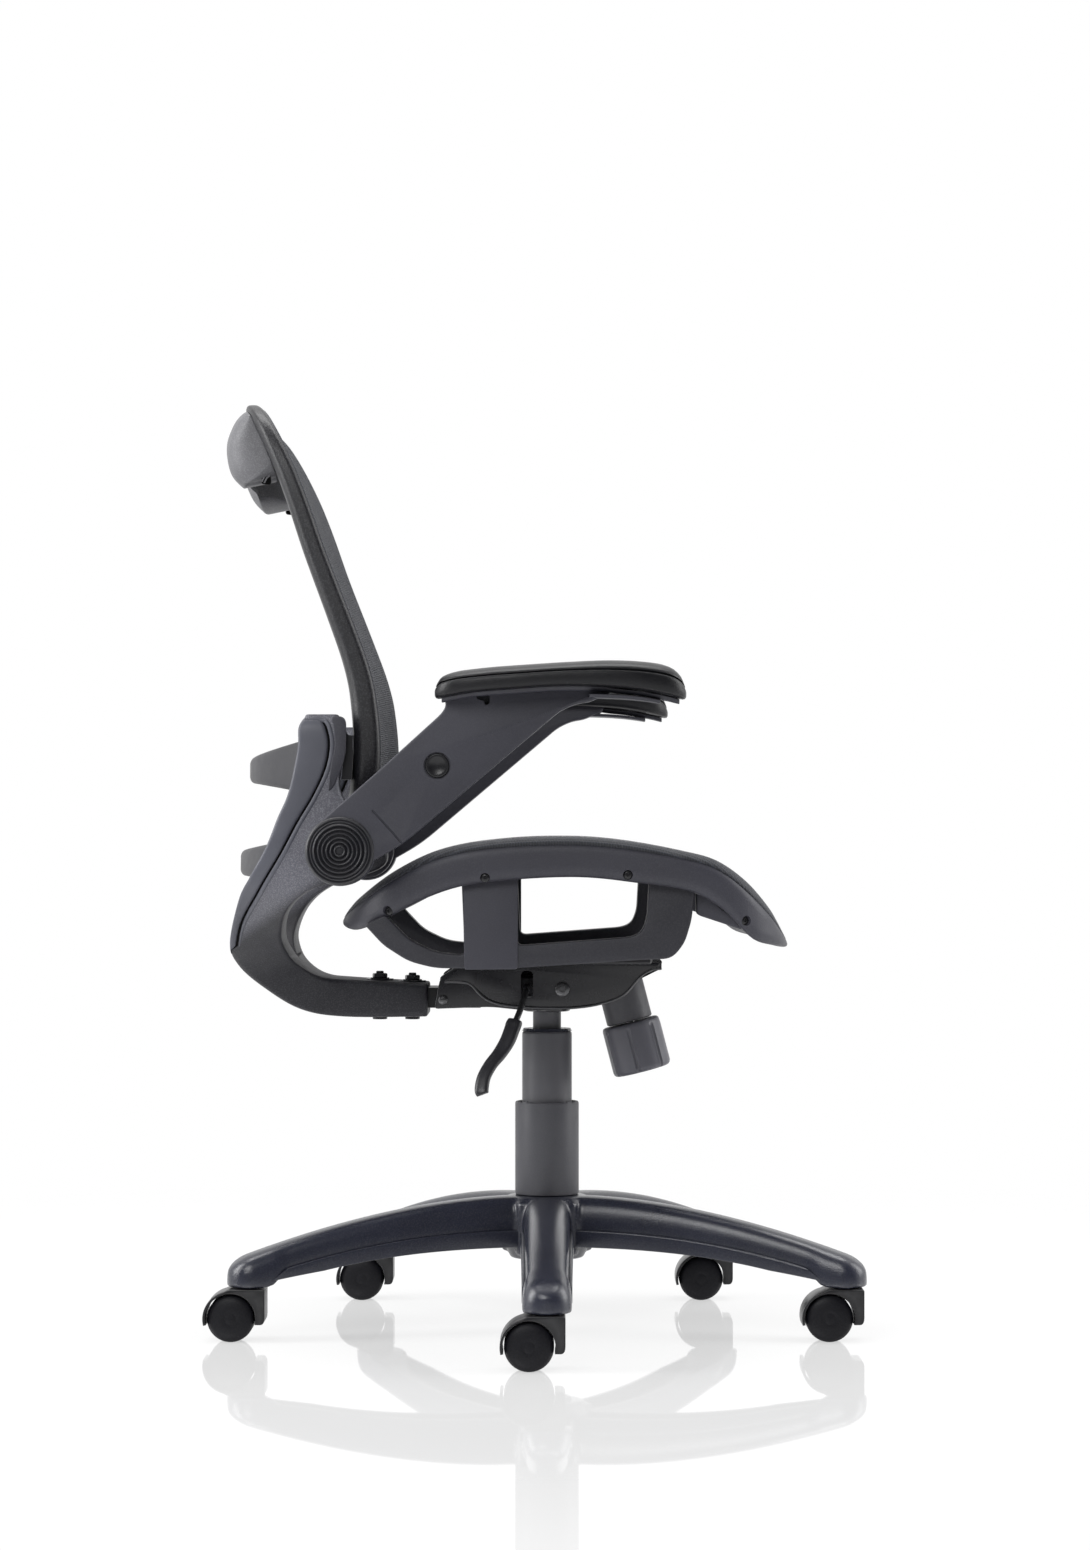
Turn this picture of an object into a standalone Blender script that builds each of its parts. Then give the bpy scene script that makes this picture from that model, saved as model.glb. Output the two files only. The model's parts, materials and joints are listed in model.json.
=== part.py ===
"""Mesh task chair: five-leg base on twin-wheel casters, gas lift, rocking tilt
mechanism, arched mesh seat, bowed mesh back on a yoke, and flip-up arms.

Metres, +Z up, +X to the front of the chair, -Y to the sitter's right.
The origin is on the floor, on the axis of the gas lift.
"""

import math

import bmesh
import bpy
from mathutils import Matrix, Vector

# Clearances, and how far a cutter runs past what it cuts
GAP = 0.0003
RUN = 0.0002
PAST = 0.030

# Base: a hub with five hollow legs
LEG_COUNT = 5
FIRST_LEG_ANGLE = math.radians(270)
LEG_REACH = 0.327
LEG_ROOT = 0.0375
LEG_NOSE = 0.009
LEG_TOP_AT_HUB = 0.134
LEG_TOP_AT_TIP = 0.077
LEG_TOP_CURVE = 1.8
LEG_FLOOR_AT_HUB = 0.0845
LEG_FLOOR_AT_TIP = 0.0525
LEG_FLOOR_CURVE = 2.5
LEG_HALF_WIDTH_AT_HUB = 0.0265
LEG_HALF_WIDTH_AT_TIP = 0.0228
LEG_SKIRT_SHARE = 0.35
LEG_SKIRT_STEP = 0.0022
LEG_SHOULDER = 0.011
LEG_WALL = 0.0045
LEG_SOCKET_WALL = 0.011
HUB_RADIUS = 0.042
HUB_BEVEL = 0.004
HUB_BOTTOM = 0.071

# Gas lift
TUBE_RADIUS = 0.0248
TUBE_WALL = 0.0025
TUBE_BOTTOM = 0.068
TUBE_TOP = 0.297
TUBE_FLOOR = 0.006
CYLINDER_RADIUS = 0.014
CYLINDER_LENGTH = 0.194
CYLINDER_BORE = 0.0064
ROD_RADIUS = 0.005
ROD_COLLAR_RADIUS = 0.013
ROD_COLLAR = 0.005
ROD_TOP = 0.262
BUSH_LENGTH = 0.060
BUSH_FLANGE = 0.0028
CLIP_RADIUS = 0.011
CLIP_THICKNESS = 0.002
SHROUD_RADIUS = 0.0318
SHROUD_WALL = 0.0022
SHROUD_HEIGHT = 0.094
SHROUD_LIP = 0.004
RELEASE_PIN_RADIUS = 0.004
RELEASE_PIN_PROUD = 0.006
RELEASE_PIN_LENGTH = 0.014
RELEASE_TRAVEL = 0.004

# Casters
STEM_FROM_TIP = 0.021
STEM_CIRCLE = LEG_REACH - STEM_FROM_TIP
STEM_RADIUS = 0.0055
STEM_LENGTH = 0.016
CASTER_TRAIL = 0.0165
WHEEL_RADIUS = 0.0235
WHEEL_STEPS = 16
WHEEL_WIDTH = 0.0168
WHEEL_SHOULDER = 0.006
WHEEL_FACE_RADIUS = 0.0170
AXLE_RADIUS = 0.004
CASTER_WEB = 0.0070
HOOD_SPACE = 0.0012
HOOD_WALL = 0.0030
HOOD_WIDTH = 0.0440
HOOD_BLOCK_REACH = 0.0310
HOOD_BLOCK_DROP = 0.0025
HOOD_TAIL_ANGLE = math.radians(205)

# Mechanism
PIVOT_X = 0.015
PIVOT_Z = 0.342
PIN_RADIUS = 0.006
PIN_HEAD_RADIUS = 0.0072
PIN_HEAD = 0.0035
SHEET = 0.003
HOUSING_WIDTH = 0.170
HOUSING_TOP = 0.3697
HOUSING_REAR = -0.1105
HOUSING_FRONT = 0.1125
HOUSING_LIP = 0.009
SLOPE_LOW = (0.0509, 0.3296)
SLOPE_HIGH = (0.1007, 0.3600)
BRACKET_WIDTH = 0.110
BRACKET_SHEET = 0.004
BRACKET_REAR = -0.050
BRACKET_FRONT = 0.040
BRACKET_BOTTOM = 0.3185
SOCKET_RADIUS = 0.022
COLLAR_RADIUS = 0.017
COLLAR_DROP = 0.0045
REAR_PIN_X = -0.1017
REAR_PIN_Z = 0.3315
REAR_PIN_RADIUS = 0.0048
TONGUE_WIDTH = 0.060
TONGUE_HEIGHT = 0.020
TONGUE_FRONT = -0.066
TONGUE_REAR = -0.190

# Lift lever
LEVER_X = -0.0196
LEVER_FULCRUM_Y = -0.030
LEVER_RADIUS = 0.003
LEVER_OUT_Y = -0.112
LEVER_DROP_X = -0.0325
LEVER_DROP_Y = -0.142
LEVER_DROP = 0.026
LEVER_SLOT_WIDTH = 0.012
LEVER_SLOT_BOTTOM = 0.330
LEVER_SLOT_TOP = 0.362
FULCRUM_WIDTH = 0.012
FULCRUM_DEPTH = 0.004
PADDLE_WIDTH = 0.0155
PADDLE_THICKNESS = 0.0085
PADDLE_RUN = (-0.029, -0.040, -0.070)
PADDLE_GRIP = 0.012

# Tilt tension
TENSION_LEAN = math.radians(14.6)
KNOB_TOP = (0.083, 0.306)
KNOB_RADIUS = 0.029
KNOB_LENGTH = 0.050
KNOB_BEVEL = 0.004
KNOB_FLUTES = 12
KNOB_FLUTE_DEPTH = 0.0018
KNOB_BORE_DEPTH = 0.024
CUP_RADIUS = 0.023
CUP_WALL = 0.002
CUP_LENGTH = 0.048
CUP_TO_KNOB = 0.0012
TENSION_BOLT_RADIUS = 0.005
TENSION_BOLT_HEAD_RADIUS = 0.009
TENSION_BOLT_HEAD = 0.005
TENSION_BOLT_TOP = 0.046
TENSION_BOLT_BOTTOM = 0.020
SPRING_RADIUS = 0.013
SPRING_WIRE = 0.0019
SPRING_TURNS = 3.5
SPRING_LENGTH = 0.0175
SPRING_POINTS = 9

# Seat
SEAT_REAR = -0.1988
SEAT_FRONT = 0.2340
SEAT_HALF_WIDTH = 0.245
SEAT_CORNER = 5.0
SEAT_RAIL = 0.040
SEAT_LEDGE = 0.012
SEAT_LEDGE_DROP = 0.007
SEAT_TOP = ((SEAT_REAR, 0.4120), (-0.1780, 0.4317), (-0.1416, 0.4580), (-0.0985, 0.4777), (-0.0403, 0.4870),
            (0.0253, 0.4890), (0.0740, 0.4852), (0.1313, 0.4749), (0.1603, 0.4664), (0.1885, 0.4467),
            (0.2120, 0.4205), (0.2250, 0.4010), (SEAT_FRONT, 0.3890))
SEAT_UNDER = ((SEAT_REAR, 0.4045), (-0.1810, 0.4017), (-0.1510, 0.4140), (-0.1125, 0.4336), (-0.0778, 0.4449),
              (-0.0310, 0.4505), (0.0310, 0.4528), (0.0825, 0.4477), (0.1388, 0.4383), (0.1700, 0.4190),
              (0.1950, 0.3933), (0.2180, 0.3865), (SEAT_FRONT, 0.3835))
SEAT_STATIONS = 44
CLOTH = 0.0022
CLOTH_RINGS = (0.80, 0.50, 0.18)
CLOTH_SEAT = 0.0006
SEAT_CROWN = 0.0045
PAN_REAR = -0.080
PAN_FRONT = 0.100
PAN_SIDE_INSET = 0.047
PAN_HALF_WIDTH = SEAT_HALF_WIDTH - PAN_SIDE_INSET
PAN_THICKNESS = 0.007
CRADLE_THICKNESS = 0.030
CRADLE_SEAT = 0.0010
REAR_POST = (-0.0803, -0.0312)
FRONT_POST = (0.0963, 0.1398)
RAIL_BOTTOM = 0.3672
RAIL_TOP = 0.3885
RAIL_RISE = 0.0080
STRUT_TIP = (-0.1680, -0.1520)

# Back
BACK_BOTTOM = 0.5070
BACK_TOP = 0.9085
BACK_HALF_WIDTH = 0.222
BACK_CORNER = 6.5
BACK_RAIL = 0.026
BACK_DEPTH_AT_BOTTOM = 0.0265
BACK_DEPTH_AT_TOP = 0.0165
BACK_LEDGE = 0.010
BACK_LEDGE_DROP = 0.006
BACK_BOW = 0.012
BACK_CROWN = 0.006
BACK_FRONT = ((BACK_BOTTOM, -0.1595), (0.5730, -0.1565), (0.6250, -0.1612), (0.6550, -0.1685),
              (0.6920, -0.1820), (0.7600, -0.2085), (0.8080, -0.2255), (0.8450, -0.2400),
              (0.8976, -0.2645), (BACK_TOP, -0.2702))
BACK_STATIONS = 40
GRIP_HALF_WIDTH = 0.165
GRIP_WALL = 0.006
GRIP_STATIONS = 11
GRIP_OUTLINE = ((0.0005, 0.0050), (-0.0080, -0.0040), (-0.0145, -0.0180), (-0.0140, -0.0310),
                (-0.0075, -0.0430), (0.0030, -0.0520))
GRIP_SEAT_DROP = 0.0095
MOUNT_BOTTOM = 0.545
MOUNT_TOP = 0.587
MOUNT_WIDTH = 0.018

# Yoke: its stations run from the bolted end up to the top of the upright.
# Each gives the rear edge, the front edge, the share of the rear cover, and the inner and outer reach.
UPRIGHT_INNER = 0.190
UPRIGHT_OUTER = 0.226
YOKE_END_X = -0.1204
YOKE_LOW = 0.3133
PAST_MIDDLE = -0.006
YOKE_STATIONS = (
    ((YOKE_END_X, YOKE_LOW), (YOKE_END_X, 0.3458), 0.00, PAST_MIDDLE, 0.045),
    ((-0.1994, YOKE_LOW), (-0.1925, 0.3498), 0.00, PAST_MIDDLE, 0.047),
    ((-0.2435, 0.3213), (-0.2216, 0.3529), 0.00, PAST_MIDDLE, 0.056),
    ((-0.2800, 0.3446), (-0.2407, 0.3632), 0.00, PAST_MIDDLE, 0.074),
    ((-0.3010, 0.3664), (-0.2520, 0.3772), 0.00, 0.010, 0.102),
    ((-0.3060, 0.3890), (-0.2562, 0.3960), 0.12, 0.060, 0.138),
    ((-0.2933, 0.4313), (-0.2471, 0.4217), 0.21, 0.128, 0.190),
    ((-0.2810, 0.4528), (-0.2229, 0.4413), 0.23, 0.170, 0.216),
    ((-0.2653, 0.4804), (-0.1709, 0.4616), 0.19, UPRIGHT_INNER, UPRIGHT_OUTER),
    ((-0.2540, 0.5088), (-0.1747, 0.4974), 0.27, UPRIGHT_INNER, UPRIGHT_OUTER),
    ((-0.2436, 0.5333), (-0.1955, 0.5352), 0.50, UPRIGHT_INNER, UPRIGHT_OUTER),
    ((-0.2351, 0.5730), (-0.1917, 0.5730), 0.62, UPRIGHT_INNER, UPRIGHT_OUTER),
    ((-0.2342, 0.5938), (-0.1910, 0.5960), 0.55, UPRIGHT_INNER + 0.002, UPRIGHT_OUTER - 0.001),
    ((-0.2285, 0.6041), (-0.1964, 0.6041), 0.50, UPRIGHT_INNER + 0.007, UPRIGHT_OUTER - 0.006),
)
YOKE_EDGE = 0.005
COVER_FIRST = 5
COVER_SEAM = 0.0006
COVER_EDGE = 0.004
YOKE_BOLTS_X = (-0.1345, -0.1670)
YOKE_BOLT_RADIUS = 0.004
YOKE_NUT_RADIUS = 0.0078
YOKE_NUT = 0.0065
YOKE_HEAD = 0.004
BAR_THICKNESS = 0.010
BAR_INSET = 0.004
BAR_END = 0.0009
BAR_STATIONS = 9
LUMBAR_MID = (-0.2940, 0.5440, 0.5690)
LUMBAR_END = (0.5340, 0.5840)
LOWER_MID = (-0.3025, 0.4530, 0.4780)
LOWER_END = (0.4520, 0.4860)

# Arms
ARM_PIVOT = (-0.1925, 0.4777)
ARM_HUB_RADIUS = 0.0326
ARM_WEB_INNER = 0.250
ARM_WEB_OUTER = 0.276
ARM_UPPER = ((-0.1526, 0.5559), (-0.0930, 0.6100))
ARM_LOWER = ((0.0530, 0.6230), (0.0400, 0.6166), (0.0270, 0.6147), (0.0121, 0.6082), (-0.0065, 0.5924),
             (-0.1342, 0.4843))
ARM_TANGENT_UPPER = math.radians(137)
ARM_TANGENT_LOWER = math.radians(-16)
PAD_REAR = -0.1042
PAD_FRONT = 0.1293
PAD_TOP = ((PAD_REAR, 0.6330), (-0.0970, 0.6410), (-0.0633, 0.6471), (-0.0177, 0.6508), (0.0484, 0.6545),
           (0.0623, 0.6550), (0.0865, 0.6526), (0.1163, 0.6485), (0.1250, 0.6420), (PAD_FRONT, 0.6310))
PAD_SEAM = ((PAD_REAR, 0.6180), (-0.0754, 0.6238), (-0.0326, 0.6275), (0.0121, 0.6303), (0.0540, 0.6294),
            (0.0865, 0.6266), (0.1163, 0.6210), (PAD_FRONT, 0.6170))
PAD_Y = 0.275
PAD_HALF_WIDTH = 0.039
PAD_END_SQUARENESS = 3.2
PAD_CROWN = 0.003
PAD_STATIONS = 14
PLATE_THICKNESS = 0.0055
PLATE_HALF_WIDTH = 0.029
PLATE_INSET = 0.008
PIVOT_BOLT_RADIUS = 0.006
PIVOT_HEAD_RADIUS = 0.011
PIVOT_HEAD = 0.005
PIVOT_NUT = 0.006
CAP_RADIUS = 0.0252
CAP_STEP_RADIUS = 0.0160
CAP_THICKNESS = 0.0040

PARTS = "mesh_task_chair"
CUTTERS = "cutters"


# Scene, collections and materials

def clear_scene():
    for obj in list(bpy.data.objects):
        bpy.data.objects.remove(obj, do_unlink=True)
    for name in (PARTS, CUTTERS):
        collection = bpy.data.collections.new(name)
        bpy.context.scene.collection.children.link(collection)
        if name == CUTTERS:
            collection.hide_render = True


def finish(name, colour, roughness, metallic=0.0):
    material = bpy.data.materials.new(name)
    material.use_nodes = True
    shader = material.node_tree.nodes["Principled BSDF"]
    shader.inputs["Base Color"].default_value = (*colour, 1.0)
    shader.inputs["Roughness"].default_value = roughness
    shader.inputs["Metallic"].default_value = metallic
    return material


def make_finishes():
    return {
        "nylon": finish("grained_nylon", (0.022, 0.023, 0.030), 0.55),
        "shell": finish("speckled_shell", (0.045, 0.046, 0.054), 0.60),
        "cover": finish("smooth_cover", (0.085, 0.086, 0.095), 0.50),
        "steel": finish("black_steel", (0.018, 0.018, 0.020), 0.38, 0.3),
        "bright": finish("bright_steel", (0.55, 0.55, 0.56), 0.30, 1.0),
        "tube": finish("satin_tube", (0.060, 0.060, 0.066), 0.40, 0.4),
        "wheel": finish("wheel_nylon", (0.024, 0.024, 0.028), 0.45),
        "mesh": finish("seat_cloth", (0.030, 0.034, 0.045), 0.85),
        "pad": finish("soft_pad", (0.016, 0.016, 0.018), 0.60),
    }


def place(obj, material, parent=None):
    """Put a finished piece in the parts collection, on its joint's empty if it has one."""
    for collection in list(obj.users_collection):
        collection.objects.unlink(obj)
    bpy.data.collections[PARTS].objects.link(obj)
    obj.data.materials.clear()
    obj.data.materials.append(material)
    if parent is not None:
        obj.parent = parent
        obj.matrix_parent_inverse = parent.matrix_world.inverted()
    return obj


def joint_empty(name, position):
    empty = bpy.data.objects.new(name, None)
    empty.empty_display_size = 0.03
    empty.location = position
    bpy.data.collections[PARTS].objects.link(empty)
    bpy.context.view_layer.update()
    return empty


def mesh_object(name, mesh):
    obj = bpy.data.objects.new(name, mesh)
    bpy.data.collections[CUTTERS].objects.link(obj)
    return obj


def round_shaded(obj, degrees=35):
    obj.data.shade_smooth()
    obj.data.set_sharp_from_angle(angle=math.radians(degrees))
    return obj


# Shape helpers

def curve_through(points):
    """A smooth height through (position, height) points, level with its neighbours' slopes."""
    spots = [p[0] for p in points]
    heights = [p[1] for p in points]
    last = len(points) - 1

    def slope(i):
        low, high = max(i - 1, 0), min(i + 1, last)
        return (heights[high] - heights[low]) / (spots[high] - spots[low])

    def height(at):
        at = min(max(at, spots[0]), spots[last])
        i = 0
        while i < last - 1 and at > spots[i + 1]:
            i += 1
        span = spots[i + 1] - spots[i]
        t = (at - spots[i]) / span
        return ((2 * t**3 - 3 * t**2 + 1) * heights[i] + (t**3 - 2 * t**2 + t) * span * slope(i)
                + (3 * t**2 - 2 * t**3) * heights[i + 1] + (t**3 - t**2) * span * slope(i + 1))

    return height


def line_through(points):
    """A height that runs straight between (position, height) points."""
    def height(at):
        for (a, low), (b, high) in zip(points, points[1:]):
            if at <= b:
                break
        return mix(low, high, (at - a) / (b - a))

    return height


def mix(a, b, t):
    return a + (b - a) * t


def loft(name, rings, closed=False):
    """A skin over rings of points; open lofts get flat ends."""
    bm = bmesh.new()
    rows = [[bm.verts.new(p) for p in ring] for ring in rings]
    pairs = list(zip(rows, rows[1:] + rows[:1])) if closed else list(zip(rows, rows[1:]))
    for first, second in pairs:
        for i, _ in enumerate(first):
            j = (i + 1) % len(first)
            bm.faces.new((first[i], first[j], second[j], second[i]))
    if not closed:
        bm.faces.new(rows[0])
        bm.faces.new(rows[-1])
    bmesh.ops.recalc_face_normals(bm, faces=bm.faces)
    mesh = bpy.data.meshes.new(name)
    bm.to_mesh(mesh)
    bm.free()
    return mesh_object(name, mesh)


def turned(name, profile, ring=False, steps=24, position=(0, 0, 0), rotation=(0, 0, 0)):
    """A turned piece: (radius, height) points that run down the outer side, spun about local Z."""
    mesh = bpy.data.meshes.new(name)
    count = len(profile)
    edges = [(i, i + 1) for i in range(count - 1)]
    if ring:
        edges.append((count - 1, 0))
    mesh.from_pydata([(r, 0, z) for r, z in profile], edges, [])
    obj = mesh_object(name, mesh)
    screw = obj.modifiers.new("turn", "SCREW")
    screw.steps = steps
    screw.render_steps = steps
    screw.use_merge_vertices = True
    screw.merge_threshold = 0.00001
    screw.use_smooth_shade = False
    obj.location = position
    obj.rotation_euler = rotation
    return obj


def baked(obj):
    """The same object with its modifiers and placement written into a plain mesh."""
    bpy.context.view_layer.update()
    graph = bpy.context.evaluated_depsgraph_get()
    mesh = bpy.data.meshes.new_from_object(obj.evaluated_get(graph))
    mesh.transform(obj.matrix_world)
    bm = bmesh.new()
    bm.from_mesh(mesh)
    bmesh.ops.remove_doubles(bm, verts=bm.verts, dist=0.000005)
    bmesh.ops.recalc_face_normals(bm, faces=bm.faces)
    bm.to_mesh(mesh)
    bm.free()
    name = obj.name
    bpy.data.objects.remove(obj, do_unlink=True)
    mesh.name = name
    return mesh_object(name, mesh)


def prism(name, outline, low, high):
    """A flat side outline of (x, z) points, thick from y = low to y = high."""
    curve = bpy.data.curves.new(name, "CURVE")
    curve.dimensions = "2D"
    curve.fill_mode = "BOTH"
    curve.extrude = abs(high - low) / 2
    spline = curve.splines.new("POLY")
    spline.points.add(len(outline) - 1)
    for point, (x, z) in zip(spline.points, outline):
        point.co = (x, z, 0, 1)
    spline.use_cyclic_u = True
    obj = bpy.data.objects.new(name, curve)
    bpy.data.collections[CUTTERS].objects.link(obj)
    obj.rotation_euler = (math.pi / 2, 0, 0)
    obj.location = (0, (low + high) / 2, 0)
    return baked(obj)


def block(name, low, high):
    bm = bmesh.new()
    bmesh.ops.create_cube(bm, size=1.0)
    middle = (Vector(low) + Vector(high)) / 2
    size = Vector(high) - Vector(low)
    bmesh.ops.transform(bm, matrix=Matrix.Translation(middle) @ Matrix.Diagonal((*size, 1)), verts=bm.verts)
    mesh = bpy.data.meshes.new(name)
    bm.to_mesh(mesh)
    bm.free()
    return mesh_object(name, mesh)


def round_bar(name, radius, start, end, steps=16):
    """A plain round bar between two points."""
    start, end = Vector(start), Vector(end)
    bm = bmesh.new()
    bmesh.ops.create_cone(bm, cap_ends=True, segments=steps, radius1=radius, radius2=radius,
                          depth=(end - start).length)
    turn = (end - start).to_track_quat("Z", "Y").to_matrix().to_4x4()
    bmesh.ops.transform(bm, matrix=Matrix.Translation((start + end) / 2) @ turn, verts=bm.verts)
    mesh = bpy.data.meshes.new(name)
    bm.to_mesh(mesh)
    bm.free()
    return mesh_object(name, mesh)


def tube_along(name, points, radius, resolution=1):
    """A round rod along a chain of points, as a closed mesh."""
    curve = bpy.data.curves.new(name, "CURVE")
    curve.dimensions = "3D"
    curve.bevel_depth = radius
    curve.bevel_resolution = resolution
    curve.use_fill_caps = True
    spline = curve.splines.new("POLY")
    spline.points.add(len(points) - 1)
    for point, place_at in zip(spline.points, points):
        point.co = (*place_at, 1)
    obj = bpy.data.objects.new(name, curve)
    bpy.data.collections[CUTTERS].objects.link(obj)
    return baked(obj)


def combine(target, other, operation):
    """Join or cut with another solid, which stays as a hidden helper."""
    other.display_type = "WIRE"
    other.hide_render = True
    modifier = target.modifiers.new(operation.lower(), "BOOLEAN")
    modifier.operation = operation
    modifier.solver = "EXACT"
    modifier.object = other
    return target


def cut(target, other):
    return combine(target, other, "DIFFERENCE")


def join(target, other):
    return combine(target, other, "UNION")


def bevelled(obj, width, segments=1, degrees=40):
    modifier = obj.modifiers.new("edges", "BEVEL")
    modifier.width = width
    modifier.segments = segments
    modifier.limit_method = "ANGLE"
    modifier.angle_limit = math.radians(degrees)
    return obj


def arc(centre, radius, start, end, count):
    return [(centre[0] + radius * math.cos(mix(start, end, i / count)),
             centre[1] + radius * math.sin(mix(start, end, i / count))) for i in range(count + 1)]


def side_name(base, side):
    return base + ("_right" if side < 0 else "_left")


# Base

def leg_angles():
    return [FIRST_LEG_ANGLE + 2 * math.pi * k / LEG_COUNT for k in range(LEG_COUNT)]


def leg_sizes(reach):
    """Top, floor and half width of a leg at a distance from the column axis."""
    t = min(max((reach - LEG_ROOT) / (LEG_REACH - LEG_ROOT), 0), 1)
    top = mix(LEG_TOP_AT_HUB, LEG_TOP_AT_TIP, t**LEG_TOP_CURVE)
    socket = min(max((reach - LEG_ROOT) / (STEM_CIRCLE - LEG_SOCKET_WALL - LEG_ROOT), 0), 1)
    floor = mix(LEG_FLOOR_AT_HUB, LEG_FLOOR_AT_TIP, socket**LEG_FLOOR_CURVE)
    return top, floor, mix(LEG_HALF_WIDTH_AT_HUB, LEG_HALF_WIDTH_AT_TIP, t)


def leg_ring(angle, reach, points):
    """Section points (sideways, height) set square across a leg."""
    along = Vector((math.cos(angle), math.sin(angle), 0))
    across = Vector((-math.sin(angle), math.cos(angle), 0))
    return [along * reach + across * v + Vector((0, 0, z)) for v, z in points]


def leg_section(top, floor, half):
    skirt = mix(floor, top, LEG_SKIRT_SHARE)
    left = [(-half, floor), (-half, skirt), (-half + LEG_SKIRT_STEP, skirt + LEG_SKIRT_STEP),
            (-half + 2 * LEG_SKIRT_STEP, top - 0.7 * LEG_SHOULDER), (-half + LEG_SHOULDER, top)]
    return left + [(-v, z) for v, z in reversed(left)]


def leg_body(name, angle):
    stations = [mix(LEG_ROOT, LEG_REACH - LEG_NOSE, t) for t in (0, 0.25, 0.5, 0.7, 0.87, 1)]
    rings = [leg_ring(angle, r, leg_section(*leg_sizes(r))) for r in stations]
    top, floor, half = leg_sizes(LEG_REACH)
    nose = leg_section(top - LEG_NOSE * 0.9, floor + LEG_NOSE * 0.4, half - LEG_NOSE * 0.6)
    return loft(name, rings + [leg_ring(angle, LEG_REACH, nose)])


def leg_pocket(name, angle):
    """The hollow under a leg, from the hub's wall to the caster socket."""
    first = HUB_RADIUS + LEG_WALL
    last = STEM_CIRCLE - STEM_RADIUS - LEG_SOCKET_WALL
    rings = []
    for t in (0, 0.33, 0.67, 1):
        reach = mix(first, last, t)
        top, floor, half = leg_sizes(reach)
        wall = half - LEG_WALL
        roof = top - LEG_WALL
        below = floor - LEG_SHOULDER
        rings.append(leg_ring(angle, reach, [(-wall, below), (-wall, mix(floor, top, LEG_SKIRT_SHARE)),
                                             (-wall + LEG_SHOULDER, roof), (wall - LEG_SHOULDER, roof),
                                             (wall, mix(floor, top, LEG_SKIRT_SHARE)), (wall, below)]))
    return loft(name, rings)


def build_base(mats):
    bore = TUBE_RADIUS + GAP
    star = baked(turned("base_star", [(bore, LEG_TOP_AT_HUB), (HUB_RADIUS - HUB_BEVEL, LEG_TOP_AT_HUB),
                                      (HUB_RADIUS, LEG_TOP_AT_HUB - HUB_BEVEL), (HUB_RADIUS, HUB_BOTTOM),
                                      (bore, HUB_BOTTOM)], ring=True, steps=24))
    socket_top = LEG_FLOOR_AT_TIP + STEM_LENGTH + 3 * GAP
    for k, angle in enumerate(leg_angles()):
        join(star, leg_body(f"leg_{k + 1}", angle))
    cut(star, round_bar("column_bore", bore, (0, 0, HUB_BOTTOM - 0.02), (0, 0, LEG_TOP_AT_HUB + 0.02),
                        steps=24))
    for k, angle in enumerate(leg_angles()):
        cut(star, leg_pocket(f"leg_pocket_{k + 1}", angle))
        x, y = STEM_CIRCLE * math.cos(angle), STEM_CIRCLE * math.sin(angle)
        cut(star, round_bar(f"stem_socket_{k + 1}", STEM_RADIUS + RUN, (x, y, LEG_FLOOR_AT_TIP - 0.02),
                            (x, y, socket_top), steps=12))
    place(star, mats["nylon"])


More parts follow.
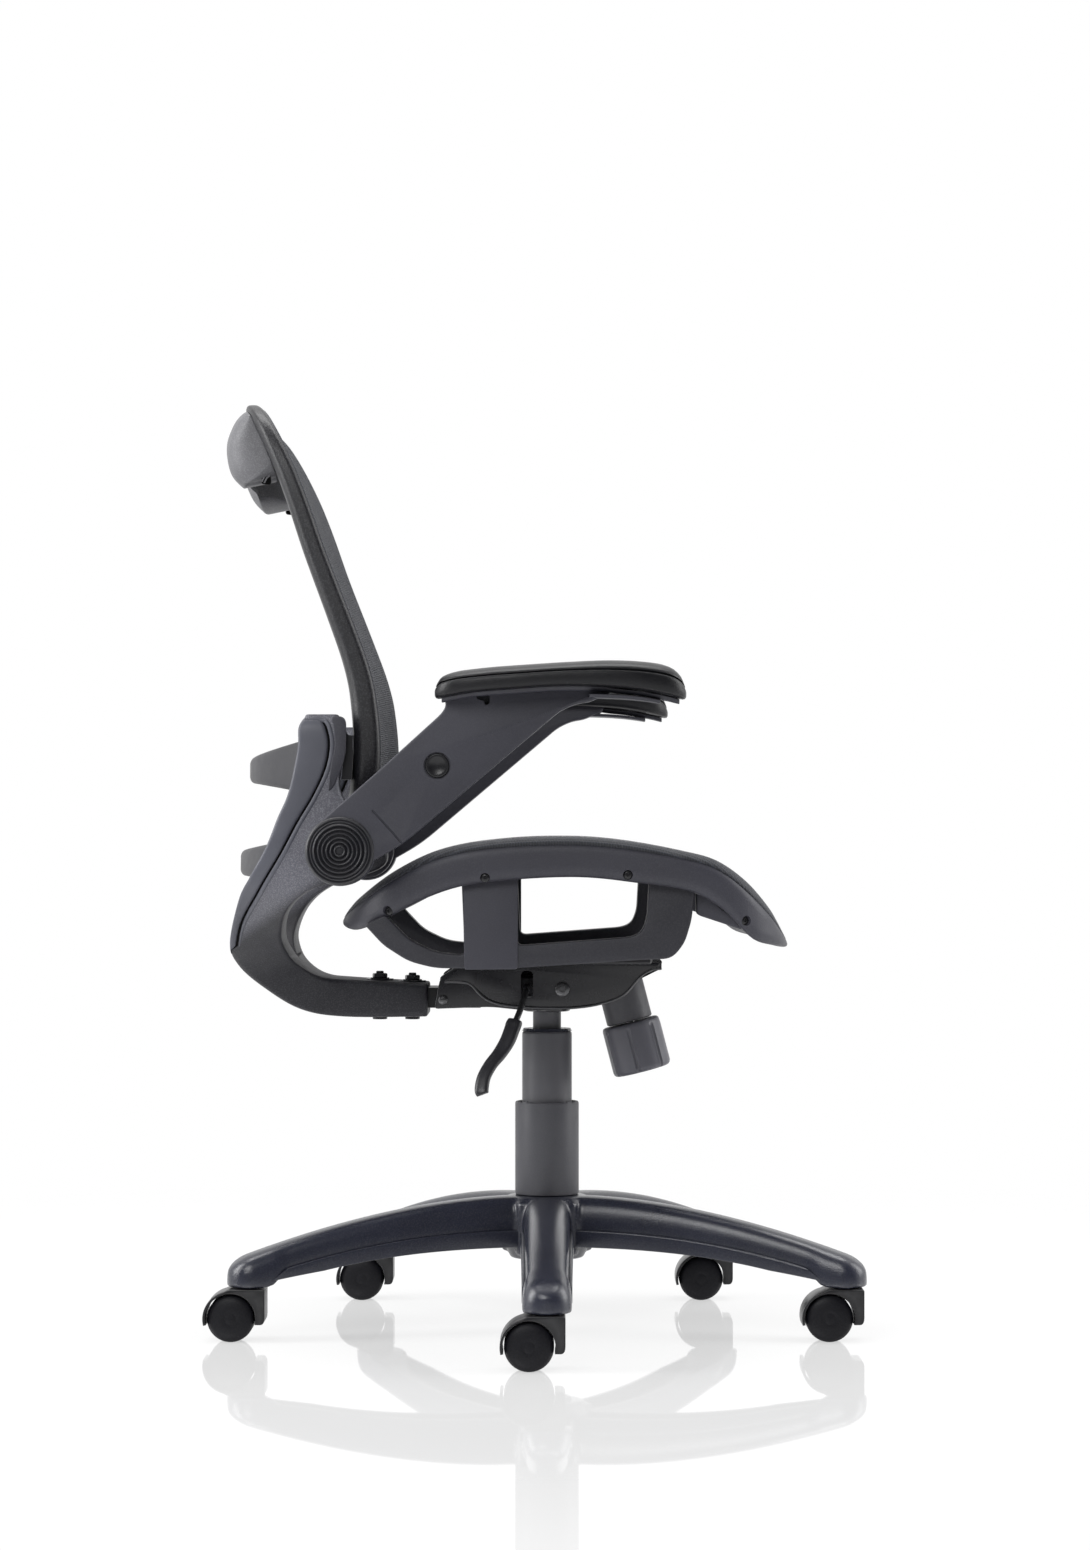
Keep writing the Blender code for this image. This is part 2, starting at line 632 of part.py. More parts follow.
def build_gas_lift(mats, lift, release):
    inner = TUBE_RADIUS - TUBE_WALL
    floor_top = TUBE_BOTTOM + TUBE_FLOOR
    rod_hole = ROD_RADIUS + RUN
    place(round_shaded(baked(turned("gas_tube", [
        (inner, TUBE_TOP), (TUBE_RADIUS, TUBE_TOP), (TUBE_RADIUS, TUBE_BOTTOM), (rod_hole, TUBE_BOTTOM),
        (rod_hole, floor_top), (inner, floor_top)], ring=True, steps=24))), mats["tube"])

    slide = CYLINDER_RADIUS + RUN
    rim = TUBE_TOP + GAP
    place(round_shaded(baked(turned("guide_bush", [
        (slide, rim + BUSH_FLANGE), (TUBE_RADIUS - TUBE_WALL / 2, rim + BUSH_FLANGE), (TUBE_RADIUS, rim),
        (inner - GAP, rim), (inner - GAP, rim - BUSH_LENGTH), (slide, rim - BUSH_LENGTH)],
        ring=True, steps=24))), mats["nylon"])

    collar_low = floor_top + GAP
    collar_high = collar_low + ROD_COLLAR
    rod_low = TUBE_BOTTOM - 2 * CLIP_THICKNESS
    place(round_shaded(baked(turned("piston_rod", [
        (0, ROD_TOP), (ROD_RADIUS, ROD_TOP), (ROD_RADIUS, collar_high),
        (ROD_COLLAR_RADIUS, collar_high), (ROD_COLLAR_RADIUS, collar_low), (ROD_RADIUS, collar_low),
        (ROD_RADIUS, rod_low), (0, rod_low)], steps=16))), mats["bright"])
    clip_top = TUBE_BOTTOM - GAP
    place(baked(turned("retaining_clip", [
        (rod_hole, clip_top), (CLIP_RADIUS, clip_top), (CLIP_RADIUS, clip_top - CLIP_THICKNESS),
        (rod_hole, clip_top - CLIP_THICKNESS)], ring=True, steps=16)), mats["bright"])

    foot = LEG_TOP_AT_HUB + GAP
    head = foot + SHROUD_HEIGHT
    place(round_shaded(baked(turned("column_shroud", [
        (TUBE_RADIUS + GAP, head), (SHROUD_RADIUS - SHROUD_WALL, head),
        (SHROUD_RADIUS - SHROUD_WALL / 3, head - SHROUD_WALL),
        (SHROUD_RADIUS, foot), (SHROUD_RADIUS - SHROUD_WALL, foot),
        (SHROUD_RADIUS - 2 * SHROUD_WALL, head - SHROUD_LIP), (TUBE_RADIUS + GAP, head - SHROUD_LIP)],
        ring=True, steps=24))), mats["tube"])

    top = cylinder_top()
    bottom = top - CYLINDER_LENGTH
    hole = RELEASE_PIN_RADIUS + RUN
    pin_foot = top - (RELEASE_PIN_LENGTH - RELEASE_PIN_PROUD)
    hole_foot = pin_foot - RELEASE_TRAVEL - 2 * GAP
    bore_top = hole_foot - TUBE_FLOOR
    place(round_shaded(baked(turned("gas_cylinder", [
        (0, hole_foot), (hole, hole_foot), (hole, top), (CYLINDER_RADIUS - 0.001, top),
        (CYLINDER_RADIUS, top - 0.02), (CYLINDER_RADIUS, bottom), (CYLINDER_BORE, bottom),
        (CYLINDER_BORE, bore_top), (0, bore_top)], steps=24))), mats["tube"], lift)
    place(baked(turned("release_pin", [
        (0, top + RELEASE_PIN_PROUD), (RELEASE_PIN_RADIUS, top + RELEASE_PIN_PROUD),
        (RELEASE_PIN_RADIUS, pin_foot), (0, pin_foot)], steps=12)), mats["bright"], release)


def cylinder_top():
    """The cylinder ends level with the top of the socket in the mechanism's bracket."""
    return socket_top_height() - 0.001


def socket_top_height():
    return BRACKET_BOTTOM + BRACKET_SHEET + 0.0125


# Casters

def axle_height():
    """The wheels have a flat facet on the floor."""
    return WHEEL_RADIUS * math.cos(math.pi / WHEEL_STEPS)


def hood_mesh():
    """Hood, middle web, axle stubs and stem in one moulding, about the axle's centre."""
    inner = WHEEL_RADIUS + HOOD_SPACE
    outer = inner + HOOD_WALL
    nose = -math.asin(HOOD_BLOCK_DROP / inner)
    outline = arc((0, 0), outer, HOOD_TAIL_ANGLE, math.radians(90), 6)
    outline += [(HOOD_BLOCK_REACH - HOOD_WALL, outer), (HOOD_BLOCK_REACH, outer - HOOD_WALL),
                (HOOD_BLOCK_REACH, -HOOD_BLOCK_DROP)]
    outline += arc((0, 0), inner, nose, HOOD_TAIL_ANGLE, 10)
    hood = prism("hood_shape", outline, -HOOD_WIDTH / 2, HOOD_WIDTH / 2)
    reach = inner + HOOD_WALL / 2
    web = arc((0, 0), reach, nose, HOOD_TAIL_ANGLE, 8) + [(0, -AXLE_RADIUS * 2.2)]
    join(hood, prism("hood_web", web, -CASTER_WEB / 2, CASTER_WEB / 2))
    axle = CASTER_WEB / 2 + WHEEL_WIDTH - WHEEL_SHOULDER
    join(hood, round_bar("hood_axle", AXLE_RADIUS, (0, -axle, 0), (0, axle, 0), steps=12))
    stem_foot = WHEEL_RADIUS + HOOD_SPACE
    stem_head = LEG_FLOOR_AT_TIP + STEM_LENGTH - axle_height()
    join(hood, round_bar("hood_stem", STEM_RADIUS, (CASTER_TRAIL, 0, stem_foot),
                         (CASTER_TRAIL, 0, stem_head), steps=12))
    solid = baked(hood)
    mesh = solid.data
    bpy.data.objects.remove(solid)
    return mesh


def wheel_mesh(side):
    """A wheel with a closed outer face, its bore open towards the web."""
    face = WHEEL_WIDTH
    bore = AXLE_RADIUS + RUN
    depth = face - WHEEL_SHOULDER + 2 * GAP
    shape = turned("wheel_shape", [
        (0, face), (WHEEL_FACE_RADIUS, face), (WHEEL_RADIUS, face - WHEEL_SHOULDER), (WHEEL_RADIUS, GAP),
        (bore, GAP), (bore, depth), (0, depth)], steps=WHEEL_STEPS)
    shape.rotation_euler = (0, 0, math.pi / WHEEL_STEPS)
    solid = baked(shape)
    mesh = solid.data
    mesh.transform(Matrix.Rotation(-side * math.pi / 2, 4, "X"))
    mesh.transform(Matrix.Translation((0, side * CASTER_WEB / 2, 0)))
    bpy.data.objects.remove(solid)
    return mesh


def build_casters(mats):
    hood = hood_mesh()
    wheels = {side: wheel_mesh(side) for side in (-1, 1)}
    for k, angle in enumerate(leg_angles()):
        stem = Vector((STEM_CIRCLE * math.cos(angle), STEM_CIRCLE * math.sin(angle), 0))
        axle = stem + Vector((-CASTER_TRAIL, 0, axle_height()))
        swivel = joint_empty(f"caster_{k + 1}_swivel", stem)
        piece = mesh_object(f"caster_hood_{k + 1}", hood.copy())
        piece.location = axle
        place(piece, mats["nylon"], swivel)
        for side, mesh in wheels.items():
            wheel = mesh_object(side_name(f"caster_wheel_{k + 1}", side), mesh.copy())
            wheel.location = axle
            place(round_shaded(wheel), mats["wheel"], swivel)


# Mechanism

def slope_height(x):
    """Height of the sloping front plate's lower face."""
    (x0, z0), (x1, z1) = SLOPE_LOW, SLOPE_HIGH
    return z0 + (x - x0) * (z1 - z0) / (x1 - x0)


def build_bracket(mats, swivel):
    half = BRACKET_WIDTH / 2
    plate_top = BRACKET_BOTTOM + BRACKET_SHEET
    ear_top = PIVOT_Z + 0.014
    low_cheek = PIVOT_Z - 0.0060
    outline = [(BRACKET_REAR, BRACKET_BOTTOM), (BRACKET_FRONT, BRACKET_BOTTOM),
               (BRACKET_FRONT, PIVOT_Z - 0.002), (PIVOT_X + 0.012, ear_top),
               (PIVOT_X - 0.012, ear_top), (PIVOT_X - 0.023, low_cheek),
               (BRACKET_REAR, low_cheek - 0.003)]
    bracket = prism("column_bracket", outline, -half, half)
    cut(bracket, block("bracket_channel", (BRACKET_REAR - 0.01, -half + BRACKET_SHEET, plate_top),
                       (BRACKET_FRONT + 0.01, half - BRACKET_SHEET, ear_top + 0.01)))
    join(bracket, turned("bracket_socket", [
        (0, socket_top_height()), (SOCKET_RADIUS, socket_top_height()), (SOCKET_RADIUS, BRACKET_BOTTOM + GAP),
        (COLLAR_RADIUS, BRACKET_BOTTOM + GAP), (COLLAR_RADIUS, BRACKET_BOTTOM - COLLAR_DROP),
        (0, BRACKET_BOTTOM - COLLAR_DROP)], steps=24))
    rest = lever_height() - LEVER_RADIUS - GAP
    join(bracket, block("lever_fulcrum",
                        (LEVER_X - FULCRUM_WIDTH / 2, LEVER_FULCRUM_Y - FULCRUM_DEPTH / 2, plate_top - 0.001),
                        (LEVER_X + FULCRUM_WIDTH / 2, LEVER_FULCRUM_Y + FULCRUM_DEPTH / 2, rest)))
    cut(bracket, round_bar("cylinder_bore", CYLINDER_RADIUS + RUN, (0, 0, BRACKET_BOTTOM - 0.02),
                           (0, 0, socket_top_height() + 0.02), steps=24))
    cut(bracket, round_bar("bracket_pin_hole", PIN_RADIUS + RUN, (PIVOT_X, -half - 0.01, PIVOT_Z),
                           (PIVOT_X, half + 0.01, PIVOT_Z)))
    place(bracket, mats["steel"], swivel)

    out = HOUSING_WIDTH / 2 + GAP
    pin = turned("tilt_pin", [
        (0, out + PIN_HEAD), (PIN_HEAD_RADIUS * 0.6, out + PIN_HEAD * 0.85), (PIN_HEAD_RADIUS, out),
        (PIN_RADIUS, out), (PIN_RADIUS, -out), (PIN_HEAD_RADIUS, -out),
        (PIN_HEAD_RADIUS * 0.6, -out - PIN_HEAD * 0.85), (0, -out - PIN_HEAD)], steps=16,
        position=(PIVOT_X, 0, PIVOT_Z), rotation=(math.pi / 2, 0, 0))
    place(round_shaded(baked(pin)), mats["steel"], swivel)


def build_housing(mats, tilt):
    half = HOUSING_WIDTH / 2
    outline = [(HOUSING_REAR, PIVOT_Z - 0.0193), (HOUSING_REAR * 0.5, PIVOT_Z - 0.0173),
               (PIVOT_X - 0.0365, PIVOT_Z - 0.0212), (PIVOT_X + 0.0055, PIVOT_Z - 0.0193),
               SLOPE_LOW, SLOPE_HIGH, (HOUSING_FRONT, HOUSING_TOP - HOUSING_LIP),
               (HOUSING_FRONT, HOUSING_TOP), (HOUSING_REAR + 0.030, HOUSING_TOP),
               (HOUSING_REAR + 0.006, PIVOT_Z + 0.011)]
    housing = prism("tilt_housing", outline, -half, half)
    ceiling = HOUSING_TOP - SHEET
    low, high = Vector(SLOPE_LOW), Vector(SLOPE_HIGH)
    along = (high - low).normalized()
    lift = Vector((-along.y, along.x)) * SHEET
    inner = [(HOUSING_REAR - 0.03, PIVOT_Z - 0.05), (SLOPE_LOW[0] - SHEET, PIVOT_Z - 0.05),
             (SLOPE_LOW[0] - SHEET, (low + lift).y), tuple(low + lift), tuple(high + lift),
             (SLOPE_HIGH[0], ceiling), (HOUSING_REAR - 0.03, ceiling)]
    cut(housing, prism("housing_channel", inner, -half + SHEET, half - SHEET))
    cut(housing, round_bar("housing_pin_hole", PIN_RADIUS + RUN, (PIVOT_X, -half - 0.01, PIVOT_Z),
                           (PIVOT_X, half + 0.01, PIVOT_Z)))
    cut(housing, round_bar("housing_rear_hole", REAR_PIN_RADIUS + RUN, (REAR_PIN_X, -half - 0.01, REAR_PIN_Z),
                           (REAR_PIN_X, half + 0.01, REAR_PIN_Z)))
    cut(housing, block("lever_slot", (LEVER_X - LEVER_SLOT_WIDTH / 2, -half - 0.01, LEVER_SLOT_BOTTOM),
                       (LEVER_X + LEVER_SLOT_WIDTH / 2, -half + 2 * SHEET, LEVER_SLOT_TOP)))
    cut(housing, round_bar("tension_hole", TENSION_BOLT_RADIUS + RUN, tension_point(0.01),
                           tension_point(0.07)))
    place(housing, mats["steel"], tilt)

    out = half + GAP
    pin = turned("rear_pin", [
        (0, out + PIN_HEAD), (REAR_PIN_RADIUS * 1.15, out + PIN_HEAD), (REAR_PIN_RADIUS * 1.3, out),
        (REAR_PIN_RADIUS, out), (REAR_PIN_RADIUS, -out), (REAR_PIN_RADIUS * 1.3, -out),
        (REAR_PIN_RADIUS * 1.15, -out - PIN_HEAD), (0, -out - PIN_HEAD)], steps=14,
        position=(REAR_PIN_X, 0, REAR_PIN_Z), rotation=(math.pi / 2, 0, 0))
    place(round_shaded(baked(pin)), mats["steel"], tilt)

    tongue = block("back_tongue", (TONGUE_REAR, -TONGUE_WIDTH / 2, tongue_low()),
                   (TONGUE_FRONT, TONGUE_WIDTH / 2, tongue_low() + TONGUE_HEIGHT))
    cut(tongue, round_bar("tongue_pin_hole", REAR_PIN_RADIUS + RUN, (REAR_PIN_X, -half, REAR_PIN_Z),
                          (REAR_PIN_X, half, REAR_PIN_Z)))
    for k, x in enumerate(YOKE_BOLTS_X):
        cut(tongue, round_bar(f"tongue_bolt_hole_{k + 1}", YOKE_BOLT_RADIUS + RUN,
                              (x, 0, tongue_low() - 0.02),
                              (x, 0, tongue_low() + TONGUE_HEIGHT + 0.02), steps=12))
    place(tongue, mats["steel"], tilt)


def tongue_low():
    return REAR_PIN_Z - TONGUE_HEIGHT / 2


def tension_point(up):
    """A point on the leaning tension axis, counted upwards from the knob's top."""
    return (KNOB_TOP[0] - up * math.sin(TENSION_LEAN), 0, KNOB_TOP[1] + up * math.cos(TENSION_LEAN))


def on_tension_axis(obj):
    obj.location = tension_point(0)
    obj.rotation_euler = (0, -TENSION_LEAN, 0)
    return baked(obj)


def build_tension(mats, tilt, knob_joint):
    cup = on_tension_axis(turned("tension_cup", [
        (CUP_RADIUS - CUP_WALL, CUP_LENGTH), (CUP_RADIUS, CUP_LENGTH), (CUP_RADIUS, CUP_TO_KNOB),
        (TENSION_BOLT_RADIUS + RUN, CUP_TO_KNOB), (TENSION_BOLT_RADIUS + RUN, CUP_TO_KNOB + CUP_WALL),
        (CUP_RADIUS - CUP_WALL, CUP_TO_KNOB + CUP_WALL)], ring=True, steps=24))
    reach = 0.06
    left, right = KNOB_TOP[0] - reach, KNOB_TOP[0] + reach
    under_left, under_right = slope_height(left) - GAP, slope_height(right) - GAP
    cut(cup, prism("cup_trim", [(left, under_left), (right, under_right), (right, under_right + reach),
                                (left, under_left + reach)], -reach, reach))
    place(round_shaded(baked(cup)), mats["steel"], tilt)

    start = CUP_TO_KNOB + CUP_WALL + SPRING_WIRE + GAP
    count = int(SPRING_TURNS * SPRING_POINTS)
    helix = [(SPRING_RADIUS * math.cos(2 * math.pi * i / SPRING_POINTS),
              SPRING_RADIUS * math.sin(2 * math.pi * i / SPRING_POINTS),
              start + SPRING_LENGTH * i / count) for i in range(count + 1)]
    turn_gap = SPRING_LENGTH / SPRING_TURNS - 2 * SPRING_WIRE
    print(f"tension_spring: least gap between turns {turn_gap * 1000:.2f} mm")
    place(on_tension_axis(tube_along("tension_spring", helix, SPRING_WIRE)), mats["bright"], tilt)

    head = TENSION_BOLT_TOP + TENSION_BOLT_HEAD
    place(on_tension_axis(turned("tension_bolt", [
        (0, head), (TENSION_BOLT_HEAD_RADIUS, head), (TENSION_BOLT_HEAD_RADIUS, TENSION_BOLT_TOP),
        (TENSION_BOLT_RADIUS, TENSION_BOLT_TOP), (TENSION_BOLT_RADIUS, -TENSION_BOLT_BOTTOM),
        (0, -TENSION_BOLT_BOTTOM)], steps=14)), mats["bright"], tilt)

    bore = TENSION_BOLT_RADIUS + RUN
    levels = ((0, KNOB_RADIUS - KNOB_BEVEL), (-KNOB_BEVEL, KNOB_RADIUS),
              (-KNOB_LENGTH + KNOB_BEVEL, KNOB_RADIUS - KNOB_BEVEL / 4),
              (-KNOB_LENGTH, KNOB_RADIUS - 1.4 * KNOB_BEVEL))
    rings = []
    for height, radius in levels:
        ring = []
        for k in range(4 * KNOB_FLUTES):
            angle = 2 * math.pi * k / (4 * KNOB_FLUTES)
            r = radius - (KNOB_FLUTE_DEPTH if k % 4 == 0 else 0)
            ring.append((r * math.cos(angle), r * math.sin(angle), height))
        rings.append(ring)
    knob = loft("tension_knob", rings)
    cut(knob, round_bar("knob_bore", bore, (0, 0, 0.01), (0, 0, -KNOB_BORE_DEPTH), steps=14))
    place(on_tension_axis(baked(knob)), mats["pad"], knob_joint)


def lever_height():
    """The lever's inner end lies on the release pin."""
    return cylinder_top() + RELEASE_PIN_PROUD + GAP + LEVER_RADIUS


def build_lever(mats, lever):
    z = lever_height()
    drop = (LEVER_DROP_X, LEVER_DROP_Y, z - LEVER_DROP)
    bend = (mix(LEVER_X, LEVER_DROP_X, 0.15), LEVER_OUT_Y - 0.004, z - 0.003)
    path = [(0, RELEASE_PIN_RADIUS, z), (0, LEVER_FULCRUM_Y / 3, z), (LEVER_X, LEVER_FULCRUM_Y * 0.85, z),
            (LEVER_X, LEVER_OUT_Y + 0.008, z), bend, drop]
    place(round_shaded(tube_along("lever_rod", path, LEVER_RADIUS, 2)), mats["steel"], lever)

    rings = []
    rows = ((0, 0.72), (0.1, 0.92), (0.35, 0.95), (0.65, 0.9), (0.9, 1.0), (1, 0.7))
    start = Vector(drop) + Vector((0, -GAP, -GAP))
    for t, size in rows:
        sway = 0.006 * math.sin(2 * math.pi * t)
        centre = start + Vector(PADDLE_RUN) * t + Vector((sway, -0.5 * PADDLE_THICKNESS, 0))
        half, thick = PADDLE_WIDTH * size / 2, PADDLE_THICKNESS * size / 2
        ring = []
        for u, v in ((-1, -0.5), (-0.6, -1), (0.6, -1), (1, -0.5), (1, 0.5), (0.6, 1), (-0.6, 1), (-1, 0.5)):
            ring.append(centre + Vector((u * half, v * thick, 0)))
        rings.append(ring)
    paddle = loft("lever_paddle", rings)
    inward = (Vector(path[-1]) - Vector(path[-2])).normalized()
    cut(paddle, round_bar("paddle_bore", LEVER_RADIUS + GAP, Vector(drop) - inward * PADDLE_GRIP,
                          Vector(drop) + inward * GAP, steps=12))
    place(baked(paddle), mats["pad"], lever)


# Seat

seat_top = curve_through(SEAT_TOP)
seat_under = curve_through(SEAT_UNDER)


def rounded(angle, corner):
    """A point of a unit rounded square in a direction."""
    c, s = math.cos(angle), math.sin(angle)
    reach = (abs(c)**corner + abs(s)**corner)**(-1 / corner)
    return reach * c, reach * s


def plan_angles(count):
    """Directions around a rounded outline, closer together at its corners."""
    even = [2 * math.pi * (i + 0.5) / count for i in range(count)]
    return [angle + 0.07 * math.sin(4 * angle) for angle in even]


def seat_plan(angle, inset):
    """A point of the seat's rounded plan, drawn in by an inset."""
    u, v = rounded(angle, SEAT_CORNER)
    middle, length = (SEAT_REAR + SEAT_FRONT) / 2, (SEAT_FRONT - SEAT_REAR) / 2
    return middle + (length - inset) * u, (SEAT_HALF_WIDTH - inset) * v


def build_seat_frame(mats, tilt):
    rings = []
    for angle in plan_angles(SEAT_STATIONS):
        def at(inset, level, lift=0.0):
            x, y = seat_plan(angle, inset)
            low, high = seat_under(x), seat_top(x)
            return (x, y, mix(low, high, level) + lift)
        rings.append([at(0.007, 1), at(0, 0.78), at(0, 0.2), at(0.004, 0), at(SEAT_RAIL - 0.008, 0.05),
                      at(SEAT_RAIL, 0.35), at(SEAT_RAIL, 1, -SEAT_LEDGE_DROP),
                      at(SEAT_RAIL - SEAT_LEDGE, 1, -SEAT_LEDGE_DROP),
                      at(SEAT_RAIL - SEAT_LEDGE - 0.002, 1)])
    place(round_shaded(loft("seat_frame", rings, closed=True)), mats["shell"], tilt)


def cloth_sheet(name, rows):
    """A thin closed sheet from rings of (front, back) points that shrink to a middle ring."""
    bm = bmesh.new()
    sides = []
    for pick in (0, 1):
        grid = [[bm.verts.new(pair[pick]) for pair in ring] for ring in rows]
        for first, second in zip(grid, grid[1:]):
            for i, _ in enumerate(first):
                j = (i + 1) % len(first)
                bm.faces.new((first[i], first[j], second[j], second[i]))
        bm.faces.new(grid[-1])
        sides.append(grid)
    front, back = sides[0][0], sides[1][0]
    for i, _ in enumerate(front):
        j = (i + 1) % len(front)
        bm.faces.new((front[i], front[j], back[j], back[i]))
    bmesh.ops.recalc_face_normals(bm, faces=bm.faces)
    mesh = bpy.data.meshes.new(name)
    bm.to_mesh(mesh)
    bm.free()
    return mesh_object(name, mesh)


def build_seat_mesh(mats, tilt):
    """The seat cloth lies on the frame's ledge and is crowned inside it."""
    middle = (SEAT_REAR + SEAT_FRONT) / 2
    held = ((SEAT_RAIL - SEAT_LEDGE + 2 * GAP, 1), (SEAT_RAIL + 3 * GAP, 1))
    rows = []
    for inset, share in held + tuple((SEAT_RAIL + 3 * GAP, share) for share in CLOTH_RINGS):
        ring = []
        for angle in plan_angles(SEAT_STATIONS):
            x, y = seat_plan(angle, inset)
            x, y = middle + (x - middle) * share, y * share
            rise = CLOTH_SEAT if inset < SEAT_RAIL else 5 * CLOTH_SEAT
            top = seat_top(x) - SEAT_LEDGE_DROP + rise + CLOTH + SEAT_CROWN * (1 - share**2)
            ring.append(((x, y, top), (x, y, top - CLOTH)))
        rows.append(ring)
    place(round_shaded(cloth_sheet("seat_mesh", rows)), mats["mesh"], tilt)


def cradle_outline():
    """Rear strut, two posts and the rail that joins them, under the seat frame."""
    def under(x):
        return seat_under(x) - CRADLE_SEAT

    rail_high = RAIL_TOP + RAIL_RISE
    tip_out, tip_in = STRUT_TIP
    strut_out = [(-0.1539, 0.3888), (-0.1303, 0.3737), (-0.1048, RAIL_BOTTOM)]
    strut_in = [(-0.0755, RAIL_TOP - 0.0090), (-0.1048, RAIL_TOP - 0.0063), (-0.1303, RAIL_TOP + 0.0060)]
    near, far = FRONT_POST
    front_post = [(near - 0.008, RAIL_BOTTOM + RAIL_RISE), (far - 0.022, RAIL_BOTTOM + RAIL_RISE + 0.001),
                  (far - 0.010, RAIL_TOP + 0.003), (far - 0.004, RAIL_TOP + 0.023),
                  (far, under(far) - 0.003), (near, under(far) + 0.003), (near - 0.002, rail_high + 0.018),
                  (near - 0.007, rail_high + 0.005), (near - 0.017, rail_high)]
    rear_post = [(REAR_POST[1] + 0.003, RAIL_TOP), (REAR_POST[1], under(REAR_POST[1])),
                 (REAR_POST[0], under(REAR_POST[0]))]
    return ([(tip_out, under(tip_out) - 0.001)] + strut_out + [(REAR_POST[1], RAIL_BOTTOM)] + front_post
            + rear_post + strut_in + [(tip_in, under(tip_in))])


def build_cradle(mats, tilt):
    for side in (-1, 1):
        inner = PAN_HALF_WIDTH + GAP
        low, high = sorted((side * inner, side * (inner + CRADLE_THICKNESS)))
        bracket = prism(side_name("seat_bracket", side), cradle_outline(), low, high)
        place(bracket, mats["shell"], tilt)
    pan = block("seat_pan", (PAN_REAR, -PAN_HALF_WIDTH, HOUSING_TOP + GAP),
                (PAN_FRONT, PAN_HALF_WIDTH, HOUSING_TOP + GAP + PAN_THICKNESS))
    place(bevelled(pan, 0.002), mats["shell"], tilt)


# Back

back_front = curve_through(BACK_FRONT)


def back_bow(y):
    return BACK_BOW * (1 - min(abs(y) / BACK_HALF_WIDTH, 1)**2)


def back_plan(angle, inset):
    """Sideways and height of a point on the back's rounded outline, drawn in by an inset."""
    u, v = rounded(angle, BACK_CORNER)
    middle, height = (BACK_BOTTOM + BACK_TOP) / 2, (BACK_TOP - BACK_BOTTOM) / 2
    return (BACK_HALF_WIDTH - inset) * u, middle + (height - inset) * v


def back_depth(z):
    return mix(BACK_DEPTH_AT_BOTTOM, BACK_DEPTH_AT_TOP, (z - BACK_BOTTOM) / (BACK_TOP - BACK_BOTTOM))


def back_point(y, z, behind):
    """A point at a distance behind the bowed front of the back."""
    return (back_front(z) - back_bow(y) - behind, y, z)


def build_back_frame(mats, tilt):
    rings = []
    for angle in plan_angles(BACK_STATIONS):
        def at(inset, share, drop=0.0):
            y, z = back_plan(angle, inset)
            return back_point(y, z, share * back_depth(z) + drop)
        rings.append([at(0.006, 0), at(0, 0.33), at(0.002, 0.8), at(0.008, 1), at(BACK_RAIL - 0.004, 1),
                      at(BACK_RAIL, 0.8), at(BACK_RAIL, 0, BACK_LEDGE_DROP),
                      at(BACK_RAIL - BACK_LEDGE, 0, BACK_LEDGE_DROP),
                      at(BACK_RAIL - BACK_LEDGE - 0.002, 0)])
    place(round_shaded(loft("back_frame", rings, closed=True)), mats["shell"], tilt)


def build_back_mesh(mats, tilt):
    """The back cloth lies on the frame's ledge and sinks a little inside it."""
    middle = (BACK_BOTTOM + BACK_TOP) / 2
    seat = BACK_LEDGE_DROP - CLOTH_SEAT
    held = ((BACK_RAIL - BACK_LEDGE + 2 * GAP, 1), (BACK_RAIL + 3 * GAP, 1))
    rows = []
    for inset, share in held + tuple((BACK_RAIL + 3 * GAP, share) for share in CLOTH_RINGS):
        ring = []
        for angle in plan_angles(BACK_STATIONS):
            y, z = back_plan(angle, inset)
            y, z = y * share, middle + (z - middle) * share
            deep = seat + BACK_CROWN * (1 - share**2)
            ring.append((back_point(y, z, deep - CLOTH), back_point(y, z, deep)))
        rows.append(ring)
    place(round_shaded(cloth_sheet("back_mesh", rows)), mats["mesh"], tilt)


def build_top_grip(mats, tilt):
    """A hooked lip behind the top rail that fingers go under."""
    rail_z = BACK_TOP - BACK_RAIL / 2
    rings = []
    for i in range(GRIP_STATIONS):
        t = 2 * i / (GRIP_STATIONS - 1) - 1
        y = GRIP_HALF_WIDTH * t
        swell = 0.35 + 0.65 * math.sqrt(max(1 - t**4, 0))
        base = back_point(y, rail_z, back_depth(rail_z))[0] - 2 * GAP
        outer = [(base + dx * swell - GRIP_WALL, rail_z + dz * swell) for dx, dz in GRIP_OUTLINE]
        inner = []
        for dx, dz in reversed(GRIP_OUTLINE[:-1]):
            z = min(rail_z + dz * swell + 0.3 * GRIP_WALL, BACK_TOP - GRIP_SEAT_DROP)
            rail = back_point(y, z + GAP, back_depth(z))[0] - 2 * GAP
            inner.append((min(base + dx * swell, rail), z))
        rings.append([(x, y, z) for x, z in outer + inner])
    place(round_shaded(loft("top_grip", rings)), mats["cover"], tilt)


# Yoke, rear covers and cross bars

def edged_section(rear, front, inner, outer, edge, side=-1):
    """A section between a rear and a front edge point, with its corners taken off."""
    rear, front = Vector((rear[0], 0, rear[1])), Vector((front[0], 0, front[1]))
    along = (front - rear).normalized() * min(edge, 0.3 * (front - rear).length)
    y_in, y_out = side * inner, side * outer
    step = side * min(edge, 0.3 * (outer - inner))
    out, into = Vector((0, y_out, 0)), Vector((0, y_in, 0))
    trim = Vector((0, step, 0))
    return [rear + out - trim, rear + along + out, front - along + out, front + out - trim,
            front + into + trim, front - along + into, rear + along + into, rear + into + trim]


def seam_point(station, extra=0.0):
    """The point between a station's edges where the rear cover stops."""
    rear, front, share = station[0], station[1], station[2]
    width = math.dist(rear, front)
    t = share + extra / width
    return (mix(rear[0], front[0], t), mix(rear[1], front[1], t))


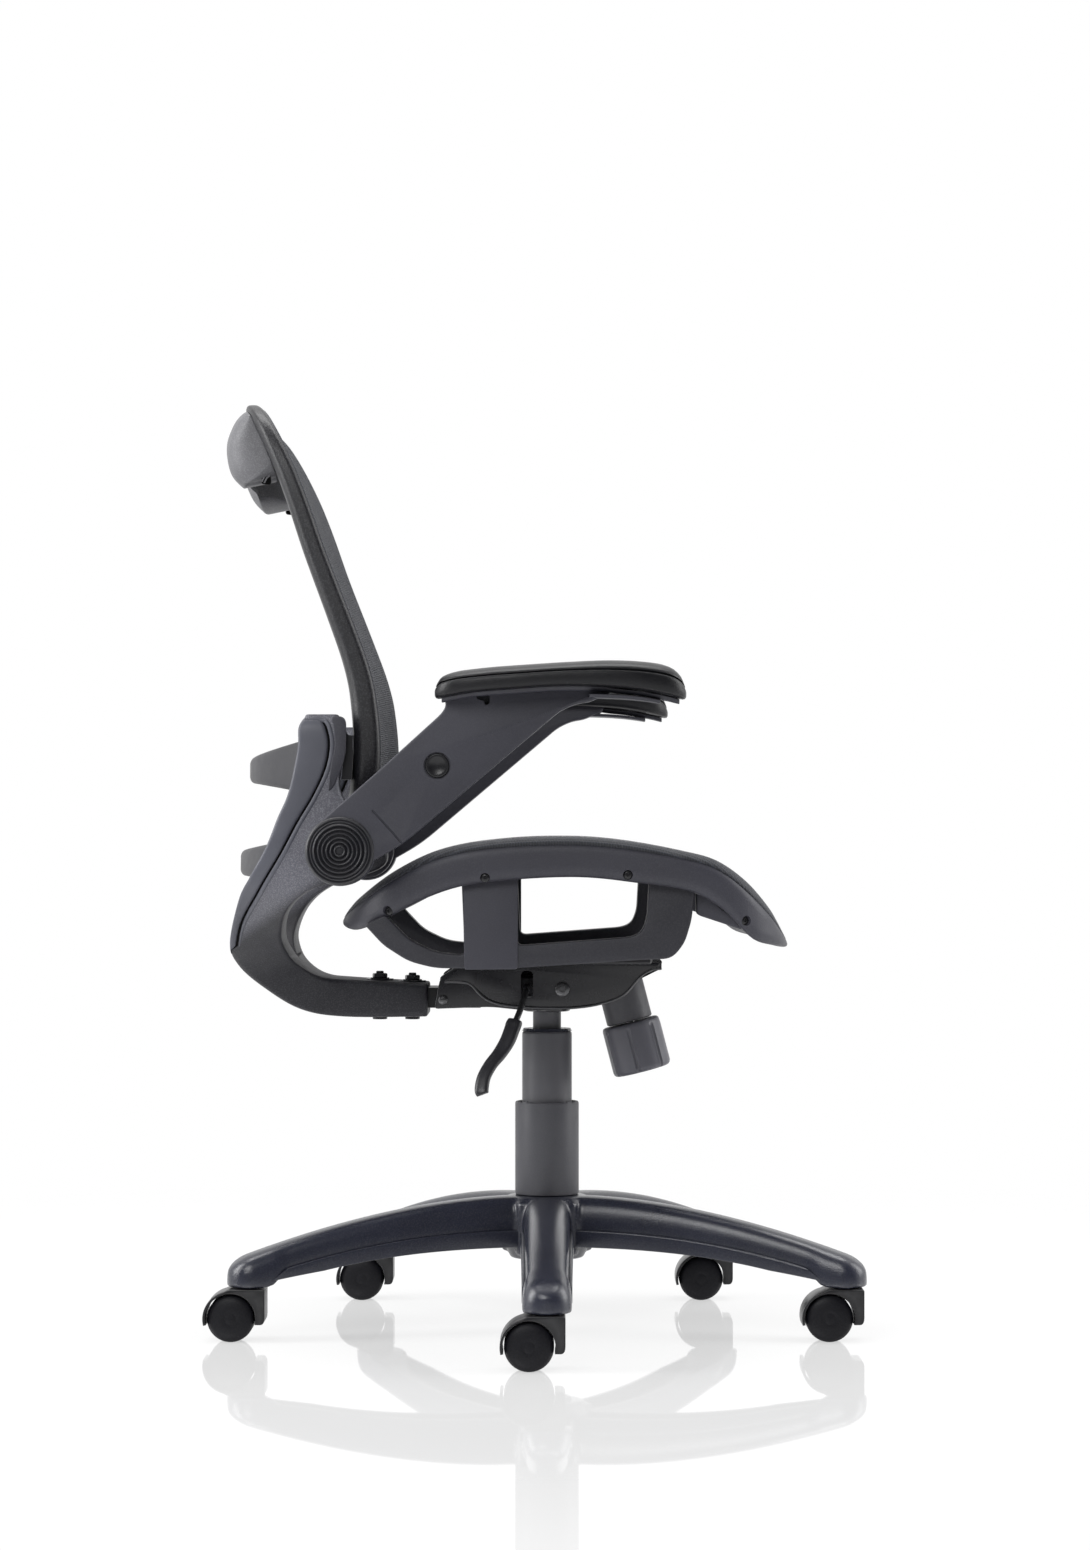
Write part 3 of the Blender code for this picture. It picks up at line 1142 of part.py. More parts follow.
def build_yoke(mats, tilt):
    rings = []
    for k, station in enumerate(YOKE_STATIONS):
        rear = seam_point(station, COVER_SEAM) if k >= COVER_FIRST else station[0]
        rings.append(edged_section(rear, station[1], station[3], station[4], YOKE_EDGE))
    yoke = loft("yoke", rings)
    mirror = yoke.modifiers.new("sides", "MIRROR")
    mirror.use_axis = (False, True, False)
    mirror.use_bisect_axis = (False, True, False)
    mirror.use_bisect_flip_axis = (False, True, False)
    mirror.merge_threshold = 0.00001
    yoke = baked(yoke)
    slack = GAP
    cut(yoke, block("tongue_slot", (TONGUE_REAR - slack, -TONGUE_WIDTH / 2 - slack, tongue_low() - slack),
                    (TONGUE_FRONT, TONGUE_WIDTH / 2 + slack, tongue_low() + TONGUE_HEIGHT + slack)))
    for k, x in enumerate(YOKE_BOLTS_X):
        cut(yoke, round_bar(f"yoke_bolt_hole_{k + 1}", YOKE_BOLT_RADIUS + RUN, (x, 0, tongue_low() - PAST),
                            (x, 0, tongue_low() + TONGUE_HEIGHT + PAST), steps=12))
    for side in (-1, 1):
        x, z = ARM_PIVOT
        cut(yoke, round_bar(side_name("yoke_pivot_hole", side), PIVOT_BOLT_RADIUS + RUN,
                            (x, side * (UPRIGHT_INNER - PAST), z), (x, side * (UPRIGHT_OUTER + PAST), z)))
    place(yoke, mats["shell"], tilt)

    for side in (-1, 1):
        rings = [edged_section(s[0], seam_point(s), s[3], s[4], COVER_EDGE, side)
                 for s in YOKE_STATIONS[COVER_FIRST:]]
        place(loft(side_name("rear_cover", side), rings), mats["cover"], tilt)

    bottom, top = yoke_levels()
    for k, x in enumerate(YOKE_BOLTS_X):
        low = bottom(x) - GAP
        high = max(top(x - YOKE_NUT_RADIUS), top(x + YOKE_NUT_RADIUS)) + GAP
        bolt = round_bar(f"yoke_bolt_{k + 1}", YOKE_BOLT_RADIUS, (x, 0, low - YOKE_HEAD / 2),
                         (x, 0, high + YOKE_NUT * 1.25), 12)
        join(bolt, round_bar(f"yoke_bolt_head_{k + 1}", YOKE_NUT_RADIUS, (x, 0, low - YOKE_HEAD),
                             (x, 0, low), 12))
        join(bolt, round_bar(f"yoke_nut_{k + 1}", YOKE_NUT_RADIUS, (x, 0, high),
                             (x, 0, high + YOKE_NUT), 6))
        place(baked(bolt), mats["steel"], tilt)


def yoke_levels():
    """Heights of the lower and upper face of the yoke's bolted end."""
    (low_a, high_a), (low_b, high_b) = YOKE_STATIONS[0][:2], YOKE_STATIONS[1][:2]
    return (curve_through(sorted((low_a, low_b))), curve_through(sorted((high_a, high_b))))


def cover_lines():
    """Position of the covers' rear edge, and reach of their inner side, for each height."""
    covered = YOKE_STATIONS[COVER_FIRST:]
    rear = line_through([(s[0][1], s[0][0]) for s in covered])
    return rear, line_through([(s[0][1], s[3]) for s in covered])


def build_cross_bar(mats, tilt, name, mid, ends):
    """A bar bowed to the rear between the two rear covers."""
    rear_line, inner_line = cover_lines()
    rings = []
    for i in range(BAR_STATIONS):
        t = 2 * i / (BAR_STATIONS - 1) - 1
        bow = 1 - abs(t)**2.4
        low, high = mix(ends[0], mid[1], bow), mix(ends[1], mid[2], bow)
        ring = []
        for level, inset in ((0, 1), (0.12, 0), (0.88, 0), (1, 1)):
            z = mix(low, high, level)
            rear = mix(rear_line(z) + BAR_INSET, mid[0], bow) + inset * 0.002
            ring.append((rear, t * (inner_line(z) - BAR_END), z))
        for level, inset in ((1, 1), (0.88, 0), (0.12, 0), (0, 1)):
            z = mix(low, high, level)
            rear = mix(rear_line(z) + BAR_INSET, mid[0], bow) + BAR_THICKNESS - inset * 0.002
            ring.append((rear, t * (inner_line(z) - BAR_END), z))
        rings.append(ring)
    place(round_shaded(loft(name, rings)), mats["cover"], tilt)


def build_back_mounts(mats, tilt):
    """Blocks that carry the back frame on the uprights."""
    inner = UPRIGHT_INNER + 0.006
    outer = inner + MOUNT_WIDTH
    upright = curve_through([(s[1][1], s[1][0]) for s in YOKE_STATIONS[-4:-1]])
    for side in (-1, 1):
        rings = []
        for z in (MOUNT_BOTTOM, (MOUNT_BOTTOM + MOUNT_TOP) / 2, MOUNT_TOP):
            ring = []
            for y in (inner, outer):
                ring.append((upright(z) + GAP, side * y, z))
            for y in (outer, inner):
                ring.append((back_point(y, z, back_depth(z))[0] - 3 * GAP, side * y, z))
            rings.append(ring)
        place(loft(side_name("back_mount", side), rings), mats["steel"], tilt)


# Arms

pad_top = curve_through(PAD_TOP)
pad_seam = curve_through(PAD_SEAM)


def build_pad(mats, side, joint):
    """A crowned soft pad with drawn-in sides, longer than its plate."""
    rings = []
    middle, length = (PAD_REAR + PAD_FRONT) / 2, (PAD_FRONT - PAD_REAR) / 2
    for i in range(PAD_STATIONS):
        t = -math.cos(math.pi * (i + 0.35) / (PAD_STATIONS - 0.3))
        x = middle + length * t
        half = PAD_HALF_WIDTH * (1 - abs(t)**PAD_END_SQUARENESS)**(1 / PAD_END_SQUARENESS)
        low, high = pad_seam(x), pad_top(x)
        ring = []
        for u, level in ((-0.86, 0), (-0.985, 0.3), (-1, 0.5), (-0.95, 0.78), (-0.8, 0.94), (-0.4, 1), (0, 1),
                         (0.4, 1), (0.8, 0.94), (0.95, 0.78), (1, 0.5), (0.985, 0.3), (0.86, 0)):
            crown = PAD_CROWN * (u * u) * level
            ring.append((x, side * (PAD_Y + u * half), mix(low, high, level) - crown))
        rings.append(ring)
    place(round_shaded(loft(side_name("arm_pad", side), rings), 50), mats["pad"], joint)


def arm_outline():
    hub = arc(ARM_PIVOT, ARM_HUB_RADIUS, ARM_TANGENT_LOWER, ARM_TANGENT_UPPER - 2 * math.pi, 14)
    front = [(PAD_FRONT - PLATE_INSET * 8, pad_seam(PAD_FRONT - PLATE_INSET * 8) - PLATE_THICKNESS / 2)]
    rear = [(PAD_REAR + PLATE_INSET, pad_seam(PAD_REAR + PLATE_INSET) - PLATE_THICKNESS / 2)]
    return hub + list(ARM_UPPER) + rear + front + list(ARM_LOWER)


def build_arm(mats, side, joint):
    low, high = sorted((side * ARM_WEB_INNER, side * ARM_WEB_OUTER))
    arm = prism(side_name("arm", side), arm_outline(), low, high)
    hub_face = UPRIGHT_OUTER + GAP
    x, z = ARM_PIVOT
    join(arm, round_bar(side_name("arm_hub", side), ARM_HUB_RADIUS - 0.001, (x, side * hub_face, z),
                        (x, side * (ARM_WEB_INNER + 0.004), z), steps=18))
    rings = []
    for i in range(9):
        at = mix(PAD_REAR + PLATE_INSET, PAD_FRONT - PLATE_INSET, i / 8)
        top = pad_seam(at) - GAP
        half = PLATE_HALF_WIDTH * (0.8 if i in (0, 8) else 1)
        rings.append([(at, side * (PAD_Y + v * half), top - d * PLATE_THICKNESS)
                      for v, d in ((-1, 0), (-1, 0.5), (-0.85, 1), (0.85, 1), (1, 0.5), (1, 0))])
    join(arm, loft(side_name("arm_plate", side), rings))
    cut(arm, round_bar(side_name("arm_bolt_hole", side), PIVOT_BOLT_RADIUS + RUN,
                       (x, side * (hub_face - 0.01), z), (x, side * (ARM_WEB_OUTER + 0.01), z)))
    seat = ARM_WEB_OUTER - PIVOT_HEAD - 2 * GAP
    cut(arm, round_bar(side_name("arm_bolt_seat", side), PIVOT_HEAD_RADIUS + RUN, (x, side * seat, z),
                       (x, side * (ARM_WEB_OUTER + 0.01), z)))
    place(arm, mats["cover"], joint)

    face = ARM_WEB_OUTER + GAP
    cap = turned(side_name("pivot_cap", side), [
        (0, CAP_THICKNESS), (CAP_STEP_RADIUS, CAP_THICKNESS), (CAP_STEP_RADIUS + 0.0006, CAP_THICKNESS * 0.6),
        (CAP_RADIUS - 0.0015, CAP_THICKNESS * 0.6), (CAP_RADIUS, CAP_THICKNESS * 0.3), (CAP_RADIUS, 0),
        (0, 0)], steps=20, position=(x, side * face, z), rotation=(-side * math.pi / 2, 0, 0))
    place(round_shaded(baked(cap)), mats["cover"], joint)


def build_pivot_bolt(mats, tilt, side):
    """The arm turns on this bolt, which is held in the upright."""
    x, z = ARM_PIVOT
    seat = ARM_WEB_OUTER - PIVOT_HEAD
    head = ARM_WEB_OUTER - GAP
    inner = UPRIGHT_INNER - GAP
    bolt = turned(side_name("pivot_bolt", side), [
        (0, head), (PIVOT_HEAD_RADIUS, head), (PIVOT_HEAD_RADIUS, seat), (PIVOT_BOLT_RADIUS, seat),
        (PIVOT_BOLT_RADIUS, inner), (PIVOT_HEAD_RADIUS, inner), (PIVOT_HEAD_RADIUS, inner - PIVOT_NUT),
        (0, inner - PIVOT_NUT)], steps=14, position=(x, 0, z), rotation=(-side * math.pi / 2, 0, 0))
    place(baked(bolt), mats["bright"], tilt)


def main():
    clear_scene()
    mats = make_finishes()
    lift = joint_empty("gas_lift", (0, 0, TUBE_TOP))
    release = joint_empty("release", (0, 0, cylinder_top()))
    swivel = joint_empty("seat_swivel", (0, 0, BRACKET_BOTTOM))
    tilt = joint_empty("seat_tilt", (PIVOT_X, 0, PIVOT_Z))
    lever = joint_empty("lever_pivot", (LEVER_X, LEVER_FULCRUM_Y, lever_height()))
    knob = joint_empty("knob_turn", tension_point(0))
    build_base(mats)
    build_gas_lift(mats, lift, release)
    build_casters(mats)
    build_bracket(mats, swivel)
    build_housing(mats, tilt)
    build_tension(mats, tilt, knob)
    build_lever(mats, lever)
    build_seat_frame(mats, tilt)
    build_seat_mesh(mats, tilt)
    build_cradle(mats, tilt)
    build_back_frame(mats, tilt)
    build_back_mesh(mats, tilt)
    build_top_grip(mats, tilt)
    build_yoke(mats, tilt)
    build_cross_bar(mats, tilt, "lumbar_bar", LUMBAR_MID, LUMBAR_END)
    build_cross_bar(mats, tilt, "lower_crossbar", LOWER_MID, LOWER_END)
    build_back_mounts(mats, tilt)
    for side in (-1, 1):
        joint = joint_empty(side_name("arm_pivot", side), (ARM_PIVOT[0], side * ARM_WEB_INNER, ARM_PIVOT[1]))
        build_arm(mats, side, joint)
        build_pad(mats, side, joint)
        build_pivot_bolt(mats, tilt, side)


main()
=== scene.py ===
"""Visual model of a mesh task chair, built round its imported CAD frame.

+X is the front of the chair, -Y the sitter's right and +Z up, in metres from the floor under the column.
"""

import json
import logging
import math
from collections.abc import Callable, Iterable, Sequence
from dataclasses import dataclass
from enum import Enum

import bmesh
import bpy
from mathutils import Matrix, Vector

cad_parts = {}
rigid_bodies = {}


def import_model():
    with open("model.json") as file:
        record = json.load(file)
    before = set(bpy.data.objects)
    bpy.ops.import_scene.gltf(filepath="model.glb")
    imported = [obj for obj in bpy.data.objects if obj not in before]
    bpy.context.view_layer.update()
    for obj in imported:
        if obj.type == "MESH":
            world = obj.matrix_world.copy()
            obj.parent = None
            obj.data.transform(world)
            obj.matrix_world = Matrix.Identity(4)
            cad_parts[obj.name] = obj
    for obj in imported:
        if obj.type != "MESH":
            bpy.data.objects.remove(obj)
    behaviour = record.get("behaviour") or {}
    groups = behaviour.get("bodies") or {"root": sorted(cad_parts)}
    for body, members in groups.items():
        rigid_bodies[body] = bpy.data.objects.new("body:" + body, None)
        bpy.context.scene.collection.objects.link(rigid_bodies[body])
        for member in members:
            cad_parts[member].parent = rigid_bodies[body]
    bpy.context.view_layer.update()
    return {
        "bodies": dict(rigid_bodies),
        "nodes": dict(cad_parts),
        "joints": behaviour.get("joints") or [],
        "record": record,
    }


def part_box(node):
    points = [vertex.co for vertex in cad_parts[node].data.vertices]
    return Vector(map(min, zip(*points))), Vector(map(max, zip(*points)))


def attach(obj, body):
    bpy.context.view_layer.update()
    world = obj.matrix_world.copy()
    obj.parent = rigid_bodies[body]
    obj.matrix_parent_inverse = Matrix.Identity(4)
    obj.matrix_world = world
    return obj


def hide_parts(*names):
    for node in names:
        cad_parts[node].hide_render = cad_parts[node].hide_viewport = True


LOG = logging.getLogger("task_chair")
PHOTO_SIZE = (1090, 1550)

Pair = tuple[float, float]
Point = tuple[float, float, float]
Piece = bpy.types.Object
Colour = tuple[float, float, float]


class Side(Enum):
    """The sitter's two sides, each with its sign of Y."""

    RIGHT = -1
    LEFT = 1

    @property
    def word(self) -> str:
        """The side's name as the CAD nodes write it."""
        return self.name.lower()


class Solver(Enum):
    """How a Boolean works out its cut."""

    EXACT = "EXACT"
    MANIFOLD = "MANIFOLD"


# Curves and outlines


def mix(low: float, high: float, share: float) -> float:
    """The value a share of the way from low to high."""
    return low + (high - low) * share


def smooth_line(points: Sequence[Pair]) -> Callable[[float], float]:
    """Make a smooth curve through points.

    Args:
        points: Pairs of place and height, in rising order of place.

    Returns:
        A function from a place to the curve's height there.
    """
    last = len(points) - 1
    slopes = []
    for index in range(last + 1):
        (x0, y0), (x1, y1) = points[max(index - 1, 0)], points[min(index + 1, last)]
        slopes.append((y1 - y0) / (x1 - x0))

    def height(place: float) -> float:
        """The curve's height at a place."""
        place = min(max(place, points[0][0]), points[last][0])
        index = max(k for k in range(last) if points[k][0] <= place)
        (x0, y0), (x1, y1) = points[index], points[index + 1]
        span = x1 - x0
        t = (place - x0) / span
        return ((2 * t**3 - 3 * t**2 + 1) * y0 + (t**3 - 2 * t**2 + t) * span * slopes[index]
                + (3 * t**2 - 2 * t**3) * y1 + (t**3 - t**2) * span * slopes[index + 1])

    return height


def resampled(rows: Sequence[Sequence[float]], steps: int) -> list[list[float]]:
    """Put more rows between rows of numbers, on smooth curves through them.

    Args:
        rows: The rows to pass through.
        steps: How many rows each gap becomes.

    Returns:
        The finer rows, the given ones among them.
    """
    last = len(rows) - 1
    made = []
    for index in range(last):
        near = [rows[min(max(index + k, 0), last)] for k in (-1, 0, 1, 2)]
        for step in range(steps):
            t = step / steps
            made.append([0.5 * (2 * q + (r - p) * t + (2 * p - 5 * q + 4 * r - s) * t * t
                                + (3 * q - p - 3 * r + s) * t**3)
                         for p, q, r, s in zip(*near)])
    made.append(list(rows[-1]))
    return made


def filleted(corners: Sequence[Pair], cut: float | Sequence[float], steps: int = 4) -> list[Pair]:
    """Round the corners of a closed outline.

    Args:
        corners: The outline's corners in order.
        cut: How far from a corner its rounding starts, one for all or one each.
        steps: Segments in each rounding.

    Returns:
        The rounded outline.
    """
    made = []
    for index, (x, z) in enumerate(corners):
        size = cut if isinstance(cut, (int, float)) else cut[index]
        ends = []
        for ax, az in (corners[index - 1], corners[(index + 1) % len(corners)]):
            length = math.dist((x, z), (ax, az))
            share = min(size, 0.47 * length) / length
            ends.append((mix(x, ax, share), mix(z, az, share)))
        for step in range(steps + 1):
            t = step / steps
            made.append(tuple((1 - t) ** 2 * a + 2 * t * (1 - t) * b + t * t * c
                              for a, b, c in zip(ends[0], (x, z), ends[1])))
    return made


def inset(outline: Sequence[Pair], depth: float) -> list[Pair]:
    """Draw a closed outline in by a depth, whichever way round it runs."""
    count = len(outline)
    area = sum(a[0] * b[1] - a[1] * b[0] for a, b in zip(outline, (*outline[1:], outline[0])))
    made = []
    for index, (x, z) in enumerate(outline):
        (ax, az), (bx, bz) = outline[index - 1], outline[(index + 1) % count]
        length = math.hypot(bx - ax, bz - az) or 1.0
        turn = math.copysign(depth / length, area)
        made.append((x - (bz - az) * turn, z + (bx - ax) * turn))
    return made


def arc(centre: Pair, radius: float, start: float, end: float, count: int) -> list[Pair]:
    """Points on a circle from one angle to another, in degrees."""
    turns = [math.radians(mix(start, end, k / (count - 1))) for k in range(count)]
    return [(centre[0] + radius * math.cos(a), centre[1] + radius * math.sin(a)) for a in turns]


def squared(angle: float, corner: float) -> Pair:
    """A point on a squarish unit ring, squarer for a larger corner number."""
    c, s = math.cos(angle), math.sin(angle)
    reach = (abs(c) ** corner + abs(s) ** corner) ** (-1 / corner)
    return reach * c, reach * s


def ring_angles(count: int) -> list[float]:
    """Angles round a squarish ring, closer together at its corners."""
    even = [2 * math.pi * (k + 0.5) / count for k in range(count)]
    return [a + 0.07 * math.sin(4 * a) for a in even]


# Modelling


def set_down() -> None:
    """Leave edit mode and let go of everything."""
    if bpy.context.object and bpy.context.mode != "OBJECT":
        bpy.ops.object.mode_set(mode="OBJECT")
    bpy.ops.object.select_all(action="DESELECT")


def pick(*pieces: Piece) -> None:
    """Select only these pieces, the first of them active."""
    set_down()
    for piece in pieces:
        piece.select_set(True)
    bpy.context.view_layer.objects.active = pieces[0]


def face_out(piece: Piece) -> None:
    """Merge doubled points and turn every face outwards."""
    pick(piece)
    bpy.ops.object.mode_set(mode="EDIT")
    bpy.ops.mesh.select_all(action="SELECT")
    bpy.ops.mesh.remove_doubles(threshold=1e-6)
    bpy.ops.mesh.normals_make_consistent(inside=False)
    bpy.ops.object.mode_set(mode="OBJECT")


def lofted(name: str, rings: Sequence[Sequence[Point]], capped: bool = True, looped: bool = False) -> Piece:
    """Start from a circle and extrude it from ring to ring.

    Args:
        name: The piece's name.
        rings: Closed rings of points, all with the same count.
        capped: Whether the first and last ring are filled.
        looped: Whether the last ring runs back into the first.

    Returns:
        The piece, with its place in its mesh.
    """
    set_down()
    bpy.ops.mesh.primitive_circle_add(vertices=len(rings[0]), radius=0.01)
    piece = bpy.context.object
    piece.name = piece.data.name = name
    bpy.ops.object.mode_set(mode="EDIT")
    bpy.ops.mesh.select_all(action="SELECT")
    work = bmesh.from_edit_mesh(piece.data)
    work.verts.ensure_lookup_table()
    first = rim = list(work.verts)
    for vert, spot in zip(rim, rings[0]):
        vert.co = spot
    for ring in [*rings[1:], *([rings[0]] if looped else [])]:
        bpy.ops.mesh.extrude_region()
        rim = [next(e.other_vert(v) for e in v.link_edges if e.other_vert(v).select) for v in rim]
        for vert, spot in zip(rim, ring):
            vert.co = spot
    bpy.ops.mesh.select_mode(type="VERT")
    for end in (first, rim) if capped and not looped else ():
        bpy.ops.mesh.select_all(action="DESELECT")
        for vert in end:
            vert.select = True
        work.select_flush(True)
        bpy.ops.mesh.edge_face_add()
    bmesh.update_edit_mesh(piece.data)
    face_out(piece)
    return piece


def slab(name: str, outline: Sequence[Pair], low: float, high: float, rim: float, steps: int = 4) -> Piece:
    """Extrude an outline in X and Z along Y, with rounded rims.

    Args:
        name: The piece's name.
        outline: The closed outline as X and Z.
        low: Y where it starts.
        high: Y where it ends.
        rim: Radius of the rounding along both rims.
        steps: Segments in the rounding.

    Returns:
        The piece.
    """
    turns = [math.pi / 2 * k / steps for k in range(steps + 1)]
    rings = [[(x, low + rim * (1 - math.cos(a)), z) for x, z in inset(outline, rim * (1 - math.sin(a)))]
             for a in turns]
    rings += [[(x, high - rim * (1 - math.cos(a)), z) for x, z in inset(outline, rim * (1 - math.sin(a)))]
              for a in reversed(turns)]
    return lofted(name, rings)


def turned(name: str, profile: Sequence[Pair], foot: Point, axis: Point, looped: bool = False,
           count: int = 64) -> Piece:
    """Turn a profile about an axis.

    Args:
        name: The piece's name.
        profile: Pairs of radius and height along the axis.
        foot: The point on the axis where heights start.
        axis: The axis's direction.
        looped: Whether the profile closes on itself, as a tube's does.
        count: Points round the axis.

    Returns:
        The piece.
    """
    up = Vector(axis).normalized()
    across = up.orthogonal().normalized()
    other = up.cross(across)
    turns = [2 * math.pi * k / count for k in range(count)]
    rings = [[tuple(Vector(foot) + up * h + max(r, 2e-4) * (across * math.cos(a) + other * math.sin(a)))
              for a in turns] for r, h in profile]
    return lofted(name, rings, looped=looped)


def along(name: str, path: Sequence[Point], sizes: Sequence[Pair], corner: float = 2.0, count: int = 20,
          across: Point = (0, 1, 0)) -> Piece:
    """Sweep a rounded section along a path.

    Args:
        name: The piece's name.
        path: Points of the centreline.
        sizes: Half width and half thickness at each point.
        corner: How square the section is, 2 for an ellipse.
        count: Points round the section.
        across: The direction that the width is nearest to.

    Returns:
        The piece.
    """
    spots = [Vector(p) for p in path]
    rings = []
    for index, spot in enumerate(spots):
        ahead = (spots[min(index + 1, len(spots) - 1)] - spots[max(index - 1, 0)]).normalized()
        wide = (Vector(across) - ahead * Vector(across).dot(ahead)).normalized()
        deep = ahead.cross(wide)
        ring = []
        for k in range(count):
            c, s = squared(2 * math.pi * (k + 0.5) / count, corner)
            ring.append(tuple(spot + wide * c * sizes[index][0] + deep * s * sizes[index][1]))
        rings.append(ring)
    return lofted(name, rings)


def round_ends(rings: Sequence[Sequence[Point]], depth: float, shrink: float,
               steps: int) -> list[Sequence[Point]]:
    """Give a loft's blunt ends a rounded edge by adding rings that draw in.

    Args:
        rings: The loft's rings.
        depth: How far each end grows.
        shrink: The share by which an end's outline draws in.
        steps: Rings added at each end.

    Returns:
        The rings with the added ones.
    """
    made = list(rings)
    for front in (True, False):
        edge, inner = (rings[0], rings[1]) if front else (rings[-1], rings[-2])
        middle = sum((Vector(p) for p in edge), Vector()) / len(edge)
        out = (middle - sum((Vector(p) for p in inner), Vector()) / len(inner)).normalized()
        for step in range(1, steps + 1):
            a = math.pi / 2 * step / steps
            share = 1 - shrink * (1 - math.cos(a))
            ring = [tuple(middle + (Vector(p) - middle) * share + out * depth * math.sin(a)) for p in edge]
            made.insert(0, ring) if front else made.append(ring)
    return made


def carve(piece: Piece, tool: Piece, solver: Solver = Solver.EXACT) -> None:
    """Cut a tool's shape out of a piece and throw the tool away."""
    pick(piece)
    change = piece.modifiers.new("carve", "BOOLEAN")
    change.operation, change.object, change.solver = "DIFFERENCE", tool, solver.value
    bpy.ops.object.modifier_apply(modifier=change.name)
    bpy.data.objects.remove(tool)


def joined(pieces: Sequence[Piece], name: str) -> Piece:
    """Make several meshes one piece, each keeping its own shell."""
    pick(*pieces)
    if len(pieces) > 1:
        bpy.ops.object.join()
    piece = bpy.context.object
    piece.name = piece.data.name = name
    return piece


def twin(piece: Piece, name: str, matrix: Matrix) -> Piece:
    """Copy a piece with its own mesh and apply a move, turn or mirror to the copy."""
    pick(piece)
    bpy.ops.object.duplicate()
    copy = bpy.context.object
    copy.name = copy.data.name = name
    copy.matrix_world = matrix
    bpy.ops.object.transform_apply(location=True, rotation=True, scale=True)
    if matrix.determinant() < 0:
        face_out(copy)
    return copy


def mirrored(piece: Piece, name: str) -> Piece:
    """Copy a piece to the other side of the chair."""
    return twin(piece, name, Matrix.Diagonal((1, -1, 1, 1)))


def sided(piece: Piece, name: str, side: Side) -> Piece:
    """Copy a piece of the right side to either side."""
    return mirrored(piece, name) if side is Side.LEFT else twin(piece, name, Matrix.Identity(4))


def welded(piece: Piece, grid: float, rounds: int) -> None:
    """Melt overlapping shells into one skin with soft inner corners.

    Args:
        piece: The piece of overlapping shells.
        grid: Size of the remesh grid.
        rounds: How often the skin is smoothed.
    """
    pick(piece)
    skin = piece.modifiers.new("skin", "REMESH")
    skin.mode, skin.voxel_size = "VOXEL", grid
    bpy.ops.object.modifier_apply(modifier=skin.name)
    soft = piece.modifiers.new("soft", "SMOOTH")
    soft.factor, soft.iterations = 0.5, rounds
    bpy.ops.object.modifier_apply(modifier=soft.name)


def dress(piece: Piece, body: str, finish: "Finish", nodes: Iterable[str] = (),
          angle: float = 38) -> Piece:
    """Shade a finished piece, give it its material and set it on its body.

    Args:
        piece: The finished piece.
        body: The CAD body that it rides on.
        finish: Its finish.
        nodes: The CAD nodes that it stands for.
        angle: The sharpest corner, in degrees, that is still shaded smooth.

    Returns:
        The piece.
    """
    pick(piece)
    bpy.ops.object.shade_smooth_by_angle(angle=math.radians(angle))
    piece.data.materials.clear()
    piece.data.materials.append(finish.material())
    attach(piece, body)
    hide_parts(*nodes)
    LOG.info("%s: %d faces on %s", piece.name, len(piece.data.polygons), body)
    return piece


# Finishes


class Nodes:
    """A small helper that adds and joins the nodes of one tree."""

    def __init__(self, tree: bpy.types.NodeTree) -> None:
        """Start on a tree."""
        self.tree = tree

    def add(self, kind: str, settings: dict | None = None, **inputs) -> bpy.types.Node:
        """Add a node.

        Args:
            kind: The node's type.
            settings: Attributes to set on it.
            **inputs: Values or sockets for its inputs; _ in a name stands for a space, and i0, i1 for places.

        Returns:
            The node.
        """
        node = self.tree.nodes.new(kind)
        for key, value in (settings or {}).items():
            setattr(node, key, value)
        for key, value in inputs.items():
            socket = node.inputs[int(key[1:])] if key[1:].isdigit() else node.inputs[key.replace("_", " ")]
            if isinstance(value, bpy.types.NodeSocket):
                self.tree.links.new(value, socket)
            else:
                socket.default_value = value
        return node

    def maths(self, what: str, *values) -> bpy.types.NodeSocket:
        """Add a Math node and give its result."""
        inputs = {f"i{k}": value for k, value in enumerate(values)}
        return self.add("ShaderNodeMath", {"operation": what}, **inputs).outputs[0]

    def ranged(self, value: bpy.types.NodeSocket, low: float, high: float, to_low: float = 0.0,
               to_high: float = 1.0) -> bpy.types.NodeSocket:
        """Map a value smoothly from one range to another."""
        node = self.add("ShaderNodeMapRange", {"interpolation_type": "SMOOTHSTEP"}, Value=value, From_Min=low,
                        From_Max=high, To_Min=to_low, To_Max=to_high)
        return node.outputs[0]

    def blend(self, share, first, second) -> bpy.types.NodeSocket:
        """Mix two colours."""
        node = self.add("ShaderNodeMix", {"data_type": "RGBA"}, i0=share, i6=first, i7=second)
        return node.outputs[2]

    def sight(self) -> tuple[bpy.types.NodeSocket, bpy.types.NodeSocket]:
        """Masks for the camera's own rays, and for all rays that show a thing and don't light it."""
        path = self.add("ShaderNodeLightPath")
        camera = path.outputs["Is Camera Ray"]
        through = self.maths("MAXIMUM", camera, path.outputs["Is Transmission Ray"])
        return camera, self.maths("MAXIMUM", through, path.outputs["Is Glossy Ray"])


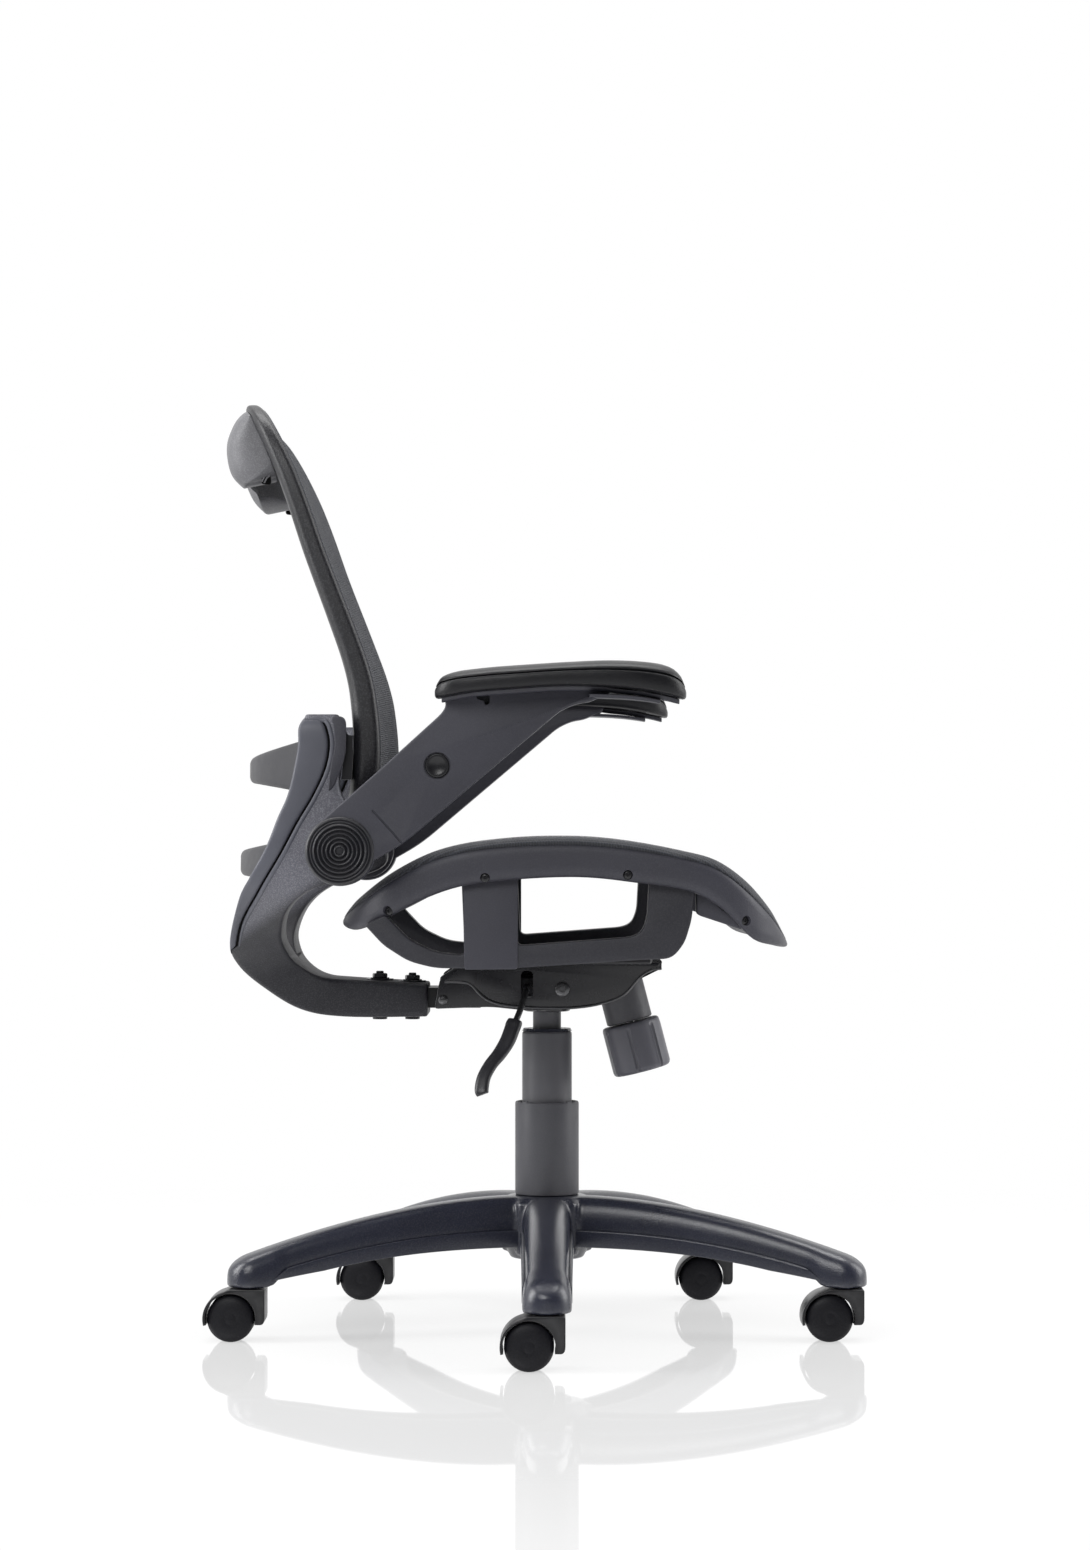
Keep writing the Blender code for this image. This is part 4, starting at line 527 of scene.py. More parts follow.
def effect(name: str, inputs: Sequence[tuple[str, float]], outputs: Sequence[str],
           build: Callable[[Nodes, dict], dict]) -> bpy.types.NodeTree:
    """Make a shader node group once.

    Args:
        name: The group's name.
        inputs: Names and default values of its inputs.
        outputs: Names of its outputs.
        build: Adds the nodes, from the input sockets by name, and gives a socket for each output name.

    Returns:
        The group.
    """
    if name in bpy.data.node_groups:
        return bpy.data.node_groups[name]
    tree = bpy.data.node_groups.new(name, "ShaderNodeTree")
    for label, value in inputs:
        socket = tree.interface.new_socket(label, in_out="INPUT", socket_type="NodeSocketFloat")
        socket.default_value = value
    for label in outputs:
        tree.interface.new_socket(label, in_out="OUTPUT", socket_type="NodeSocketFloat")
    nodes = Nodes(tree)
    start, end = nodes.add("NodeGroupInput"), nodes.add("NodeGroupOutput")
    made = build(nodes, {label: start.outputs[label] for label, _ in inputs})
    for label in outputs:
        tree.links.new(made[label], end.inputs[label])
    return tree


def moulded_grain() -> bpy.types.NodeTree:
    """The leathery grain and pale flecks of moulded plastic."""

    def build(nodes: Nodes, given: dict) -> dict:
        """Add the grain's nodes."""
        place = nodes.add("ShaderNodeTexCoord").outputs["Object"]
        scale = nodes.maths("DIVIDE", 1.0, given["Size"])
        cells = nodes.add("ShaderNodeTexVoronoi", {"feature": "SMOOTH_F1"}, Vector=place, Scale=scale)
        fine = nodes.add("ShaderNodeTexNoise", Vector=place, Scale=nodes.maths("MULTIPLY", scale, 1.7),
                         Detail=3.0)
        height = nodes.maths("ADD", cells.outputs["Distance"], fine.outputs["Fac"])
        spots = nodes.add("ShaderNodeTexNoise", Vector=place, Scale=scale, Detail=2.0)
        fleck = nodes.ranged(spots.outputs["Fac"], 0.44, 0.68)
        return {"Height": height, "Fleck": fleck}

    return effect("moulded_grain", [("Size", 0.001)], ["Height", "Fleck"], build)


def handling() -> bpy.types.NodeTree:
    """Faint clouds in the tone, polished patches and settled dust."""

    def build(nodes: Nodes, given: dict) -> dict:
        """Add the nodes of use and age."""
        place = nodes.add("ShaderNodeTexCoord").outputs["Object"]
        clouds = nodes.add("ShaderNodeTexNoise", Vector=place, Scale=11.0, Detail=4.0).outputs["Fac"]
        streaks = nodes.add("ShaderNodeTexNoise", Vector=place, Scale=70.0, Detail=3.0).outputs["Fac"]
        normal = nodes.add("ShaderNodeNewGeometry").outputs["Normal"]
        upward = nodes.ranged(nodes.add("ShaderNodeSeparateXYZ", Vector=normal).outputs["Z"], 0.35, 1.0)
        dust = nodes.maths("MULTIPLY", upward, nodes.maths("MULTIPLY", clouds, given["Dust"]))
        gloss = nodes.maths("MULTIPLY", nodes.maths("SUBTRACT", streaks, 0.5), given["Patches"])
        return {"Tone": nodes.ranged(clouds, 0.25, 0.75), "Dust": dust, "Gloss": gloss}

    return effect("handling", [("Dust", 0.1), ("Patches", 0.1)], ["Tone", "Dust", "Gloss"], build)


def edge_wear() -> bpy.types.NodeTree:
    """Edges a little paler than the faces: rubbed wear, and on the enamel also a painted highlight along its
    edges.
    """

    def build(nodes: Nodes, given: dict) -> dict:
        """Add the nodes that find the edges."""
        place = nodes.add("ShaderNodeTexCoord").outputs["Object"]
        bend = nodes.add("ShaderNodeNewGeometry").outputs["Pointiness"]
        rough = nodes.add("ShaderNodeTexNoise", Vector=place, Scale=120.0, Detail=2.0).outputs["Fac"]
        edge = nodes.ranged(bend, 0.515, 0.60)
        return {"Edge": nodes.maths("MULTIPLY", nodes.maths("MULTIPLY", edge, rough), given["Amount"])}

    return effect("edge_wear", [("Amount", 0.3)], ["Edge"], build)


def open_weave() -> bpy.types.NodeTree:
    """Oval openings in staggered rows, read from a UV map in metres."""

    def build(nodes: Nodes, given: dict) -> dict:
        """Add the weave's nodes."""
        place = nodes.add("ShaderNodeSeparateXYZ", Vector=nodes.add("ShaderNodeTexCoord").outputs["UV"])
        rows = nodes.maths("DIVIDE", place.outputs["Y"], given["Row"])
        shift = nodes.maths("MULTIPLY", nodes.maths("FLOORED_MODULO", nodes.maths("FLOOR", rows), 2.0), 0.5)
        columns = nodes.maths("ADD", nodes.maths("DIVIDE", place.outputs["X"], given["Column"]), shift)
        u = nodes.maths("SUBTRACT", nodes.maths("FRACT", columns), 0.5)
        v = nodes.maths("SUBTRACT", nodes.maths("FRACT", rows), 0.5)
        far = nodes.maths("ADD", nodes.maths("POWER", nodes.maths("DIVIDE", u, 0.36), 2.0),
                          nodes.maths("POWER", nodes.maths("DIVIDE", v, 0.33), 2.0))
        strand = nodes.ranged(far, 0.8, 1.05)
        ply = nodes.maths("SINE", nodes.maths("MULTIPLY", nodes.maths("ADD", columns, rows), 31.4))
        tone = nodes.maths("ADD", nodes.ranged(far, 0.9, 2.4), nodes.maths("MULTIPLY", ply, 0.12))
        return {"Strand": strand, "Height": nodes.ranged(far, 0.8, 1.9), "Tone": tone}

    return effect("open_weave", [("Column", 0.0026), ("Row", 0.0021)], ["Strand", "Height", "Tone"], build)


@dataclass(frozen=True)
class Finish:
    """A finish of the chair: its colour, gloss, grain and paler edges, which are wear and, on the enamel,
    also a painted edge highlight.
    """

    name: str
    colour: Colour
    roughness: float
    fleck_colour: Colour = (0.12, 0.12, 0.13)
    flecks: float = 0.0
    grain: float = 0.0009
    relief: float = 0.00006
    dust: float = 0.10
    # Paler edges: wear, and on the enamel also a painted edge highlight.
    wear: float = 0.35
    wear_colour: Colour = (0.12, 0.12, 0.125)
    patches: float = 0.16
    metallic: float = 0.0
    coat: float = 0.0
    specular: float = 0.5
    sheen: float = 0.0

    def material(self) -> bpy.types.Material:
        """The finish's material, made on first use."""
        if self.name in bpy.data.materials:
            return bpy.data.materials[self.name]
        material = bpy.data.materials.new(self.name)
        material.use_nodes = True
        nodes = Nodes(material.node_tree)
        shader = next(n for n in material.node_tree.nodes if n.type == "BSDF_PRINCIPLED")
        self.paint(nodes, shader)
        return material

    def clouded(self, nodes: Nodes, tone: bpy.types.NodeSocket, colour: Colour) -> bpy.types.NodeSocket:
        """A colour with faint clouds in it."""
        return nodes.blend(tone, (*(0.86 * c for c in colour), 1), (*(1.12 * c for c in colour), 1))

    def ground(self, nodes: Nodes, tone: bpy.types.NodeSocket) -> tuple:
        """The colour under the flecks, and how strong the flecks are."""
        return self.clouded(nodes, tone, self.colour), self.flecks

    def paint(self, nodes: Nodes, shader: bpy.types.Node) -> None:
        """Join the finish's effects to the shader.

        Args:
            nodes: The material's tree.
            shader: Its Principled shader.
        """
        grain = nodes.add("ShaderNodeGroup", {"node_tree": moulded_grain()}, Size=self.grain)
        use = nodes.add("ShaderNodeGroup", {"node_tree": handling()}, Dust=self.dust, Patches=self.patches)
        edge_node = nodes.add("ShaderNodeGroup", {"node_tree": edge_wear()}, Amount=self.wear)
        plain, flecks = self.ground(nodes, use.outputs["Tone"])
        fleck = nodes.maths("MULTIPLY", grain.outputs["Fleck"], flecks)
        flecked = nodes.blend(fleck, plain, (*self.fleck_colour, 1))
        # Paler edges: wear, and on the enamel also a painted edge highlight.
        worn_and_highlit = nodes.blend(edge_node.outputs["Edge"], flecked, (*self.wear_colour, 1))
        dusty = nodes.blend(use.outputs["Dust"], worn_and_highlit, (0.22, 0.21, 0.20, 1))
        nodes.tree.links.new(dusty, shader.inputs["Base Color"])
        rough = nodes.maths("ADD", use.outputs["Gloss"], self.roughness)
        nodes.tree.links.new(rough, shader.inputs["Roughness"])
        bump = nodes.add("ShaderNodeBump", Strength=0.6, Distance=self.relief, Height=grain.outputs["Height"])
        nodes.tree.links.new(bump.outputs["Normal"], shader.inputs["Normal"])
        shader.inputs["Metallic"].default_value = self.metallic
        shader.inputs["Coat Weight"].default_value = self.coat
        shader.inputs["Specular IOR Level"].default_value = self.specular
        shader.inputs["Sheen Weight"].default_value = self.sheen


@dataclass(frozen=True)
class TwoToneFinish(Finish):
    """A finish that is darker and plainer below a slanting line across X and Z, the darker colour being
    partly the part's own tone and partly painted shade.
    """

    low_colour: Colour = (0.02, 0.02, 0.02)
    line: tuple[Pair, Pair] = ((0.0, 0.0), (1.0, 0.0))
    soft: float = 0.010

    def ground(self, nodes: Nodes, tone: bpy.types.NodeSocket) -> tuple:
        """The two colours on either side of the line, the lower one with painted shade in it, and flecks
        above it.
        """
        place = nodes.add("ShaderNodeSeparateXYZ", Vector=nodes.add("ShaderNodeTexCoord").outputs["Object"])
        (x0, z0), (x1, z1) = self.line
        slope = (z1 - z0) / (x1 - x0)
        level = nodes.maths("MULTIPLY_ADD", place.outputs["X"], -slope, place.outputs["Z"])
        above = nodes.ranged(level, z0 - slope * x0 - self.soft, z0 - slope * x0 + self.soft)
        colour = nodes.blend(above, self.clouded(nodes, tone, self.low_colour),
                             self.clouded(nodes, tone, self.colour))
        return colour, nodes.maths("MULTIPLY_ADD", above, self.flecks * 0.85, self.flecks * 0.15)


@dataclass(frozen=True)
class WovenFinish(Finish):
    """A stretched open cloth, see-through between its strands."""

    column: float = 0.0026
    row: float = 0.0021

    def paint(self, nodes: Nodes, shader: bpy.types.Node) -> None:
        """Join the weave to the shader."""
        weave = nodes.add("ShaderNodeGroup", {"node_tree": open_weave()}, Column=self.column, Row=self.row)
        use = nodes.add("ShaderNodeGroup", {"node_tree": handling()}, Dust=self.dust, Patches=self.patches)
        strand = nodes.blend(weave.outputs["Tone"], (*(0.55 * c for c in self.colour), 1),
                             (*(1.5 * c for c in self.colour), 1))
        dusty = nodes.blend(use.outputs["Dust"], strand, (0.22, 0.21, 0.20, 1))
        nodes.tree.links.new(dusty, shader.inputs["Base Color"])
        rough = nodes.maths("ADD", use.outputs["Gloss"], self.roughness)
        nodes.tree.links.new(rough, shader.inputs["Roughness"])
        hem = nodes.add("ShaderNodeAttribute", {"attribute_name": "hem"}).outputs["Fac"]
        nodes.tree.links.new(nodes.maths("MAXIMUM", weave.outputs["Strand"], hem), shader.inputs["Alpha"])
        bump = nodes.add("ShaderNodeBump", Strength=0.8, Distance=0.0004, Height=weave.outputs["Height"])
        nodes.tree.links.new(bump.outputs["Normal"], shader.inputs["Normal"])
        shader.inputs["Sheen Weight"].default_value = self.sheen


# Below the line the shell is darker, partly in its own tone and partly as painted shade on the lower yoke.
SHELL = TwoToneFinish("speckled_shell", (0.098, 0.099, 0.120), 0.50, flecks=0.62,
                      fleck_colour=(0.24, 0.24, 0.27), grain=0.0011, relief=0.00020,
                      low_colour=(0.011, 0.011, 0.016), line=((-0.2890, 0.3995), (-0.2317, 0.4380)))
BACK = Finish("speckled_rail", (0.004, 0.004, 0.006), 0.42, flecks=0.36, fleck_colour=(0.060, 0.060, 0.070),
              grain=0.0013, relief=0.00022, wear=0.15)
# Paler than the rail it sits on: painted light standing in for the lamp light from the rear-left on the lip.
LIP_WITH_PAINTED_LIGHT = Finish("speckled_lip", (0.120, 0.120, 0.130), 0.52, flecks=0.40, fleck_colour=(0.25, 0.25, 0.26),
             grain=0.0011, relief=0.00014, wear=0.2)
FRAME = Finish("seat_frame_plastic", (0.031, 0.031, 0.043), 0.50, flecks=0.12, grain=0.0010, relief=0.00012)
BRACKET = Finish("bracket_plastic", (0.018, 0.018, 0.025), 0.48, flecks=0.10, grain=0.0010, relief=0.00010)
ARM = Finish("arm_plastic", (0.030, 0.030, 0.042), 0.48, flecks=0.08, relief=0.00008)
COVER = Finish("cover_plastic", (0.080, 0.083, 0.104), 0.46, flecks=0.10, relief=0.00006)
BAR = Finish("bar_plastic", (0.017, 0.017, 0.022), 0.48, flecks=0.08, relief=0.00006, wear=0.2)
PLUG = Finish("plug_plastic", (0.008, 0.008, 0.010), 0.24, relief=0.00001)
NYLON = Finish("base_nylon", (0.0165, 0.0185, 0.0320), 0.24, flecks=0.12, grain=0.0010, relief=0.00017,
               dust=0.06, wear=0.15, patches=0.06, specular=0.70)
HOOD = Finish("caster_nylon", (0.0075, 0.0075, 0.009), 0.32, relief=0.00005, dust=0.06, wear=0.25)
WHEEL = Finish("wheel_tread", (0.0036, 0.0036, 0.0062), 0.46, flecks=0.10, fleck_colour=(0.03, 0.03, 0.034),
               grain=0.0014, relief=0.00014, dust=0.06, wear=0.2, specular=0.28)
# Near-black matte fill set where only shade would show: painted shade in seams and slots.
SHADE_FILL = Finish("dark_gap", (0.003, 0.003, 0.003), 0.9, wear=0.0, dust=0.0, specular=0.1)
TUBE = Finish("satin_tube", (0.088, 0.088, 0.099), 0.50, flecks=0.10, grain=0.0010, relief=0.00004)
SLEEVE = Finish("sleeve_plastic", (0.060, 0.060, 0.070), 0.50, flecks=0.12, grain=0.0010, relief=0.00006)
# The enamel's pale edge colour is a painted highlight along its edges, on top of light wear.
ENAMEL = Finish("black_enamel", (0.008, 0.008, 0.011), 0.27, grain=0.0016, relief=0.00001, wear=0.22,
                wear_colour=(0.17, 0.17, 0.18), patches=0.04, coat=0.08)
PLATE = Finish("plain_enamel", (0.008, 0.008, 0.011), 0.30, relief=0.00001, wear=0.0, patches=0.04)
# Lighter than the black enamel of the same steel: a painted highlight line along the rolled edge.
ROLLED_EDGE_HIGHLIGHT = Finish("rolled_edge", (0.050, 0.050, 0.055), 0.30, relief=0.00001, coat=0.2)
STEEL = Finish("blacked_steel", (0.115, 0.115, 0.120), 0.26, metallic=0.85, relief=0.00001)
BRIGHT = Finish("bright_steel", (0.55, 0.55, 0.56), 0.25, metallic=1.0, relief=0.00001, wear=0.0)
KNOB = Finish("knob_plastic", (0.095, 0.095, 0.114), 0.42, relief=0.00005)
RUBBER = Finish("grip_rubber", (0.017, 0.017, 0.021), 0.34, grain=0.0008, relief=0.00005)
PAD = Finish("soft_pad_skin", (0.0048, 0.0048, 0.0066), 0.38, grain=0.0013, relief=0.00020, wear=0.05,
             dust=0.02, specular=0.34)
CLOTH = WovenFinish("stretched_mesh", (0.016, 0.018, 0.026), 0.62, dust=0.06, sheen=0.05)


# Sub-assemblies


@dataclass
class StarBase:
    """The moulded five-legged base."""

    legs: int = 5
    first: float = math.radians(270)
    reach: float = 0.327
    root: float = 0.0375
    stem_circle: float = 0.306
    nose: float = 0.0210
    tops: Pair = (0.134, 0.077)
    floors: Pair = (0.0845, 0.0525)
    halves: Pair = (0.0265, 0.0228)
    skirt_share: float = 0.35
    skirt_step: float = 0.0036
    skirt_wall: float = 0.0045
    skirt_ends: Pair = (0.272, 0.289)
    rib_circle: float = 0.0385

    def sizes(self, reach: float) -> tuple[float, float, float]:
        """The top, the floor and the half width of a leg at a distance from the column."""
        t = min(max((reach - self.root) / (self.reach - self.root), 0), 1)
        s = min(max((reach - self.root) / (self.stem_circle - 0.011 - self.root), 0), 1)
        return mix(*self.tops, t**1.8), mix(*self.floors, s**2.5), mix(*self.halves, t)

    def leg_ring(self, reach: float) -> list[Point]:
        """The domed section of a leg's body.

        Args:
            reach: Distance from the column.

        Returns:
            The section's ring, for a leg along +X.
        """
        top, floor, half = self.sizes(reach)
        blend = min(max((reach - self.skirt_ends[0]) / 0.014, 0), 1)
        low = mix(mix(floor, top, self.skirt_share) - 0.003, floor, blend)
        half = half - self.skirt_step * (1 - blend)
        past = max(reach - self.stem_circle, 0) / self.nose
        squeeze = math.sqrt(max(1 - past**2, 0))
        half, top = half * max(squeeze, 0.05), mix(low + 0.45 * (top - low), top, squeeze**0.8)
        ring = []
        for k in range(29):
            a = math.pi * k / 28
            c, s = math.cos(a), math.sin(a)
            ring.append((reach, -half * math.copysign(abs(c) ** 0.60, c), low + (top - low) * s**0.72))
        return ring

    def skirt_ring(self, reach: float, inner: float, slant: float) -> list[Point]:
        """The section of the wall under one edge of a leg.

        Args:
            reach: Distance from the column.
            inner: How far its inner face is from its outer one.
            slant: How far its foot runs on past its head.

        Returns:
            The section's ring, for a leg along +X.
        """
        top, floor, half = self.sizes(reach)
        high = mix(floor, top, self.skirt_share)
        corners = [(half, floor), (half, high), (half - inner, high), (half - inner, floor)]
        section = filleted(corners, [0.0011, 0.0022, 0.0011, 0.0011], 4)
        return [(reach + slant * (high - z) / (high - floor), y, z) for y, z in section]

    def build(self) -> None:
        """Model and dress the base."""
        spots = [mix(0.008, self.stem_circle, k / 44) for k in range(45)]
        spots += [self.stem_circle + self.nose * math.sin(math.pi / 2 * k / 9) for k in range(1, 9)]
        leg = lofted("leg", [self.leg_ring(r) for r in spots])
        ends = self.skirt_ends
        walls = lofted("leg_wall", [self.skirt_ring(mix(0.034, ends[0], k / 40), self.skirt_wall,
                                                    (ends[1] - ends[0]) * max(0, (k - 34) / 6))
                                    for k in range(41)])
        walls = joined([walls, mirrored(walls, "leg_wall_left")], "leg_walls")
        turns = [Matrix.Rotation(self.first + 2 * math.pi * k / self.legs, 4, "Z") for k in range(self.legs)]
        hub = turned("hub", [(0, 0.134), (0.036, 0.134), (0.0405, 0.1328), (0.042, 0.1295), (0.042, 0.084),
                             (0.0405, 0.080), (0.0370, 0.0725), (0.0355, 0.071), (0, 0.071)],
                     (0, 0, 0), (0, 0, 1))
        between = math.pi / self.legs
        rib = turned("rib", [(0, 0.076), (0.0085, 0.0765), (0.0092, 0.080), (0.0080, 0.128), (0, 0.131)],
                     (self.rib_circle * math.cos(between), self.rib_circle * math.sin(between), 0),
                     (0, 0, 1), count=20)
        star = joined([hub, *(twin(leg, f"leg_{k}", turn) for k, turn in enumerate(turns)),
                       *(twin(rib, f"rib_{k}", turn) for k, turn in enumerate(turns))], "star_body")
        welded(star, 0.0020, 8)
        skirts = joined([twin(walls, f"walls_{k}", turn) for k, turn in enumerate(turns)], "star_skirts")
        for spare in (leg, walls, rib):
            bpy.data.objects.remove(spare)
        dress(star, "base", NYLON, ["base_star"], angle=60)
        dress(skirts, "base", NYLON, ["base_star"])


@dataclass
class Casters:
    """Five hooded twin-wheel casters."""

    trail: float = 0.0165
    axle: float = 0.02305
    outer: float = 0.0270
    inner: float = 0.0244
    block: float = 0.0335
    crest: float = 0.0286
    drop: float = 0.0058
    tail: float = 194
    half: float = 0.0215
    stem: float = 0.0055

    def hood(self) -> Piece:
        """The hood with its web and stem, for a stem on the Z axis."""

        def shift(points: Sequence[Pair]) -> list[Pair]:
            """Move an outline drawn about the axle to its place."""
            return [(x - self.trail, z + self.axle) for x, z in points]

        nose = math.degrees(math.asin(-self.drop / self.inner))
        foot = self.inner * math.cos(math.radians(nose))
        outline = arc((0, 0), self.outer, self.tail, 104, 22)
        block = [outline[-1], (-0.002, self.crest), (self.block, self.crest), (self.block, -self.drop),
                 (foot, -self.drop)]
        outline += filleted(block, [1e-5, 0.004, 0.0022, 0.0070, 1e-5], 5)[6:-6]
        outline += arc((0, 0), self.inner, nose, self.tail, 30)
        arch = slab("hood_arch", shift(outline), -self.half, self.half, 0.0010, 3)
        web = slab("hood_web", shift(arc((0, 0), 0.0226, 0, 352, 45)), -0.0033, 0.0033, 0.0008)
        axle = turned("hood_axle", [(0.0038, -0.0195), (0.0038, 0.0195)], (-self.trail, 0, self.axle),
                      (0, 1, 0), count=24)
        stem = turned("hood_stem", [(0.0115, 0.0500), (0.0115, 0.0520), (0.0110, 0.0523), (self.stem, 0.0523),
                                    (self.stem, 0.066)], (0, 0, 0), (0, 0, 1), count=32)
        return joined([arch, web, axle, stem], "hood")

    def wheel(self) -> Piece:
        """A right-hand wheel with a domed face, for a stem on the Z axis."""
        profile = [(0.0042, 0.0044), (0.0212, 0.0044), (0.0226, 0.0050), (0.0231, 0.0062), (0.0231, 0.0136),
                   (0.0229, 0.0152), (0.0223, 0.0166), (0.0212, 0.0178), (0.0196, 0.0188), (0.0172, 0.0197),
                   (0.0140, 0.0204), (0.0100, 0.0209), (0.0062, 0.0211), (0.0056, 0.0209), (0.0050, 0.0211),
                   (0, 0.0212)]
        return turned("wheel", profile, (-self.trail, 0, self.axle), (0, -1, 0), count=72)

    def build(self, base: StarBase) -> None:
        """Model one caster and set a copy under each leg.

        Args:
            base: The base whose legs carry them.
        """
        hood, wheel = self.hood(), self.wheel()
        other = mirrored(wheel, "wheel_left")
        for k in range(base.legs):
            angle = base.first + 2 * math.pi * k / base.legs
            x, y = base.stem_circle * math.cos(angle), base.stem_circle * math.sin(angle)
            move = Matrix.Translation((x, y, 0))
            dress(twin(hood, f"hood_{k + 1}", move), f"caster_{k + 1}", HOOD,
                  [f"caster_hood_{k + 1}"])
            for side, model in ((Side.RIGHT, wheel), (Side.LEFT, other)):
                name = f"{k + 1}_{side.word}"
                dress(twin(model, f"wheel_{name}", move), f"wheel_{name}", WHEEL,
                      [f"caster_wheel_{name}"])
        for spare in (hood, wheel, other):
            bpy.data.objects.remove(spare)


@dataclass
class Column:
    """The gas lift: sleeve, tube and sliding cylinder."""

    tube: float = 0.0248
    tube_ends: Pair = (0.068, 0.297)
    cylinder: float = 0.014
    cylinder_ends: Pair = (0.153, 0.334)
    sleeve: float = 0.0318
    sleeve_ends: Pair = (0.1343, 0.2283)

    def build(self) -> None:
        """Model and dress the column."""
        r, (low, high) = self.tube, self.tube_ends
        profile = [(r - 0.002, low), (r - 0.0003, low + 0.002), (r, low + 0.004), (r, high - 0.0028),
                   (r - 0.0004, high - 0.0010), (r - 0.0014, high), (0.0156, high), (0.0156, low)]
        dress(turned("outer_tube", profile, (0, 0, 0), (0, 0, 1), looped=True), "base", TUBE,
              ["gas_tube"])
        r, (low, high) = self.cylinder, self.cylinder_ends
        profile = [(r - 0.001, low), (r, low + 0.001), (r, high - 0.0012), (r - 0.0012, high), (0.006, high),
                   (0.006, low)]
        dress(turned("slide", profile, (0, 0, 0), (0, 0, 1), looped=True), "lift", TUBE,
              ["gas_cylinder"])
        r, (low, high) = self.sleeve, self.sleeve_ends
        profile = [(r - 0.0014, low), (r - 0.0003, low + 0.0008), (r, low + 0.0022), (r, high - 0.0030),
                   (r - 0.0003, high - 0.0020), (r - 0.0009, high - 0.0013), (r - 0.0020, high - 0.0012),
                   (r - 0.0026, high - 0.0016), (r - 0.0030, high - 0.0040), (0.0252, high - 0.0042),
                   (0.0252, low)]
        dress(turned("sleeve", profile, (0, 0, 0), (0, 0, 1), looped=True, count=96), "base", SLEEVE,
              ["column_shroud"])
        tabs = []
        for k in range(4):
            turn = Matrix.Rotation(math.pi / 4 + math.pi / 2 * k, 4, "Z")
            tab = slab(f"tab_{k}", filleted([(r - 0.0028, high - 0.004), (r - 0.0002, high - 0.004),
                                             (r - 0.0003, high), (r - 0.0026, high)], 0.0006, 3),
                       -0.0032, 0.0032, 0.0006, 2)
            tabs.append(twin(tab, f"sleeve_tab_{k}", turn))
            bpy.data.objects.remove(tab)
        dress(joined(tabs, "sleeve_tabs"), "base", SLEEVE)


